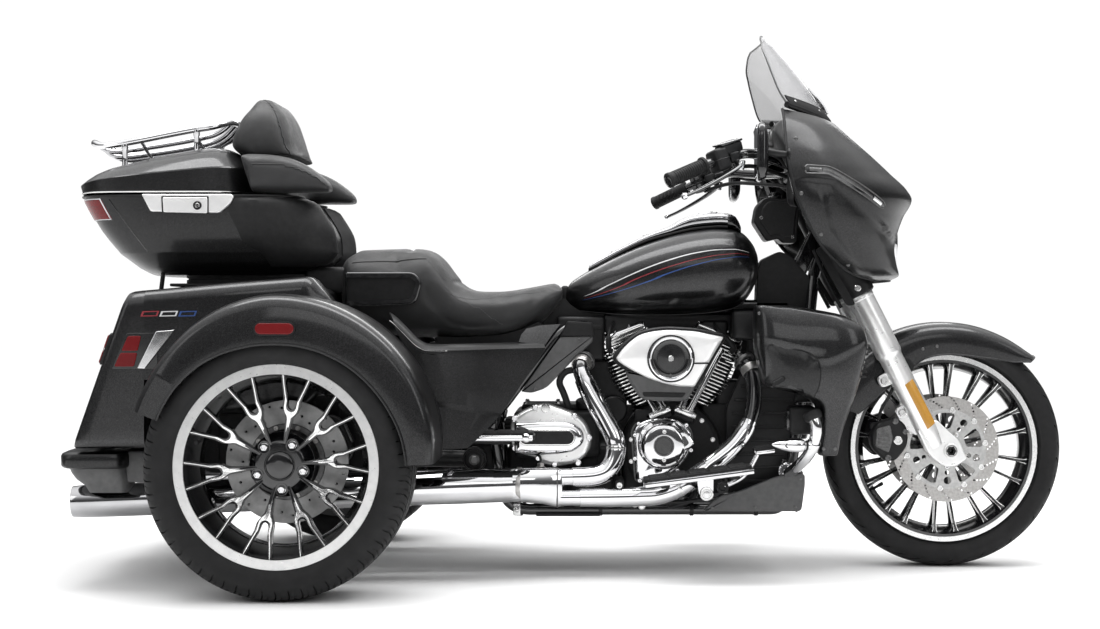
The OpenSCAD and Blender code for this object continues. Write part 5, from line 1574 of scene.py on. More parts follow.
# ---- console along the ridge
CON = arr([[30, 802, 812, 20], [70, 822, 835, 27], [113, 846, 858, 34], [200, 884, 900, 42], [250, 897, 919, 47], [282, 905, 938, 51], [312, 911, 948, 54],
           [350, 915, 953, 57], [384, 917, 954, 58], [404, 916, 952, 57]])
P = Piece()
rings = [ring_x(x, hw, zb, zt, 3.6, 44) for x, zb, zt, hw in fine(CON, 60, [0, 2])]
P.add(loft(rings), "shade_chrome")
gas = []
for x, zb, zt, hw in fine(CON, 44, [0, 2]):
    gas.append(ring_x(x - 1.5, hw + 4.5, zb - 7, zb + 3.0, 4, 28))
P.add(loft(gas), "rubber")
# dark front end and the strap down the front of the tank
end = [ring_x(x, hw, zb, zt, 3.4, 40) for x, zb, zt, hw in ((403, 909, 953, 58), (414, 908, 951, 57.5), (426, 906, 944, 54), (434, 902, 932, 48), (440, 898, 918, 38))]
P.add(loft(end), "gloss_black")
strap = tank_at(np.linspace(430, 478, 16), 90.0, 2.2)
P.add(strip(strap, 58, 4, (0.5, 0, 0.86)), "leather")
for y in (-26, 26):
    P.add(strip([q + arr((0, y, 1.6)) for q in strap], 1.6, 1.4, (0.5, 0, 0.86)), "rubber")
# flush filler cap and its ring
P.add(lathe([(0, 0), (34, 0), (34, 2.6), (32, 4.2), (27, 4.6), (26, 3.2), (24, 3.2), (22, 6.2), (12, 7.4), (0, 7.6)], (346, 0, 949.5), (-0.13, 0, 1), 48), "chrome")
P.add(lathe([(26.6, 3.0), (27.8, 3.0), (27.8, 3.7), (26.6, 3.7), (26.6, 3.0)], (346, 0, 950.0), (-0.13, 0, 1), 48), "satin_black")
for x, y, z in ((96, 0, 850.5), (182, 0, 894.5)):
    P.add(dome((x, y, z), (-0.42, 0, 0.9), 6.5, 3.2), "polished")
make("tank_console_chrome", P, "chassis", "tank_console", sharp=40)

# ---- cylinders
CRANK = arr((250, 0, 318))


def bank(ahead):
    a = math.radians(22.5) * (1 if ahead else -1)
    ux, uz = arr((math.cos(a), 0, -math.sin(a))), arr((math.sin(a), 0, math.cos(a)))
    return lambda v: CRANK + arr(v)[:, :1] * ux + arr(v)[:, 1:2] * arr((0, 1, 0)) + arr(v)[:, 2:3] * uz


def fin(piece, to, hx, hy, r, z, t, face="wrinkle_black", rim="machined", c=(0, 0)):
    lp = rounded([(-hx, -hy), (hx, -hy), (hx, hy), (-hx, hy)], r, 6) + arr(c)
    n = len(lp)
    ring = lambda d, h: np.column_stack([offset(lp, -d), np.full(n, h)])
    v, f = loft([ring(0.8, z - t / 2), ring(0, z - t / 2 + 0.8), ring(0, z + t / 2 - 0.8), ring(0.8, z + t / 2)])
    add_kinds(piece, to(v), f, [rim] * (3 * n) + [face, face])


def bolts_on(piece, pts, d, r, h, mat, kind=hexhead):
    for p in pts:
        piece.add(kind(p, d, r, h), mat)


for ahead in (False, True):
    to = bank(ahead)
    P = Piece()
    # barrel and base flange
    v, f = lathe([(0, 126), (58, 126), (58, 134), (50, 136), (50, 278), (0, 278)], (0, 0, 0), (0, 0, 1), 40)
    P.add((to(v), f), "wrinkle_black")
    for d in range(146, 272, 10):
        hx = min(78.0, d * math.sin(math.radians(22.5)) - 2)
        fin(P, to, hx, 80, min(30, hx - 4), d, 3.6)
    core = [np.column_stack([rounded([(-g, -70), (g, -70), (g, 70), (-g, 70)], min(22, g - 4), 6), np.full(24, z)]) for z in np.linspace(140, 274, 8) for g in (min(78.0, z * math.sin(math.radians(22.5)) - 2) - 9,)]
    v, f = loft(core)
    P.add((to(v), f), "wrinkle_black")
    # head with deep fins
    v, f = rbox((-66, -74, 276), (66, 74, 318), 8, 3)
    P.add((to(v), f), "wrinkle_black")
    for z, g in ((281, 75), (291, 76), (301, 76), (311, 75)):
        fin(P, to, g - 3, 84, 16, z, 3.8)
    # rocker box: lower rail, cover, ridge
    lower = [np.column_stack([rounded([(-g, -h), (g, -h), (g, h), (-g, h)], 15, 6), np.full(24, z)]) for g, h, z in
             ((70, 78, 316), (71, 79, 318), (71, 79, 326), (69, 77, 328))]
    v, f = loft(lower)
    P.add((to(v), f), "polished" if not ahead else "satin_black")
    cover = [np.column_stack([rounded([(-g, -h), (g, -h), (g, h), (-g, h)], 18, 6), np.full(24, z)]) for g, h, z in
             ((67, 75, 328), (67, 75, 340), (64, 72, 346), (58, 66, 350), (46, 54, 352.5), (20, 28, 353.5))]
    v, f = loft(cover)
    P.add((to(v), f), "chrome" if not ahead else "gloss_black")
    v, f = rbox((-60, -78.5, 331), (60, -74, 339), 2, 2)
    P.add((to(v), f), "polished")
    up = to(arr([[0, 0, 1]]))[0] - to(arr([[0, 0, 0]]))[0]
    for x in (-58, -20, 20, 58):
        for y in (-66, 66):
            P.add(hexhead(to(arr([[x, y, 345.5 if abs(x) < 50 else 339.5]]))[0], up, 5.2, 6), "chrome")
    # pushrod tubes with collars, tappet block
    for x, lean in ((-15, -26), (15, 20)):
        a, b = to(arr([[x * 0.7 + (10 if not ahead else -10), -132, 112]]))[0], to(arr([[lean, -100, 300]]))[0]
        P.add(tube([a, lerp(a, b, 0.5), b], 8.6, 18), "chrome")
        for t in (0.0, 0.36, 0.94):
            P.add(tube([lerp(a, b, t), lerp(a, b, t + 0.045)], 11.2, 20), "polished")
    v, f = rbox((-30, -152, 100), (30, -112, 116), 4, 2)
    v[:, 0] += 8 if not ahead else -8
    P.add((to(v), f), "polished")
    v, f = rbox((-26, -146, 88), (26, -112, 101), 3, 2)
    v[:, 0] += 8 if not ahead else -8
    P.add((to(v), f), "satin_black")
    for x in (-22, 22):
        P.add(capscrew(to(arr([[x + (8 if not ahead else -8), -152, 108]]))[0], (0, -1, 0), 4, 4), "chrome")
    # plug, boot and lead up under the tank
    q = to(arr([[(-46 if not ahead else 46), -78, 300]]))[0]
    d = unit((-0.35 if not ahead else 0.35, -0.85, 0.35))
    P.add(lathe([(0, -14), (7, -14), (7, 4), (9.5, 5), (9.5, 12), (6, 13), (6, 16), (0, 16)], q, d, 18), "polished")
    P.add(tube(ease([q + d * 12, q + d * 34, q + arr((-10 if not ahead else -34, -20, 60)), q + arr((10 if not ahead else -50, 30, 92))], 3), [7.5] * 10 + [4.2] * (len(ease(np.zeros((4, 3)), 3)) - 10), 12), "rubber")
    # intake side: throttle stub towards the other cylinder
    v, f = rbox((-20, -60, 282), (20, -20, 312), 6, 2)
    v[:, 0] += 78 if not ahead else -78
    P.add((to(v), f), "cast")
    make("front_cylinder_fins" if ahead else "rear_cylinder_fins", P, "chassis", "front_cylinder" if ahead else "rear_cylinder")

# ---- crankcase
P = Piece()
P.add(lathe([(0, -114), (118, -114), (126, -110), (132, -98), (132, -8), (134, -6), (134, 6), (132, 8), (132, 98), (126, 110), (118, 114), (0, 114)], CRANK, (0, 1, 0), 72), "wrinkle_black")
P.add(rbox((120, -110, 192), (390, 110, 300), 12, 3), "wrinkle_black")
P.add(rbox((120, -6, 188), (394, 6, 300), 3, 2), "satin_black")
for x in range(150, 380, 28):
    P.add(rbox((x, -112, 187), (x + 8, 112, 196), 2, 1), "wrinkle_black")
for sgn in (1, -1):
    for a in np.radians(np.arange(15, 360, 30)):
        P.add(hexhead((250 + 112 * math.cos(a), -113 * sgn, 318 + 112 * math.sin(a)), (0, -sgn, 0), 5, 6), "polished")
# oil filter ahead and its boss
P.add(lathe([(0, 0), (30, 0), (37, 4), (37, 12), (34, 14), (37, 16), (37, 63), (33, 71), (24, 73), (0, 73)], (392, 0, 246), (1, 0, 0), 44), "gloss_black")
for k in range(14):
    a = 2 * PI * k / 14
    P.add(strip([(455, 36.2 * math.cos(a), 246 + 36.2 * math.sin(a)), (463, 33.5 * math.cos(a), 246 + 33.5 * math.sin(a))], 5, 1.4, (0, math.cos(a), math.sin(a))), "satin_black")
# cam side: hose unions and bolts above the cover
for x, z in ((186, 410), (226, 418), (270, 408)):
    P.add(hexhead((x, -112, z), (0, -1, 0), 6, 14), "chrome")
P.add(rbox((150, -126, 392), (312, -104, 428), 7, 2), "wrinkle_black")
make("crankcase_halves", P, "chassis", "crankcase")

# ---- air cleaner; the cover's face is near-white, a painted reflection of its chrome
eye = rounded([(98, 566), (114, 589), (134, 609), (158, 627), (192, 636), (232, 640), (302, 636), (374, 621), (299, 494), (262, 495), (228, 501), (183, 515), (140, 536), (113, 552)],
              [5, 8, 12, 14, 14, 16, 14, 5, 6, 12, 12, 14, 12, 8], 5)
P = Piece()
P.add(crown(eye, [(0, 240), (0, 283), (-1.2, 288), (-4.5, 291.5), (-10, 293.6)], 4), "pale_metal")
P.add(relief(offset(eye, 9.0), [(0, 214), (0, 250), (-1, 256), (-4, 259)]), "satin_black")
low = rounded([(122, 536), (133, 505), (161, 462), (200, 456), (279, 456), (296, 480), (306, 500), (240, 520)], [8, 10, 14, 12, 14, 10, 8, 10], 5)
P.add(relief(low, [(0, 214), (0, 254), (-2, 259), (-7, 262)]), "grey_plastic")
P.add(relief(rounded([(170, 468), (270, 466), (279, 478), (166, 480)], 5, 4), [(0, 260), (0, 263.5), (-1.5, 265)]), "satin_black")
ring = lambda prof, o=(238, 0, 566.5): lathe(prof, (o[0], -297.6, o[2]), (0, -1, 0), 72)
P.add(ring([(47, -6), (57.5, -6), (57.5, 3.5), (56, 6.5), (53, 7.6), (50, 6.8), (47.6, 4), (47, 2), (47, -6)]), "chrome")
P.add(ring([(58.0, -4), (60.6, -4), (60.6, 3.2), (58.0, 3.2), (58.0, -4)]), "satin_black")
P.add(ring([(0, -6), (47.4, -6), (47.4, 1.2), (45.5, 1.6), (44.5, 1.0), (36, 1.2), (35.5, 0.6), (34.5, 0.6), (34, 1.3), (0, 1.8)]), "gloss_black")
P.add(ring([(0, 0), (7.5, 0), (7.5, 3.4), (6.6, 4.2), (4.2, 4.2), (3.8, 2.2), (0, 2.2)]), "polished")
for a in (0.5, 2.6, 4.7):
    P.add(capscrew((238 + 40.2 * math.cos(a), -298.2, 566.5 + 40.2 * math.sin(a)), (0, -1, 0), 1.9, 1.6), "dark_steel")
P.add(rbox((297, -297.6, 552.6), (336, -293.0, 556.6), 1.2, 1), "satin_black")
P.add(tube([(250, -90, 560), (250, -214, 560)], 31, 32), "cast")
P.add(tube([(250, -110, 560), (250, -124, 560)], 35, 32), "dark_steel")
# breather bracket and throttle body behind the plate
P.add(rbox((206, -96, 520), (292, -24, 602), 12, 3), "cast")
for x, z in ((196, 606), (292, 606), (196, 520), (300, 530)):
    P.add(capscrew((x, -256, z), (0, -1, 0), 4.2, 4), "chrome")
make("air_cleaner_cover", P, "chassis", "air_cleaner")

# ---- gearbox
P = Piece()
P.add(rbox((-190, -118, 196), (112, 116, 330), 16, 3), "wrinkle_black")
P.add(rbox((-170, -148, 300), (60, 116, 425), 16, 3), "wrinkle_black")
P.add(rbox((-150, -100, 418), (40, 80, 440), 8, 3), "satin_black")
for x, y in ((-140, -90), (-140, 70), (30, -90), (30, 70), (-55, -92), (-55, 72)):
    P.add(hexhead((x, y, 440), (0, 0, 1), 6, 6), "polished")
for x in (-150, -110, -70, -30, 10, 50, 90):
    P.add(rbox((x, -121, 200), (x + 7, -112, 296), 2, 1), "wrinkle_black")
# oil filler neck and plug, starter behind the cylinders
P.add(lathe([(0, 0), (22, 0), (22, 10), (26, 11), (26, 26), (23, 29), (0, 30)], (20, -96, 424), (0, -0.3, 1), 28), "satin_black")
P.add(lathe([(0, 0), (34, 0), (36, 4), (36, 96), (32, 100), (16, 101), (0, 101)], (96, 16, 424), (0, -1, 0), 36), "satin_black")
P.add(tube(ease([(-4, -138, 534), (-34, -140, 530), (-52, -142, 502), (-38, -142, 474), (-26, -140, 440), (-24, -134, 424)], 3), 9, 14), "rubber")
P.add(tube(ease([(70, -128, 470), (60, -134, 440), (64, -138, 400), (78, -136, 352)], 3), 6, 12), "rubber")
make("gearbox_case", P, "chassis", "gearbox")

# ---- chrome covers on the right
P = Piece()
cone = rounded([(144, 371), (156, 389), (180, 402), (226, 409), (272, 400), (300, 372), (303, 340), (286, 300), (250, 262), (206, 240), (172, 234), (154, 240)], [10, 12, 20, 30, 26, 20, 16, 30, 30, 24, 12, 8], 6)
P.add(crown(cone, [(0, 112), (0, 146), (-1.5, 151), (-5, 154), (-12, 155)], 3.5), "chrome")
P.add(relief(offset(cone, 4.0), [(0, 110), (0, 118)]), "dark_steel")
P.add(lathe([(0, 0), (66, 0), (66, 22), (64.5, 27), (60, 30), (58, 31), (57, 44), (56, 72), (54, 78), (50, 81), (46, 82.4), (27, 82.6), (26, 80.5), (0, 80.5)], (223, -153, 339), (0, -1, 0), 72), "chrome")
P.add(lathe([(0, 0), (25.6, 0), (25.6, 2.6), (24.6, 3.4), (22, 3.4), (21.2, 2.4), (0, 2.4)], (223, -233, 339), (0, -1, 0), 48), "gloss_black")
key = rounded([(232, 372), (276, 374), (290, 366), (304, 344), (290, 331), (240, 318)], [6, 8, 8, 8, 8, 6], 5)
P.add(slab(key, 160, 231, 4), "chrome")
P.add(slab(rounded([(246, 352), (277, 366), (289, 346), (280, 338), (249, 334)], [3, 6, 5, 4, 3], 4), 228, 232.6, 0.8), "gloss_black")
for x, z in ((224, 376), (223, 303)):
    P.add(capscrew((x, -235.0, z), (0, -1, 0), 5.6, 4.5), "polished")
for x, z in ((150, 362), (160, 392), (228, 402), (286, 388), (298, 322), (262, 270), (163, 242), (150, 300)):
    P.add(capscrew((x, -152, z), (0, -1, 0), 5, 6), "chrome")
# gearbox end cover
end = rounded([(-167, 410), (-140, 428), (-112, 439), (-84, 446), (-50, 434), (-10, 421), (18, 398), (35, 359), (30, 324), (2, 292), (-60, 282), (-96, 292), (-108, 306), (-160, 318), (-172, 336), (-174, 390)],
              [10, 14, 14, 20, 20, 24, 24, 26, 24, 24, 26, 14, 10, 10, 10, 14], 6)
P.add(relief(end, [(0, 150), (0, 182), (-1.5, 187), (-5, 190), (-11, 191.4)]), "bright_silver")
P.add(relief(offset(end, 3.0), [(0, 148), (0, 156)]), "dark_steel")
dee = rounded([(-166, 400), (-60, 402), (-12, 399), (16, 376), (19, 346), (-8, 320), (-60, 313), (-120, 312), (-166, 318)], [10, 40, 30, 26, 26, 30, 40, 20, 10], 7)
P.add(crown(dee, [(0, 188), (-1, 200), (-4, 207), (-9, 211), (-16, 213)], 4), "chrome")
P.add(relief(stadium((-80, 359.5), 148, 42, 14), [(0, 211), (0, 218), (-1.5, 220), (-3.5, 220.3)]), "polished")
P.add(relief(stadium((-80, 359.5), 140, 34, 14), [(0, 216), (0, 221.0), (-0.8, 221.6)]), "satin_black")
for x, z in ((-111, 436), (-165, 408), (-9, 413), (29, 357), (1, 291), (-103, 304), (-164, 330), (-60, 288)):
    P.add(lathe([(0, 0), (8.2, 0), (8.2, 3), (6.6, 4), (6.6, 10), (5.8, 11), (3.6, 11), (3.2, 8), (0, 8)], (x, -187, z), (0, -1, 0), 24), "chrome")
P.add(lathe([(0, 0), (12, 0), (12, 5), (10, 8), (0, 8.6)], (-84, -186, 434), (0, -1, 0), 28), "polished")
make("right_covers", P, "chassis", "engine_covers")

# ---- primary cover on the left
out = rounded([(-152, 350), (-140, 286), (-100, 240), (-40, 224), (100, 214), (250, 212), (316, 234), (352, 282), (356, 340), (330, 394), (280, 420), (200, 424), (60, 424), (-60, 424), (-120, 402)],
              [30, 30, 34, 40, 60, 60, 40, 40, 40, 40, 40, 60, 60, 40, 34], 7)
P = Piece()
P.add(relief(out, [(0, 116), (0, 206), (-2, 214), (-7, 219), (-16, 222)], -1), "chrome")
P.add(relief(offset(out, 4), [(0, 114), (0, 124)], -1), "dark_steel")
P.add(relief(rounded([(-128, 350), (-116, 298), (-84, 264), (-30, 252), (250, 238), (306, 256), (330, 300), (330, 344), (306, 382), (260, 400), (-50, 402), (-104, 386)], 36, 7),
             [(0, 220), (-2, 226), (-8, 229), (-18, 230.5)], -1), "chrome")
lid = lambda prof, o: lathe(prof, o, (0, 1, 0), 64)
P.add(lid([(0, 0), (84, 0), (84, 6), (81, 10), (76, 12), (60, 13), (58, 11.5), (30, 12.5), (0, 13.5)], (-42, 221, 326)), "chrome")
P.add(lid([(0, 0), (58, 0), (58, 5), (55, 9), (44, 10.5), (20, 11.5), (0, 12)], (248, 222, 318)), "chrome")
P.add(relief(stadium((112, 322), 92, 52, 14), [(0, 222), (0, 229), (-2, 233), (-6, 234.5)], -1), "chrome")
for k in range(5):
    a = 2 * PI * k / 5 + 0.3
    P.add(capscrew((-42 + 68 * math.cos(a), 233, 326 + 68 * math.sin(a)), (0, 1, 0), 4.6, 4), "polished")
for k in range(3):
    a = 2 * PI * k / 3 + 0.5
    P.add(capscrew((248 + 48 * math.cos(a), 231, 318 + 48 * math.sin(a)), (0, 1, 0), 4.2, 4), "polished")
for x, z in ((78, 322), (146, 322)):
    P.add(capscrew((x, 233, z), (0, 1, 0), 4.2, 4), "polished")
for x, z in ((-136, 340), (-118, 276), (-66, 238), (40, 228), (150, 223), (262, 224), (326, 264), (344, 330), (318, 388), (240, 412), (140, 413), (30, 413), (-64, 412), (-112, 392)):
    P.add(capscrew((x, 218, z), (0, 1, 0), 5, 8), "chrome")
make("primary_cover_chrome", P, "chassis", "primary_cover")

# ---- exhaust
REAR_H = [[22, -128, 560], [2, -168, 540], [40, -186, 458], [75, -196, 398], [102, -206, 346], [94, -214, 292], [60, -222, 259], [-52, -236, 258]]
FRONT_H = [[432, -112, 566], [466, -146, 520], [462, -168, 420], [420, -186, 345], [353, -200, 291], [240, -214, 210], [120, -226, 206], [-52, -238, 206]]


def clamp_band(piece, p, d, r, w=14, mat="chrome"):
    d = unit(d)
    p = arr(p)
    piece.add(lathe([(r, -w / 2), (r + 2.4, -w / 2), (r + 2.8, -w / 2 + 1.5), (r + 2.8, w / 2 - 1.5), (r + 2.4, w / 2), (r, w / 2), (r, -w / 2)], p, d, 36), mat)


def along(path, t):
    p = arr(path)
    s = np.concatenate([[0], np.cumsum(np.linalg.norm(np.diff(p, axis=0), axis=1))])
    q = np.stack([np.interp(t * s[-1], s, p[:, k]) for k in range(3)])
    e = np.stack([np.interp(min(t + 0.01, 1) * s[-1], s, p[:, k]) - np.interp(max(t - 0.01, 0) * s[-1], s, p[:, k]) for k in range(3)])
    return q, unit(e)


P = Piece()
for pts, r in ((REAR_H, 22.0), (FRONT_H, 21.0)):
    p = spline(ease(pts, 2), 90)
    n = len(p)
    # the first part of each pipe is gloss black; the front pipe's longer black length is painted shade where it lies in
    # shadow
    cut = int(n * (0.10 if r > 21.5 else 0.30))
    P.add(tube(p[:cut + 1], r, 28), "gloss_black")
    P.add(tube(p[cut:], r, 28), "chrome")
    # outer shield: half shell a little larger over the visible run
    fr = frames(p)
    k0, k1 = max(int(n * 0.16), cut + 2), int(n * 0.985)
    for lo, hi in ((k0, int(n * 0.60)), (int(n * 0.605), k1)):
        g = []
        for i in range(lo, hi):
            c, a, b = fr[i]
            t = unit(np.cross(a, b))
            o = unit(arr((0.15, -1, 0.1)) - t * np.dot((0.15, -1, 0.1), t))
            w = np.cross(t, o)
            ends = min(1.0, (i - lo) / 3, (hi - 1 - i) / 3)
            g.append([c + (r + 1.4 + 1.6 * ends) * (math.cos(q) * o + math.sin(q) * w) for q in np.linspace(-1.9, 1.9, 22)])
        P.add(shell(arr(g), 1.2), "chrome")
    q, d = along(p, 0.06)
    clamp_band(P, q, d, r + 1, 20, "steel")
    q, d = along(p, 0.585)
    clamp_band(P, q, d, r + 2.0, 9, "polished")
    q, d = along(p, 0.02)
    P.add(lathe([(0, -3), (29, -3), (29, 5), (27, 7), (0, 7)], q, d, 32), "dark_steel")
    for s in (-1, 1):
        u = axes(d)[0]
        P.add(hexhead(q + u * s * 24 + d * 5, d, 5, 6), "dark_steel")
# joined collector: two pipes into one oval
rings = []
for x, hz, hy, zc in ((-40, 47, 24, 232), (-52, 50, 27, 232), (-58, 50, 30, 233), (-90, 47, 36, 237), (-130, 45, 41, 240), (-166, 43.5, 43, 240)):
    t = 2 * PI * np.arange(40) / 40
    yc = -236 - (-52 - x) * 0.09
    rings.append(np.stack([np.full(40, float(x)), yc + hy * spow(np.cos(t), 0.8), zc + hz * spow(np.sin(t), 0.8)], 1))
P.add(loft(rings), "chrome")
seam = [ring * arr((1, 1, 1)) for ring in rings[1:3]]
c0 = seam[0].mean(0)
P.add(weld(*loft([c0 + (seam[0] - c0) * 1.0 + arr((1.5, 0, 0)), c0 + (seam[0] - c0) * 1.035 + arr((1.0, 0, 0)), c0 + (seam[0] - c0) * 1.035 + arr((-2.4, 0, 0)), c0 + (seam[0] - c0) * 1.0 + arr((-3.0, 0, 0))], True, False)), "dark_steel")
clamp_band(P, (-150, -245, 240), (-1, 0.06, 0), 43, 12, "steel")
# oxygen sensor and brackets to the gearbox
P.add(hexhead((-96, -232, 282), (0, 0.4, 1), 10, 12), "steel")
P.add(tube(ease([(-96, -228, 292), (-96, -212, 312), (-120, -180, 318)], 2), 3.5, 10), "rubber")
P.add(rbox((-36, -226, 196), (-6, -118, 206), 3, 2), "dark_steel")
P.add(rbox((96, -238, 226), (120, -112, 250), 4, 2), "satin_black")
P.add(capscrew((108, -238, 238), (0, -1, 0), 8, 8), "polished")
make("exhaust_headers", P, "chassis", "exhaust_pipes")

P = Piece()
path = fine([[-160, 246, 240], [-300, 257.5, 236], [-420, 268, 232], [-700, 289.5, 223.5], [-1000, 312.5, 214.4], [-1272, 333.5, 206.2]], 42)
rad = pchip([-1272, -1266, -1240, -1180, -600, -430, -300, -200, -160], [39.5, 40.5, 41.5, 42, 42, 42, 44, 44, 43], path[:, 0][::-1])[::-1]
body = []
fr = frames(path)
tt = 2 * PI * np.arange(44) / 44
for (c, a, b), r in zip(fr, rad):
    body.append([c + r * (math.cos(t) * a + math.sin(t) * b) for t in tt])
# rolled lip and the bore of the tip
tip, a, b = fr[-1]
d = unit(path[-1] - path[-2])
for k, r in ((2.5, 38.6), (3.4, 36.5), (2.0, 34.6), (-4, 34), (-90, 33.5)):
    body.append([tip + d * k + r * (math.cos(t) * a + math.sin(t) * b) for t in tt])
v, f = loft(body)
kinds = ["shade_chrome" if np.mean(v[list(q)], 0)[0] < -1024 else "chrome" for q in f]
for i, q in enumerate(f):
    if np.mean(v[list(q)] @ d) < tip @ d - 3 and i >= (len(body) - 2) * 44:
        kinds[i] = "satin_black"
for s in (1, -1):
    w = v * arr((1, s, 1))
    add_kinds(P, w, f if s > 0 else [q[::-1] for q in f], kinds)
for x in (-430, -1024):
    k = int(np.argmin(np.abs(path[:, 0] - x)))
    for s in (1, -1):
        clamp_band(P, path[k] * arr((1, s, 1)), d * arr((1, s, 1)), rad[k] - 0.4, 7, "polished")
# shield with a long step over the near side
g = []
for (c, a, b), r, x in zip(fr, rad, path[:, 0]):
    if -1008 < x < -205:
        e = min(1.0, (x + 1008) / 30, (-205 - x) / 30)
        g.append([c + (r + 0.8 + 2.6 * max(e, 0)) * arr((0, math.cos(q), math.sin(q))) for q in np.linspace(-0.75, 1.25, 20)])
P.add(shell(arr(g), 1.5), "chrome", both=True)
P.add(tube([(-245, -240, 226), (-245, 0, 226), (-245, 240, 226)], 19, 26), "dark_steel")
for s in (-1, 1):
    clamp_band(P, (-245, s * 205, 226), (0, 1, 0), 19, 12, "steel")
# hangers
for x, z in ((-640, 266), (-1080, 262)):
    y = np.interp(-x, [420, 1279], [268, 334])
    P.add(rbox((x - 20, y - 14, z - 16), (x + 20, y - 6, z + 44), 3, 2), "satin_black", both=True)
    P.add(hexhead((x, y - 6, z + 30), (0, 1, 0), 6, 6), "steel")
    P.add(hexhead((x, -y + 6, z + 30), (0, -1, 0), 6, 6), "steel")
make("muffler_pair", P, "chassis", "mufflers")

# ---- frame
P = Piece()
FT = [[639, 17, 778], [606, 100, 560], [556, 122, 200], [530, 134, 165], [-190, 142, 165], [-226, 150, 400]]
P.add(tube(route(FT, 62, 8), 15, 22), "gloss_black", both=True)
P.add(tube(route([[-226, 150, 400], [-36, 118, 646], [90, 20, 662]], 40, 7), 13, 20), "gloss_black", both=True)
P.add(tube(route([[-226, 150, 400], [-420, 165, 560], [-600, 165, 580]], 60, 7), 13, 20), "gloss_black", both=True)
P.add(lathe([(0, -24), (18, -24), (25, -17), (26, 0), (25, 17), (18, 24), (0, 24)], (-226, 150, 400), (0.3, 0, 1), 30), "gloss_black", both=True)
P.add(rbox((-308, 94, 264), (-207, 136, 338), 8, 2), "satin_black", both=True)
P.add(rbox((-120, -130, 151), (-40, 130, 171), 5, 2), "satin_black")
P.add(rbox((70, -31, 678), (575, 31, 719), 9, 3), "gloss_black")
P.add(rbox((71, -31, 652), (107, 31, 690), 6, 2), "gloss_black")


def bar_box(a, b, w, h, mat="gloss_black"):
    a, b = arr(a), arr(b)
    d = unit(b - a)
    n = arr((d[2], 0, -d[0]))
    rings = []
    for t, k in ((0, 0.86), (0.02, 1), (0.98, 1), (1, 0.86)):
        c = lerp(a, b, t)
        q = rounded([(-w / 2 * k, -h / 2 * k), (w / 2 * k, -h / 2 * k), (w / 2 * k, h / 2 * k), (-w / 2 * k, h / 2 * k)], 7, 4)
        rings.append([c + arr((0, 1, 0)) * u + n * s for u, s in q])
    P.add(loft(rings), mat)


bar_box((672, 0, 943), (552, 0, 706), 40, 44)
bar_box((676, 0, 893), (632, 0, 758), 34, 30)
nk = lambda z: PIVOT + UP * z
P.add(lathe([(26.3, 627), (36, 627), (38, 630), (38, 648), (36, 652), (36, 734), (38, 738), (38, 756), (36, 759), (26.3, 759), (26.3, 627)], PIVOT, UP, 44), "gloss_black")
for y0, y1, x, z, r in ((-148, 148, -226, 400, 14), (-136, 136, -262, 300, 15), (-130, 130, 460, 166, 11)):
    P.add(tube([(x, y0, z), (x, 0, z), (x, y1, z)], r, 20), "gloss_black")
# gussets, triangular side plate, rail pads, loom under the tank
for s in (1, -1):
    g = plate([rounded([(0, 0), (60, 6), (30, 74), (4, 60)], 8, 4)], 5, 1.2)
    v = np.stack([566 + g[0][:, 0] * 0.7, s * (104 + g[0][:, 2]), 560 + g[0][:, 1]], 1)
    P.add((v, g[1]), "gloss_black")
tri = rounded([(40, 624), (40, 608), (-13, 558), (-83, 485), (-122, 472), (-150, 476), (-68, 590), (-42, 624)], [4, 8, 16, 16, 10, 5, 12, 4], 5)
cap = rounded([(-34, 650), (-28, 662), (40, 658), (42, 618), (-48, 618)], [4, 6, 6, 5, 5], 5)
for flip in (1, -1):
    P.add(relief(tri, [(0, 138), (0, 146), (-1.5, 149), (-5, 150.5)], flip), "grey_plastic")
    P.add(relief(cap, [(0, 132), (0, 148), (-1.5, 151), (-5, 152)], flip), "satin_black")
    P.add(capscrew((4, -151 * flip, 612), (0, -flip, 0), 5, 4), "dark_steel")
    P.add(capscrew((-112, -149 * flip, 482), (0, -flip, 0), 5, 4), "dark_steel")
P.add(tube(ease([(120, -40, 672), (180, -48, 664), (270, -44, 668), (360, -50, 664), (450, -44, 670)], 3), 8, 12), "rubber", both=True)
for x in (150, 230, 330, 420):
    P.add(rbox((x, -60, 652), (x + 14, 60, 676), 3, 2), "satin_black")
P.add(rbox((330, -74, 618), (404, 74, 664), 10, 3), "satin_black")
for x in (-150, 60, 300, 470):
    clamp_band(P, (x, 138, 165), (1, 0, 0), 14.6, 10, "satin_black")
    clamp_band(P, (x, -138, 165), (1, 0, 0), 14.6, 10, "satin_black")
P.add(rbox((-110, -158, 148), (60, -126, 158), 3, 2), "satin_black", both=True)
# stand bracket with its bolt, right side
P.add(rbox((-170, -164, 150), (-150, -146, 184), 4, 2), "polished")
P.add(dome((-160, -164, 166), (0, -1, 0), 7, 5), "polished")
# side stand folded along the left rail
P.add(tube(route([(176, 172, 168), (60, 182, 152), (-86, 184, 150)], 30, 6), 10, 16), "satin_black")
P.add(rbox((-116, 172, 140), (-82, 198, 156), 4, 2), "satin_black")
P.add(rbox((156, 140, 150), (196, 184, 180), 5, 2), "satin_black")
# regulator with fins ahead of the cradle, low
for k in range(9):
    P.add(rbox((566, -56 + k * 13.5, 252), (592, -52 + k * 13.5, 330), 1.2, 1), "satin_black")
P.add(rbox((556, -62, 248), (574, 62, 334), 5, 2), "satin_black")
P.add(rbox((540, -118, 282), (560, 118, 296), 4, 2), "gloss_black")
make("frame_tubes", P, "chassis", "frame")

# ---- dark parts round the engine: air guides, coil covers, battery box, wiring trough, manifold, which also fill the engine bay and the space under the seat with black as painted shade; horn cover on the left
P = Piece()
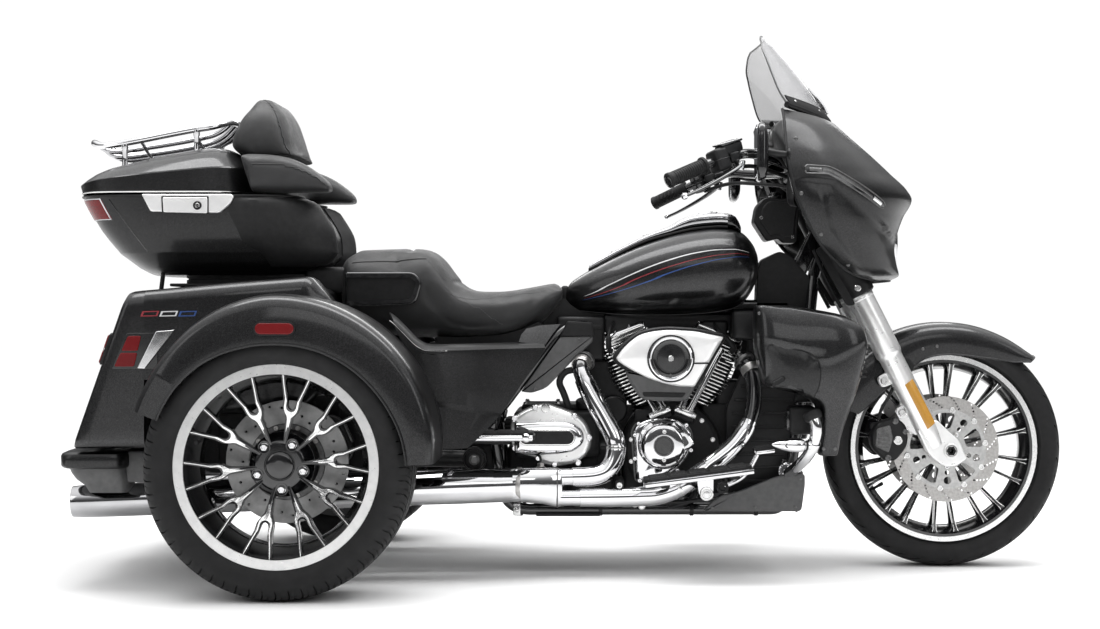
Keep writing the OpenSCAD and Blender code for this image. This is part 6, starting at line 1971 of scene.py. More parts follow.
# black plates each side behind the cylinders: painted shade filling the engine bay
pan = rounded([(450, 690), (588, 690), (604, 560), (554, 196), (404, 186), (398, 300), (392, 430), (424, 500), (450, 560)], [10, 10, 30, 20, 14, 20, 20, 20, 14], 5)
for flip in (1, -1):
    P.add(relief(pan, [(0, 100), (0, 105), (-1.5, 107), (-4, 108)], flip), "satin_black")
    for z in range(232, 660, 36):
        x0 = np.interp(z, [186, 300, 430, 500, 560, 690], [404, 398, 392, 424, 450, 450]) + 16
        x1 = np.interp(z, [196, 560, 690], [554, 604, 588]) - 18
        P.add(rbox((x0, min(-112 * flip, -105 * flip), z), (x1, max(-112 * flip, -105 * flip), z + 8), 2, 1), "satin_black")
    for x, z in ((416, 204), (540, 210), (466, 676), (574, 676)):
        P.add(capscrew((x, -107 * flip, z), (0, -flip, 0), 5, 4), "dark_steel")
P.add(rbox((408, -150, 612), (470, -62, 690), 12, 3), "satin_black", both=True)
P.add(rbox((-58, -84, 556), (72, 84, 674), 10, 3), "satin_black")
P.add(rbox((-52, -88, 640), (66, 88, 652), 3, 2), "plastic")
P.add(rbox((22, -62, 424), (132, 62, 560), 10, 3), "wrinkle_black")
P.add(rbox((70, -66, 628), (440, 66, 680), 8, 2), "satin_black")
P.add(rbox((196, -30, 452), (304, 60, 604), 10, 3), "wrinkle_black")
P.add(rbox((330, -70, 296), (444, 70, 442), 10, 3), "wrinkle_black")
P.add(rbox((372, -64, 430), (446, 64, 502), 10, 3), "wrinkle_black")
P.add(rbox((-46, -24, 706), (-24, 24, 757), 8, 3), "rubber")
# black plates under the seat: painted shade filling the gap there
P.add(relief(rounded([(-372, 588), (-112, 598), (-90, 650), (-104, 660), (-150, 639), (-200, 626), (-310, 619), (-372, 621)], 4, 3), [(0, -150), (0, 150)]), "satin_black")
P.add(relief(rounded([(-94, 648), (84, 656), (84, 679), (40, 682), (4, 690), (-20, 706), (-36, 724), (-54, 724), (-76, 695), (-104, 668)], 4, 3), [(0, -44), (0, 44)]), "satin_black")
horn = rounded([(196, 602), (304, 604), (320, 588), (286, 474), (250, 456), (214, 474), (180, 586)], [14, 14, 14, 24, 16, 24, 14], 6)
P.add(crown(horn, [(0, 118), (0, 150), (-2, 158), (-7, 163), (-14, 165)], 6, -1), "chrome")
P.add(relief(offset(horn, 3), [(0, 60), (0, 122)], -1), "satin_black")
for z, w in ((520, 44), (542, 58), (564, 70)):
    P.add(relief(stadium((250, z), w, 9, 10), [(0, 164), (0, 171.4), (-1, 172)], -1), "gloss_black")
# neck cover between the tank and the down tubes, liners inside the rear wheels
P.add(relief(rounded([(481, 692), (485, 800), (497, 828), (545, 850), (576, 838), (642, 760), (642, 708), (612, 692)], 8, 4), [(-2, -31), (0, -29), (0, 29), (-2, 31)]), "satin_black")
liner = rounded([(-940, 300), (-930, 470), (-900, 478), (-500, 478), (-470, 460), (-470, 300), (-500, 284), (-920, 284)], 12, 4)
for flip in (1, -1):
    P.add(relief(liner, [(0, 380), (0, 386), (-2, 388)], flip), "plastic")
    for x in range(-900, -480, 60):
        P.add(rbox((x, min(-391 * flip, -386 * flip), 300), (x + 8, max(-391 * flip, -386 * flip), 462), 2, 1), "plastic")
make("engine_bay_parts", P, "chassis")


# ---------------------------------------------------------------- front end: fairing, screen, lamp, fork, mudguard
from mathutils.bvhtree import BVHTree

coarse("mirror_glass", (0.78, 0.80, 0.82), (0.84, 0.86, 0.88), 0.05, 1.0, scale=6, grain=200, strength=0.0, var=0.02)
coarse("dial", (0.012, 0.012, 0.013), (0.020, 0.020, 0.022), 0.35, 0.0, scale=200, grain=1500, strength=0.08)


def cut_shell(grid, t, keep=None, inner=None):
    """Closed panel from a grid with some of its cells left out."""
    grid = arr(grid)
    m, n = grid.shape[:2]
    back = grid - normals(grid) * t if inner is None else arr(inner)
    if keep is None:
        keep = np.ones((m - 1, n - 1), bool)
    k = m * n
    f, once = [], {}
    for j in range(m - 1):
        for i in range(n - 1):
            if not keep[j, i]:
                continue
            q = (j * n + i, j * n + i + 1, (j + 1) * n + i + 1, (j + 1) * n + i)
            f.append(q)
            f.append(tuple(k + a for a in q[::-1]))
            for a, b in zip(q, q[1:] + q[:1]):
                if (b, a) in once:
                    del once[(b, a)]
                else:
                    once[(a, b)] = True
    for a, b in once:
        f.append((b, a, k + a, k + b))
    v = np.vstack([grid.reshape(-1, 3), back.reshape(-1, 3)])
    used = sorted({i for q in f for i in q})
    at = {i: j for j, i in enumerate(used)}
    return v[used], [tuple(at[i] for i in q) for q in f]


class Skin:
    """A surface that flank details are laid on: looks in from the right side."""

    def __init__(self, grid):
        v, f = loft(grid, False, False)
        self.tree = BVHTree.FromPolygons([tuple(q) for q in v], [tuple(q) for q in f])

    def at(self, x, z, off=0.0, frm=(0, -3000), d=(0, 1, 0)):
        o = Vector((x, frm[1], z))
        hit, nrm, _, _ = self.tree.ray_cast(o, Vector(d))
        if hit is None:
            hit, nrm, _, _ = self.tree.find_nearest(Vector((x, -400, z)))
        h, n = arr(hit), arr(nrm)
        if n[1] > 0:
            n = -n
        return h + n * off

    def band(self, path, widths, off, rise, k=5):
        """Raised band along (x, z) points with a half width for each."""
        p = arr(path)
        tg = np.gradient(p, axis=0)
        tg /= np.linalg.norm(tg, axis=1, keepdims=True)
        nr = np.stack([-tg[:, 1], tg[:, 0]], 1)
        g = []
        for q, n, w in zip(p, nr, np.broadcast_to(arr(widths), (len(p),))):
            g.append([self.at(*(q + n * w * t), off + rise * (1 - abs(t) ** 4)) for t in np.linspace(-1, 1, k)])
        return shell(arr(g), 2.5)


def two_way(n, p=2.0):
    t = np.linspace(0, 1, n)
    h = 1 - (1 - t) ** p
    return np.concatenate([-h[:0:-1], h])


# ---- fairing shell
SHELL = arr([[770, 842, 766, 795, 140], [783, 864, 783, 714, 240], [815, 855, 812, 662, 305], [851, 849, 846, 622, 348], [892, 856, 884, 592, 378],
             [933, 870, 924, 570, 398], [984, 895, 972, 548, 409], [1006, 883, 998, 540, 412], [1048, 839, 1040, 530, 406],
             [1089, 795, 1082, 525, 390], [1130, 748, 1128, 524, 362], [1156, 718, 1170, 525, 330], [1176, 698, 1204, 525, 286]])
rows = fine(SHELL, 84, [0, 1])
U = two_way(48)
W = (1 - np.abs(U) ** 2.4) ** (1 / 1.9)
grid = np.stack([rows[:, 3:4] + (rows[:, 1:2] - rows[:, 3:4]) * W, rows[:, 4:5] * U, rows[:, 2:3] + (rows[:, 0:1] - rows[:, 2:3]) * W], -1)
nr = normals(grid)
nr *= np.sign(np.sum(nr * (grid - arr((560, 0, 960))), -1, keepdims=True))


def to_line(x, z, pts):
    """Distance to a polyline in the side view, and which side of it."""
    p = arr(pts)
    best, sign = np.full(x.shape, 1e9), np.zeros(x.shape)
    for a, b in zip(p[:-1], p[1:]):
        d = b - a
        t = np.clip(((x - a[0]) * d[0] + (z - a[1]) * d[1]) / (d @ d), 0, 1)
        ex, ez = x - a[0] - t * d[0], z - a[1] - t * d[1]
        r = np.hypot(ex, ez)
        s = np.sign(d[0] * ez - d[1] * ex)
        sign = np.where(r < best, s, sign)
        best = np.minimum(best, r)
    return best, sign


X, Y, Z = grid[..., 0], np.abs(grid[..., 1]), grid[..., 2]
flank = np.clip((Y - 90) / 120, 0, 1)
fade = np.clip((X - 540) / 60, 0, 1) * np.clip((Z - 782) / 40, 0, 1)
d1, s1 = to_line(X, Z, [(560, 1012), (640, 1006), (712, 956), (790, 900)])
d2, s2 = to_line(X, Z, [(628, 945), (640, 900), (684, 846), (742, 790)])
dip = -9.0 * np.exp(-((d1 / 34) ** 2)) * (s1 < 0) - 9.0 * np.exp(-((d1 / 5) ** 2)) * (s1 >= 0)
dip += -8.0 * np.exp(-((d2 / 40) ** 2)) * (s2 > 0) - 8.0 * np.exp(-((d2 / 7) ** 2)) * (s2 <= 0)
lip = np.clip((806 - Z) / 30, 0, 1)
grid = grid + nr * (dip * flank * fade)[..., None]
cx = 0.25 * (grid[1:, 1:] + grid[:-1, 1:] + grid[1:, :-1] + grid[:-1, :-1])
hole = (np.hypot(cx[..., 1], cx[..., 2] - 872) < 74) & (cx[..., 0] > 790)
P = Piece()
inner = grid - nr * 4.0
# the fairing shell takes the darker copy of the paint: painted shade
P.add(cut_shell(grid, 4.0, ~hole, inner), "fairing_paint")
edge = np.vstack([grid[::-1, 0], grid[0, 1:-1], grid[:, -1]])
P.add(tube(edge - arr((2.0, 0, 0)), 3.6, 10), "rubber")
make("fairing_shell_paint", P, "steering", "fairing_shell", sharp=60, recalc=True)

skin = Skin(grid[:, : len(U) // 2 + 1])
P = Piece()
ln = spline([(566, 1041), (600, 1040), (632, 1037), (676, 1014), (726, 986), (779, 954)], 60)
tt = np.linspace(0, 1, 60)
wid = pchip([0, 0.03, 0.3, 0.75, 0.97, 1], [4, 9.5, 9.0, 9.5, 8.5, 3], tt)
P.add(skin.band(ln, wid, -0.4, 1.2), "gloss_black", both=True)
tg = np.gradient(ln, axis=0)
tg /= np.linalg.norm(tg, axis=1, keepdims=True)
nz = np.stack([-tg[:, 1], tg[:, 0]], 1)
for s in (1, -1):
    rail = arr([skin.at(*(q + n * (w + 0.8) * s), 0.6) for q, n, w in zip(ln, nz, wid)])
    P.add(tube(rail, 1.9, 10), "dark_steel", both=True)
P.add(skin.band(ln[4:16], 4.2, 0.9, 1.0), "dark_steel", both=True)
P.add(skin.band(ln[16:52], 2.8, 0.6, 1.6), "dark_steel", both=True)
P.add(skin.band(ln[52:58], 4.6, 0.9, 1.2), "bright_silver", both=True)
# fixing screws on the rear edge
for x, z in ((548, 1120), (556, 980), (610, 880), (690, 806)):
    q = skin.at(x, z, 0.2)
    P.add(dome(q, (-0.1, -1, 0.05), 5.2, 2.6), "dark_steel")
    P.add(dome(q * arr((1, -1, 1)), (-0.1, 1, 0.05), 5.2, 2.6), "dark_steel")
make("fairing_side_slots", P, "steering")

# ---- inner fairing with dials and speakers
DASH = arr([[1104, 520, 880, 612, 346], [1128, 508, 960, 572, 380], [1152, 506, 1040, 552, 384], [1172, 514, 1110, 548, 356], [1186, 534, 1162, 550, 312],
            [1184, 600, 1186, 556, 284], [1176, 668, 1192, 564, 264]])
rows = fine(DASH, 54, [0, 1])
U2 = np.linspace(-1, 1, 81)
t = np.clip((np.abs(U2) - 0.6) / 0.4, 0, 1)
W2 = 1 - t * t * (3 - 2 * t)
dash = np.stack([rows[:, 3:4] + (rows[:, 1:2] - rows[:, 3:4]) * W2, rows[:, 4:5] * U2, rows[:, 2:3] + (rows[:, 0:1] - rows[:, 2:3]) * W2], -1)
P = Piece()
P.add(shell(dash, 5.0), "wrinkle_black")
# liner from the shell's edge in to the panel
for s in (0, -1):
    e1, e2 = grid[:, s], dash[:, s]
    zz = np.linspace(886, 1188, 40)
    o1 = np.argsort(e1[:, 2])
    o2 = np.argsort(e2[:, 2])
    a = np.stack([np.interp(zz, e1[o1, 2], e1[o1, k]) for k in (0, 1)] + [zz], 1)
    b = np.stack([np.interp(zz, e2[o2, 2], e2[o2, k]) for k in (0, 1)] + [zz], 1)
    a[:, 1] *= 0.985
    g = [[lerp(p, q, w) + arr((-16 * math.sin(PI * w), 0, 0)) for w in np.linspace(0, 1, 9)] for p, q in zip(a, b)]
    P.add(shell(arr(g), 3.0), "gloss_black")
look = unit((-0.98, 0, 0.18))


def dial(y, z, r, mat="chrome"):
    i = np.unravel_index(np.argmin(np.abs(dash[..., 1] - y) + np.abs(dash[..., 2] - z)), dash.shape[:2])
    o = dash[i] + look * 1.0
    o[1], o[2] = y, z
    P.add(lathe([(0, -8), (r + 5, -8), (r + 5, 3), (r + 3.6, 5.6), (r + 1.2, 6.2), (r, 4.6), (r - 1, 1.2), (0, 1.2)], o, look, 44), mat)
    P.add(lathe([(0, 1.0), (r - 0.8, 1.0), (r - 0.8, 1.8), (0, 1.8)], o, look, 44), "dial")
    u, w2, w = axes(look)
    for k in range(11):
        a = math.radians(-40 + 26 * k)
        c, e = o + (r * 0.72) * (math.cos(a) * u + math.sin(a) * w2) + look * 2.0, o + (r * 0.88) * (math.cos(a) * u + math.sin(a) * w2) + look * 2.0
        P.add(strip([c, e], 1.3, 0.5, look), "white_print")
    a = math.radians(20)
    P.add(strip([o + look * 2.6, o + (r * 0.76) * (math.cos(a) * u + math.sin(a) * w2) + look * 2.6], 1.6, 0.8, look), "red_print")
    P.add(lathe([(0, 0), (4, 0), (3.4, 2.4), (0, 2.6)], o + look * 1.8, look, 16), "satin_black")


for y in (-52, 52):
    dial(y, 1139, 33)
for y in (-124, 124, -178, 178):
    dial(y, 1139, 20, "dark_steel")
# speakers low on each side
for s in (-1, 1):
    d = unit((-0.9, -0.32 * s, 0.12))
    o = arr((553, 300 * s, 1020))
    P.add(lathe([(0, -14), (66, -14), (66, 2), (63, 5), (58, 5), (56, 2), (40, -1), (20, 1), (0, 2)], o, d, 52), "satin_black")
    for r in (12, 22, 32, 42, 51):
        P.add(lathe([(r - 1.6, 1), (r + 1.6, 1), (r + 1.2, 4.2), (r - 1.2, 4.2), (r - 1.6, 1)], o, d, 44), "dark_steel")
    u, w2, w = axes(d)
    for k in range(6):
        a = PI * k / 3
        P.add(strip([o + d * 4, o + 55 * (math.cos(a) * u + math.sin(a) * w2) + d * 4], 3, 2, d), "satin_black")
    # side pods at the edge of the panel
    P.add(rbox((528, s * 346 - 18, 1046), (556, s * 346 + 18, 1100), 12, 4), "gloss_black")
# screen on its hood, switch row
P.add(rbox((500, -74, 1080), (520, 74, 1102), 5, 3), "satin_black")
for y in np.linspace(-60, 60, 7):
    P.add(rbox((496.5, y - 7, 1084), (502, y + 7, 1098), 1.6, 2), "grey_plastic")
P.add(tube([(506, -190, 1176), (496, -120, 1188), (492, 0, 1192), (496, 120, 1188), (506, 190, 1176)], 7, 12), "wrinkle_black")
make("inner_fairing_panel", P, "steering", "inner_fairing", sharp=46)

# ---- windshield
GLASS = arr([[1194, 676, 1222, 532, 286], [1235, 652, 1250, 516, 280], [1290, 615, 1296, 500, 262], [1340, 577, 1342, 486, 240], [1385, 541, 1376, 478, 214],
             [1412, 519, 1398, 478, 178], [1426, 508, 1412, 482, 140]])
rows = fine(GLASS, 46, [0, 1])
U3 = two_way(30, 1.5)
W3 = 1 - np.abs(U3) ** 2.1
pane = np.stack([rows[:, 3:4] + (rows[:, 1:2] - rows[:, 3:4]) * W3, rows[:, 4:5] * U3, rows[:, 2:3] + (rows[:, 0:1] - rows[:, 2:3]) * W3], -1)
P = Piece()
P.add(shell(pane, 4.0), "screen")
make("windshield_pane", P, "steering", "windshield", sharp=60)
P = Piece()
rim = np.vstack([pane[:, 0], pane[-1, 1:-1], pane[::-1, -1]])
P.add(tube(rim, 2.3, 10), "dark_steel")
base = pane[0] + arr((2, 0, -6))
P.add(tube(base, 8.5, 12, oval=1.0), "satin_black")
trim = np.stack([pane[0] + arr((9, 0, -13)), pane[0] + arr((7, 0, 2)), pane[2] + arr((4, 0, 3)), pane[3] + arr((3, 0, 6))], 0)
P.add(shell(trim, 3.0), "plastic")
for i in (6, 17, 29, 41, 52):
    q = pane[2, i] + arr((6, 0, 0))
    d = unit((0.8, 0.5 * U3[i], 0.35))
    P.add(dome(q, d, 7, 4), "polished")
# splitter vent in the middle with its chrome flap
vent = []
for h in np.linspace(0, 1, 12):
    j = int(4 + h * 13)
    vent.append([pane[j, 29] + arr((3.2 + 6 * math.sin(PI * h), y, 0)) for y in np.linspace(-1, 1, 13) * lerp(76, 46, h)])
P.add(shell(arr(vent), 3.0), "gloss_black")
P.add(tube(arr(vent)[:, 0] + arr((1.5, 0, 0)), 2.4, 8), "chrome")
P.add(tube(arr(vent)[:, -1] + arr((1.5, 0, 0)), 2.4, 8), "chrome")
P.add(tube(arr(vent)[-1] + arr((1.5, 0, 0)), 2.4, 8), "chrome")
make("windshield_trim", P, "steering")

# ---- headlamp
P = Piece()
AX = (1, 0, 0)
P.add(lathe([(0, 758), (50, 758), (62, 768), (72, 800), (74, 826), (72, 828), (68, 812), (56, 792), (40, 782), (0, 780)], (0, 0, 872), AX, 60), "polished")
P.add(lathe([(70, 822), (84, 828), (87, 836), (87, 846), (83, 853), (77, 856), (71, 852), (70, 840), (70, 822)], (0, 0, 872), AX, 72), "chrome")
for y, z in ((-26, 884), (26, 884), (0, 846)):
    P.add(lathe([(0, -30), (21, -30), (24, -8), (24, 2), (22, 5), (19, 5), (18, 1), (12, 6), (0, 9)], (818, y, z), AX, 36), "chrome")
    P.add(lathe([(0, 2), (17, 1), (14, 7), (8, 11), (0, 12)], (817, y, z), AX, 28), "clear_lens")
P.add(rbox((792, -62, 866), (810, 62, 870), 1.5, 1), "dark_steel")
make("headlamp_bowl", P, "steering", "headlamp")
P = Piece()
t = np.linspace(0, 1, 12)
prof = [(71 * math.sin(q * PI / 2), 846 + 16 * math.cos(q * PI / 2)) for q in t]
P.add(lathe([(0, 862)] + prof[1:] + [(71, 842)] + [(69 * math.sin(q * PI / 2), 843 + 15.5 * math.cos(q * PI / 2)) for q in t[::-1][:-1]] + [(0, 858.5)], (0, 0, 872), AX, 60), "clear_lens")
make("headlamp_lens", P, "steering")

# ---- fork: stem, clamps, upper tubes and covers
P = Piece()
clampo = arr([[34, -45], [34, 45], [2, 160], [-68, 160], [-68, 95], [-18, 60], [-18, -60], [-68, -95], [-68, -160], [2, -160]])
for z in (610, 776):
    v, f = plate([rounded(clampo, [14, 14, 24, 26, 18, 30, 30, 18, 26, 24], 6)], 24, 4, 2)
    P.add((steer(v + arr((0, 0, z))), f), "satin_black")
    for y in (-122, 122):
        v, f = lathe([(0, 13), (30, 13), (34, 10), (34, -10), (30, -13), (0, -13)], (-34, y, z), (0, 0, 1), 36)
        P.add((steer(v), f), "satin_black")
        p0 = steer(arr([[-72, y - 14, z]]))[0]
        P.add(capscrew(p0, -AHEAD, 5, 6), "polished")
        p0 = steer(arr([[-72, y + 14, z]]))[0]
        P.add(capscrew(p0, -AHEAD, 5, 6), "polished")
P.add(lathe([(0, 596), (26, 596), (26, 792), (22, 796), (0, 796)], PIVOT, UP, 36), "dark_steel")
P.add(lathe([(0, 788), (24, 788), (24, 797), (20, 801), (0, 802)], PIVOT, UP, 6), "chrome")
for y in (-122, 122):
    v, f = lathe([(25, 470), (25, 786), (23, 792), (0, 792), (0, 470)], (-34, y, 0), (0, 0, 1), 36)
    P.add((steer(v), f), "satin_black")
    # lower covers, wedge shaped, with their screws
    rings = []
    for z, ax, bx, hy in ((478, -66, 6, 34), (482, -70, 10, 37), (540, -74, 14, 38), (596, -74, 12, 37), (602, -70, 8, 34)):
        q = arr([[lerp(ax, bx, 0.5) + (bx - ax) / 2 * spow(np.cos(a), 0.8), y + hy * spow(np.sin(a), 0.9), z] for a in 2 * PI * np.arange(36) / 36])
        rings.append(steer(q))
    P.add(loft(rings), "satin_black")
    s = -1 if y < 0 else 1
    for z in (500, 566):
        P.add(lathe([(0, 0), (9, 0), (9, 4), (7, 6), (4.5, 6), (4, 3), (0, 3)], steer(arr([[-34, y + s * 36.5, z]]))[0], (0, s, 0), 22), "polished")
    v, f = lathe([(0, 786), (16, 786), (16, 798), (14, 802), (0, 803)], (-34, y, 0), (0, 0, 1), 6)
    P.add((steer(v), f), "chrome")
for y in (-44, 44):
    v, f = lathe([(0, 786), (17, 786), (15, 792), (13, 800), (13, 818), (16, 824), (0, 824)], (-3, y, 0), (0, 0, 1), 28)
    P.add((steer(v), f), "satin_black")
# brace plates behind the lower covers
for s in (-1, 1):
    lp = rounded([(-80, 470), (-58, 462), (-52, 640), (-86, 640)], 8, 4)
    v = np.vstack([np.stack([lp[:, 0], np.full(len(lp), s * k), lp[:, 1]], 1) for k in (146.0, 151.0)])
    n = len(lp)
    P.add((steer(v), [tuple(range(n)), tuple(range(2 * n - 1, n - 1, -1))] + [(i, i + n, (i + 1) % n + n, (i + 1) % n) for i in range(n)]), "satin_black")
# brake hose down each leg
P.add(tube(ease([steer(arr([q]))[0] for q in ((-84, 104, 640), (-92, 112, 560), (-90, 112, 470))], 3), 5, 12), "rubber", both=True)
make("fork_upper", P, "steering", "fork")

# ---- sliders
P = Piece()
for s in (-1, 1):
    y = 122 * s
    v, f = lathe([(0, 30), (26, 30), (29.5, 60), (31, 80), (31, 292), (31.6, 298), (34.6, 304), (35.4, 308), (35.4, 462), (35, 466), (36.4, 468), (36.4, 476), (34.4, 479), (26, 479.5), (0, 479.5)], (-34, y, 0), (0, 0, 1), 52)
    P.add((steer(v), f), "bright_silver")
    v, f = lathe([(26, 476), (30, 479), (32, 483), (26, 488), (26, 476)], (-34, y, 0), (0, 0, 1), 40)
    P.add((steer(v), f), "rubber")
    # axle clamp: rounded slab around the bore
    lp = rounded([(-62, 96), (-64, 20), (-44, -24), (-16, -38), (22, -34), (26, 16), (14, 44), (-4, 96)], [10, 20, 18, 10, 10, 14, 16, 8], 6)
    bore = circle((-7.1, 3.6), 15.2, 36)
    v, f = plate([lp, bore], 44, 4, 3)
    P.add((steer(np.stack([v[:, 0], y + v[:, 2], v[:, 1]], 1)), f), "bright_silver")
    for z in (-26, 34):
        P.add(hexhead(steer(arr([[24, y, z]]))[0], AHEAD, 5, 5), "steel")
    # rear lugs for the caliper bracket
    for x, z in ((-72, 150), (-76, 246)):
        lp = rounded([(x - 16, z - 15), (x + 30, z - 19), (x + 30, z + 19), (x - 16, z + 15)], [12, 4, 4, 12], 6)
        v, f = plate([lp, circle((x - 2, z), 5, 20)], 18, 2.5, 2)
        P.add((steer(np.stack([v[:, 0], s * 112 + v[:, 2], v[:, 1]], 1)), f), "bright_silver")
        P.add(lathe([(0, 0), (10, 0), (10, 3), (8, 8), (4.6, 8), (4, 5), (0, 5)], steer(arr([[x - 2, s * 121, z]]))[0], (0, s, 0), 22), "polished")
    # flat long reflector on the outer face
    g = []
    for z in np.linspace(86, 216, 16):
        e = min(1, (z - 86) / 3, (216 - z) / 3)
        row = []
        for a in np.linspace(-22, 26, 9):
            q = math.radians(a + 14)
            rr = 31.2 + 1.6 * min(1, e + 0.2)
            row.append((-34 + rr * math.sin(q), s * (122 + rr * math.cos(q)), z + 6 * math.sin(q)))
        g.append(steer(arr(row)))
    P.add(shell(arr(g), 2.0), "reflector")
make("fork_slider_pair", P, "steering", "fork_sliders")

# ---- axle
P = Piece()
for s in (-1, 1):
    P.add(lathe([(8.2, 92), (14.8, 92), (14.8, 143), (13.5, 146), (10.5, 146), (9, 144), (8.2, 140), (8.2, 92)], (985, 0, 319), (0, s, 0), 40), "polished")
    P.add(lathe([(14.9, 141), (20.5, 141), (20.5, 146.4), (19, 148.4), (16, 148.4), (14.9, 147), (14.9, 141)], (985, 0, 319), (0, s, 0), 40), "bright_silver")
    P.add(lathe([(8.3, 134), (13.2, 134), (13.2, 147.2), (8.3, 147.2), (8.3, 134)], (985, 0, 319), (0, s, 0), 6), "satin_black")
    P.add(lathe([(8.2, 78), (19, 78), (19, 100), (8.2, 100), (8.2, 78)], (985, 0, 319), (0, s, 0), 36), "dark_steel")
make("front_axle_ends", P, "steering", "front_axle")

# ---- mudguard
MUD = arr([[46, 346, 22], [52, 344, 48], [60, 343, 66], [68, 342, 78], [76, 341, 84], [86, 340, 86], [96, 340, 88], [104, 340, 92], [112, 340, 104],
           [120, 341, 112], [128, 342, 116], [136, 343, 116], [144, 344, 112], [152, 345, 104], [158, 346, 92]])
SEC = arr([[1, 83], [0.62, 84], [0.3, 80], [0.12, 66], [0.03, 42], [0, 14]])
q = fine(MUD, 76, [0])
ss = np.linspace(0, 1, 22)
key = np.linspace(0, 1, 6)
sh, wy = pchip(key, SEC[:, 0], ss), pchip(key, SEC[:, 1], ss)
sh = np.concatenate([sh, sh[::-1]])
wy = np.concatenate([-wy, wy[::-1]])
a = np.radians(q[:, 0])[:, None]
r = q[:, 1:2] - sh[None] * q[:, 2:3]
mud = np.stack([985 + r * np.cos(a), np.broadcast_to(wy[None], r.shape), 319 + r * np.sin(a)], -1)
back = np.stack([985 + (r - 3.2 * (1 - sh * 0.7)) * np.cos(a), np.broadcast_to((wy * (1 - 0.034 * np.minimum(1, sh * 3)))[None], r.shape), 319 + (r - 3.2 * (1 - sh * 0.7)) * np.sin(a)], -1)
P = Piece()
P.add(shell(mud, 3, back), "paint")
hem = np.vstack([mud[:, 0], mud[-1, 1:-1], mud[::-1, -1], mud[0, -2:0:-1]])
P.add(tube(hem[:-1], 2.3, 8, closed=True), "paint")
for x, z in ((922, 587), (960, 594)):
    P.add(dome((x, -83, z), (0, -1, 0), 4.6, 2.6), "dark_steel")
    P.add(dome((x, 83, z), (0, 1, 0), 4.6, 2.6), "dark_steel")
for s in (-1, 1):
    lp = rounded([(842, 560), (884, 562), (900, 540), (884, 516), (852, 520)], 8, 4)
    v, f = plate([lp], 5, 1.2)
    P.add((np.stack([v[:, 0], s * 88 + v[:, 2], v[:, 1]], 1), f), "satin_black")
make("mudguard_front", P, "steering", "front_fender", sharp=60)

# ---- front calipers
P = Piece()
cal = rounded([(796, 392), (844, 408), (872, 384), (877, 352), (872, 326), (845, 292), (817, 289), (786, 318), (779, 330), (777, 360)], [8, 10, 12, 12, 12, 10, 10, 8, 8, 10], 5)
win = rounded([(792, 376), (828, 386), (836, 352), (824, 312), (788, 330)], 6, 4)
for s in (1, -1):
    P.add(relief(cal, [(0, 88), (0, 112), (-2, 117), (-6, 120)], s), "satin_black")
    P.add(relief(win, [(0, 118), (0, 121), (-2, 122.6)], s), "dark_steel")
    for k in range(5):
        z = 326 + 11 * k
        P.add(rbox((796, (119.5 if s < 0 else -124.5), z), (826, (124.5 if s < 0 else -119.5), z + 6), 1.2, 1), "dark_steel")
    for x, z, r in ((842, 396, 6), (849, 345, 9.5), (823, 299, 6), (868, 368, 5)):
        P.add(lathe([(0, 0), (r + 2, 0), (r + 2, 2.4), (r, 3.4), (r, 7), (r * 0.55, 7), (r * 0.5, 4.5), (0, 4.5)], (x, -s * 119, z), (0, -s, 0), 24), "polished" if r > 6 else "dark_steel")
    # inner half, pads and bracket back to the leg
    P.add(relief(inset(cal, 0.94), [(0, 60), (0, 68)], s), "satin_black")
    P.add(rbox((782, min(-s * 66, -s * 90), 372), (800, max(-s * 66, -s * 90), 390), 3, 2), "satin_black")
    br = rounded([(846, 410), (862, 462), (884, 440), (896, 392), (918, 372), (902, 356), (872, 372)], 8, 5)
    P.add(relief(br, [(0, 98), (0, 108), (-1.5, 110.5)], s), "bright_silver")
    for x, z in ((862, 448), (874, 424), (902, 368)):
        P.add(capscrew((x, -s * 110, z), (0, -s, 0), 6, 6), "polished")
    P.add(tube(ease([(800, -s * 104, 400), (806, -s * 110, 430), (832, -s * 116, 470), (846, -s * 112, 520)], 3), 4.5, 12), "rubber")
make("front_caliper_pair", P, "steering", "front_calipers")


# ---------------------------------------------------------------- lower fairings, guard, boards, controls, rear running gear
def local(o, ex, ez):
    """Own axes at o: x along ex, z as near to ez as it can be."""
    ex = unit(ex)
    ez = unit(arr(ez) - ex * np.dot(ez, ex))
    ey = np.cross(ez, ex)
    m = np.stack([ex, ey, ez])
    return lambda vf: (arr(o) + arr(vf[0]) @ m, vf[1])


def inside(x, z, lp):
    lp = arr(lp)
    res = np.zeros(x.shape, bool)
    for a, b in zip(lp, np.roll(lp, -1, 0)):
        hit = ((a[1] > z) != (b[1] > z)) & (x < (b[0] - a[0]) * (z - a[1]) / (b[1] - a[1] + 1e-12) + a[0])
        res ^= hit
    return res


LOWER = arr([[321, 613, 660, -262, -330], [370, 612, 668, -256, -350], [415, 610, 680, -250, -370], [446, 604, 690, -246, -385], [480, 556, 702, -243, -398],
             [500, 474, 708, -242, -404], [545, 458, 720, -240, -408], [600, 448, 731, -240, -406], [640, 446, 722, -242, -400], [675, 446, 676, -250, -390],
             [702, 448, 540, -270, -372]])
rows = pchip(LOWER[:, 0], LOWER, np.concatenate([[321, 322.5, 326], np.linspace(332, 694, 60), [698, 701, 702]]))
ang = 2 * PI * (np.arange(128) + 0.5) / 128
c, s = spow(np.cos(ang), 0.55), spow(np.sin(ang), 0.55)
shut = np.ones(len(rows))
shut[:3] = (0.90, 0.96, 0.99)
shut[-3:] = (0.985, 0.95, 0.88)
xm, hx = (rows[:, 1] + rows[:, 2]) / 2, (rows[:, 2] - rows[:, 1]) / 2 * shut
ym, hy = (rows[:, 3] + rows[:, 4]) / 2, (rows[:, 3] - rows[:, 4]) / 2 * shut
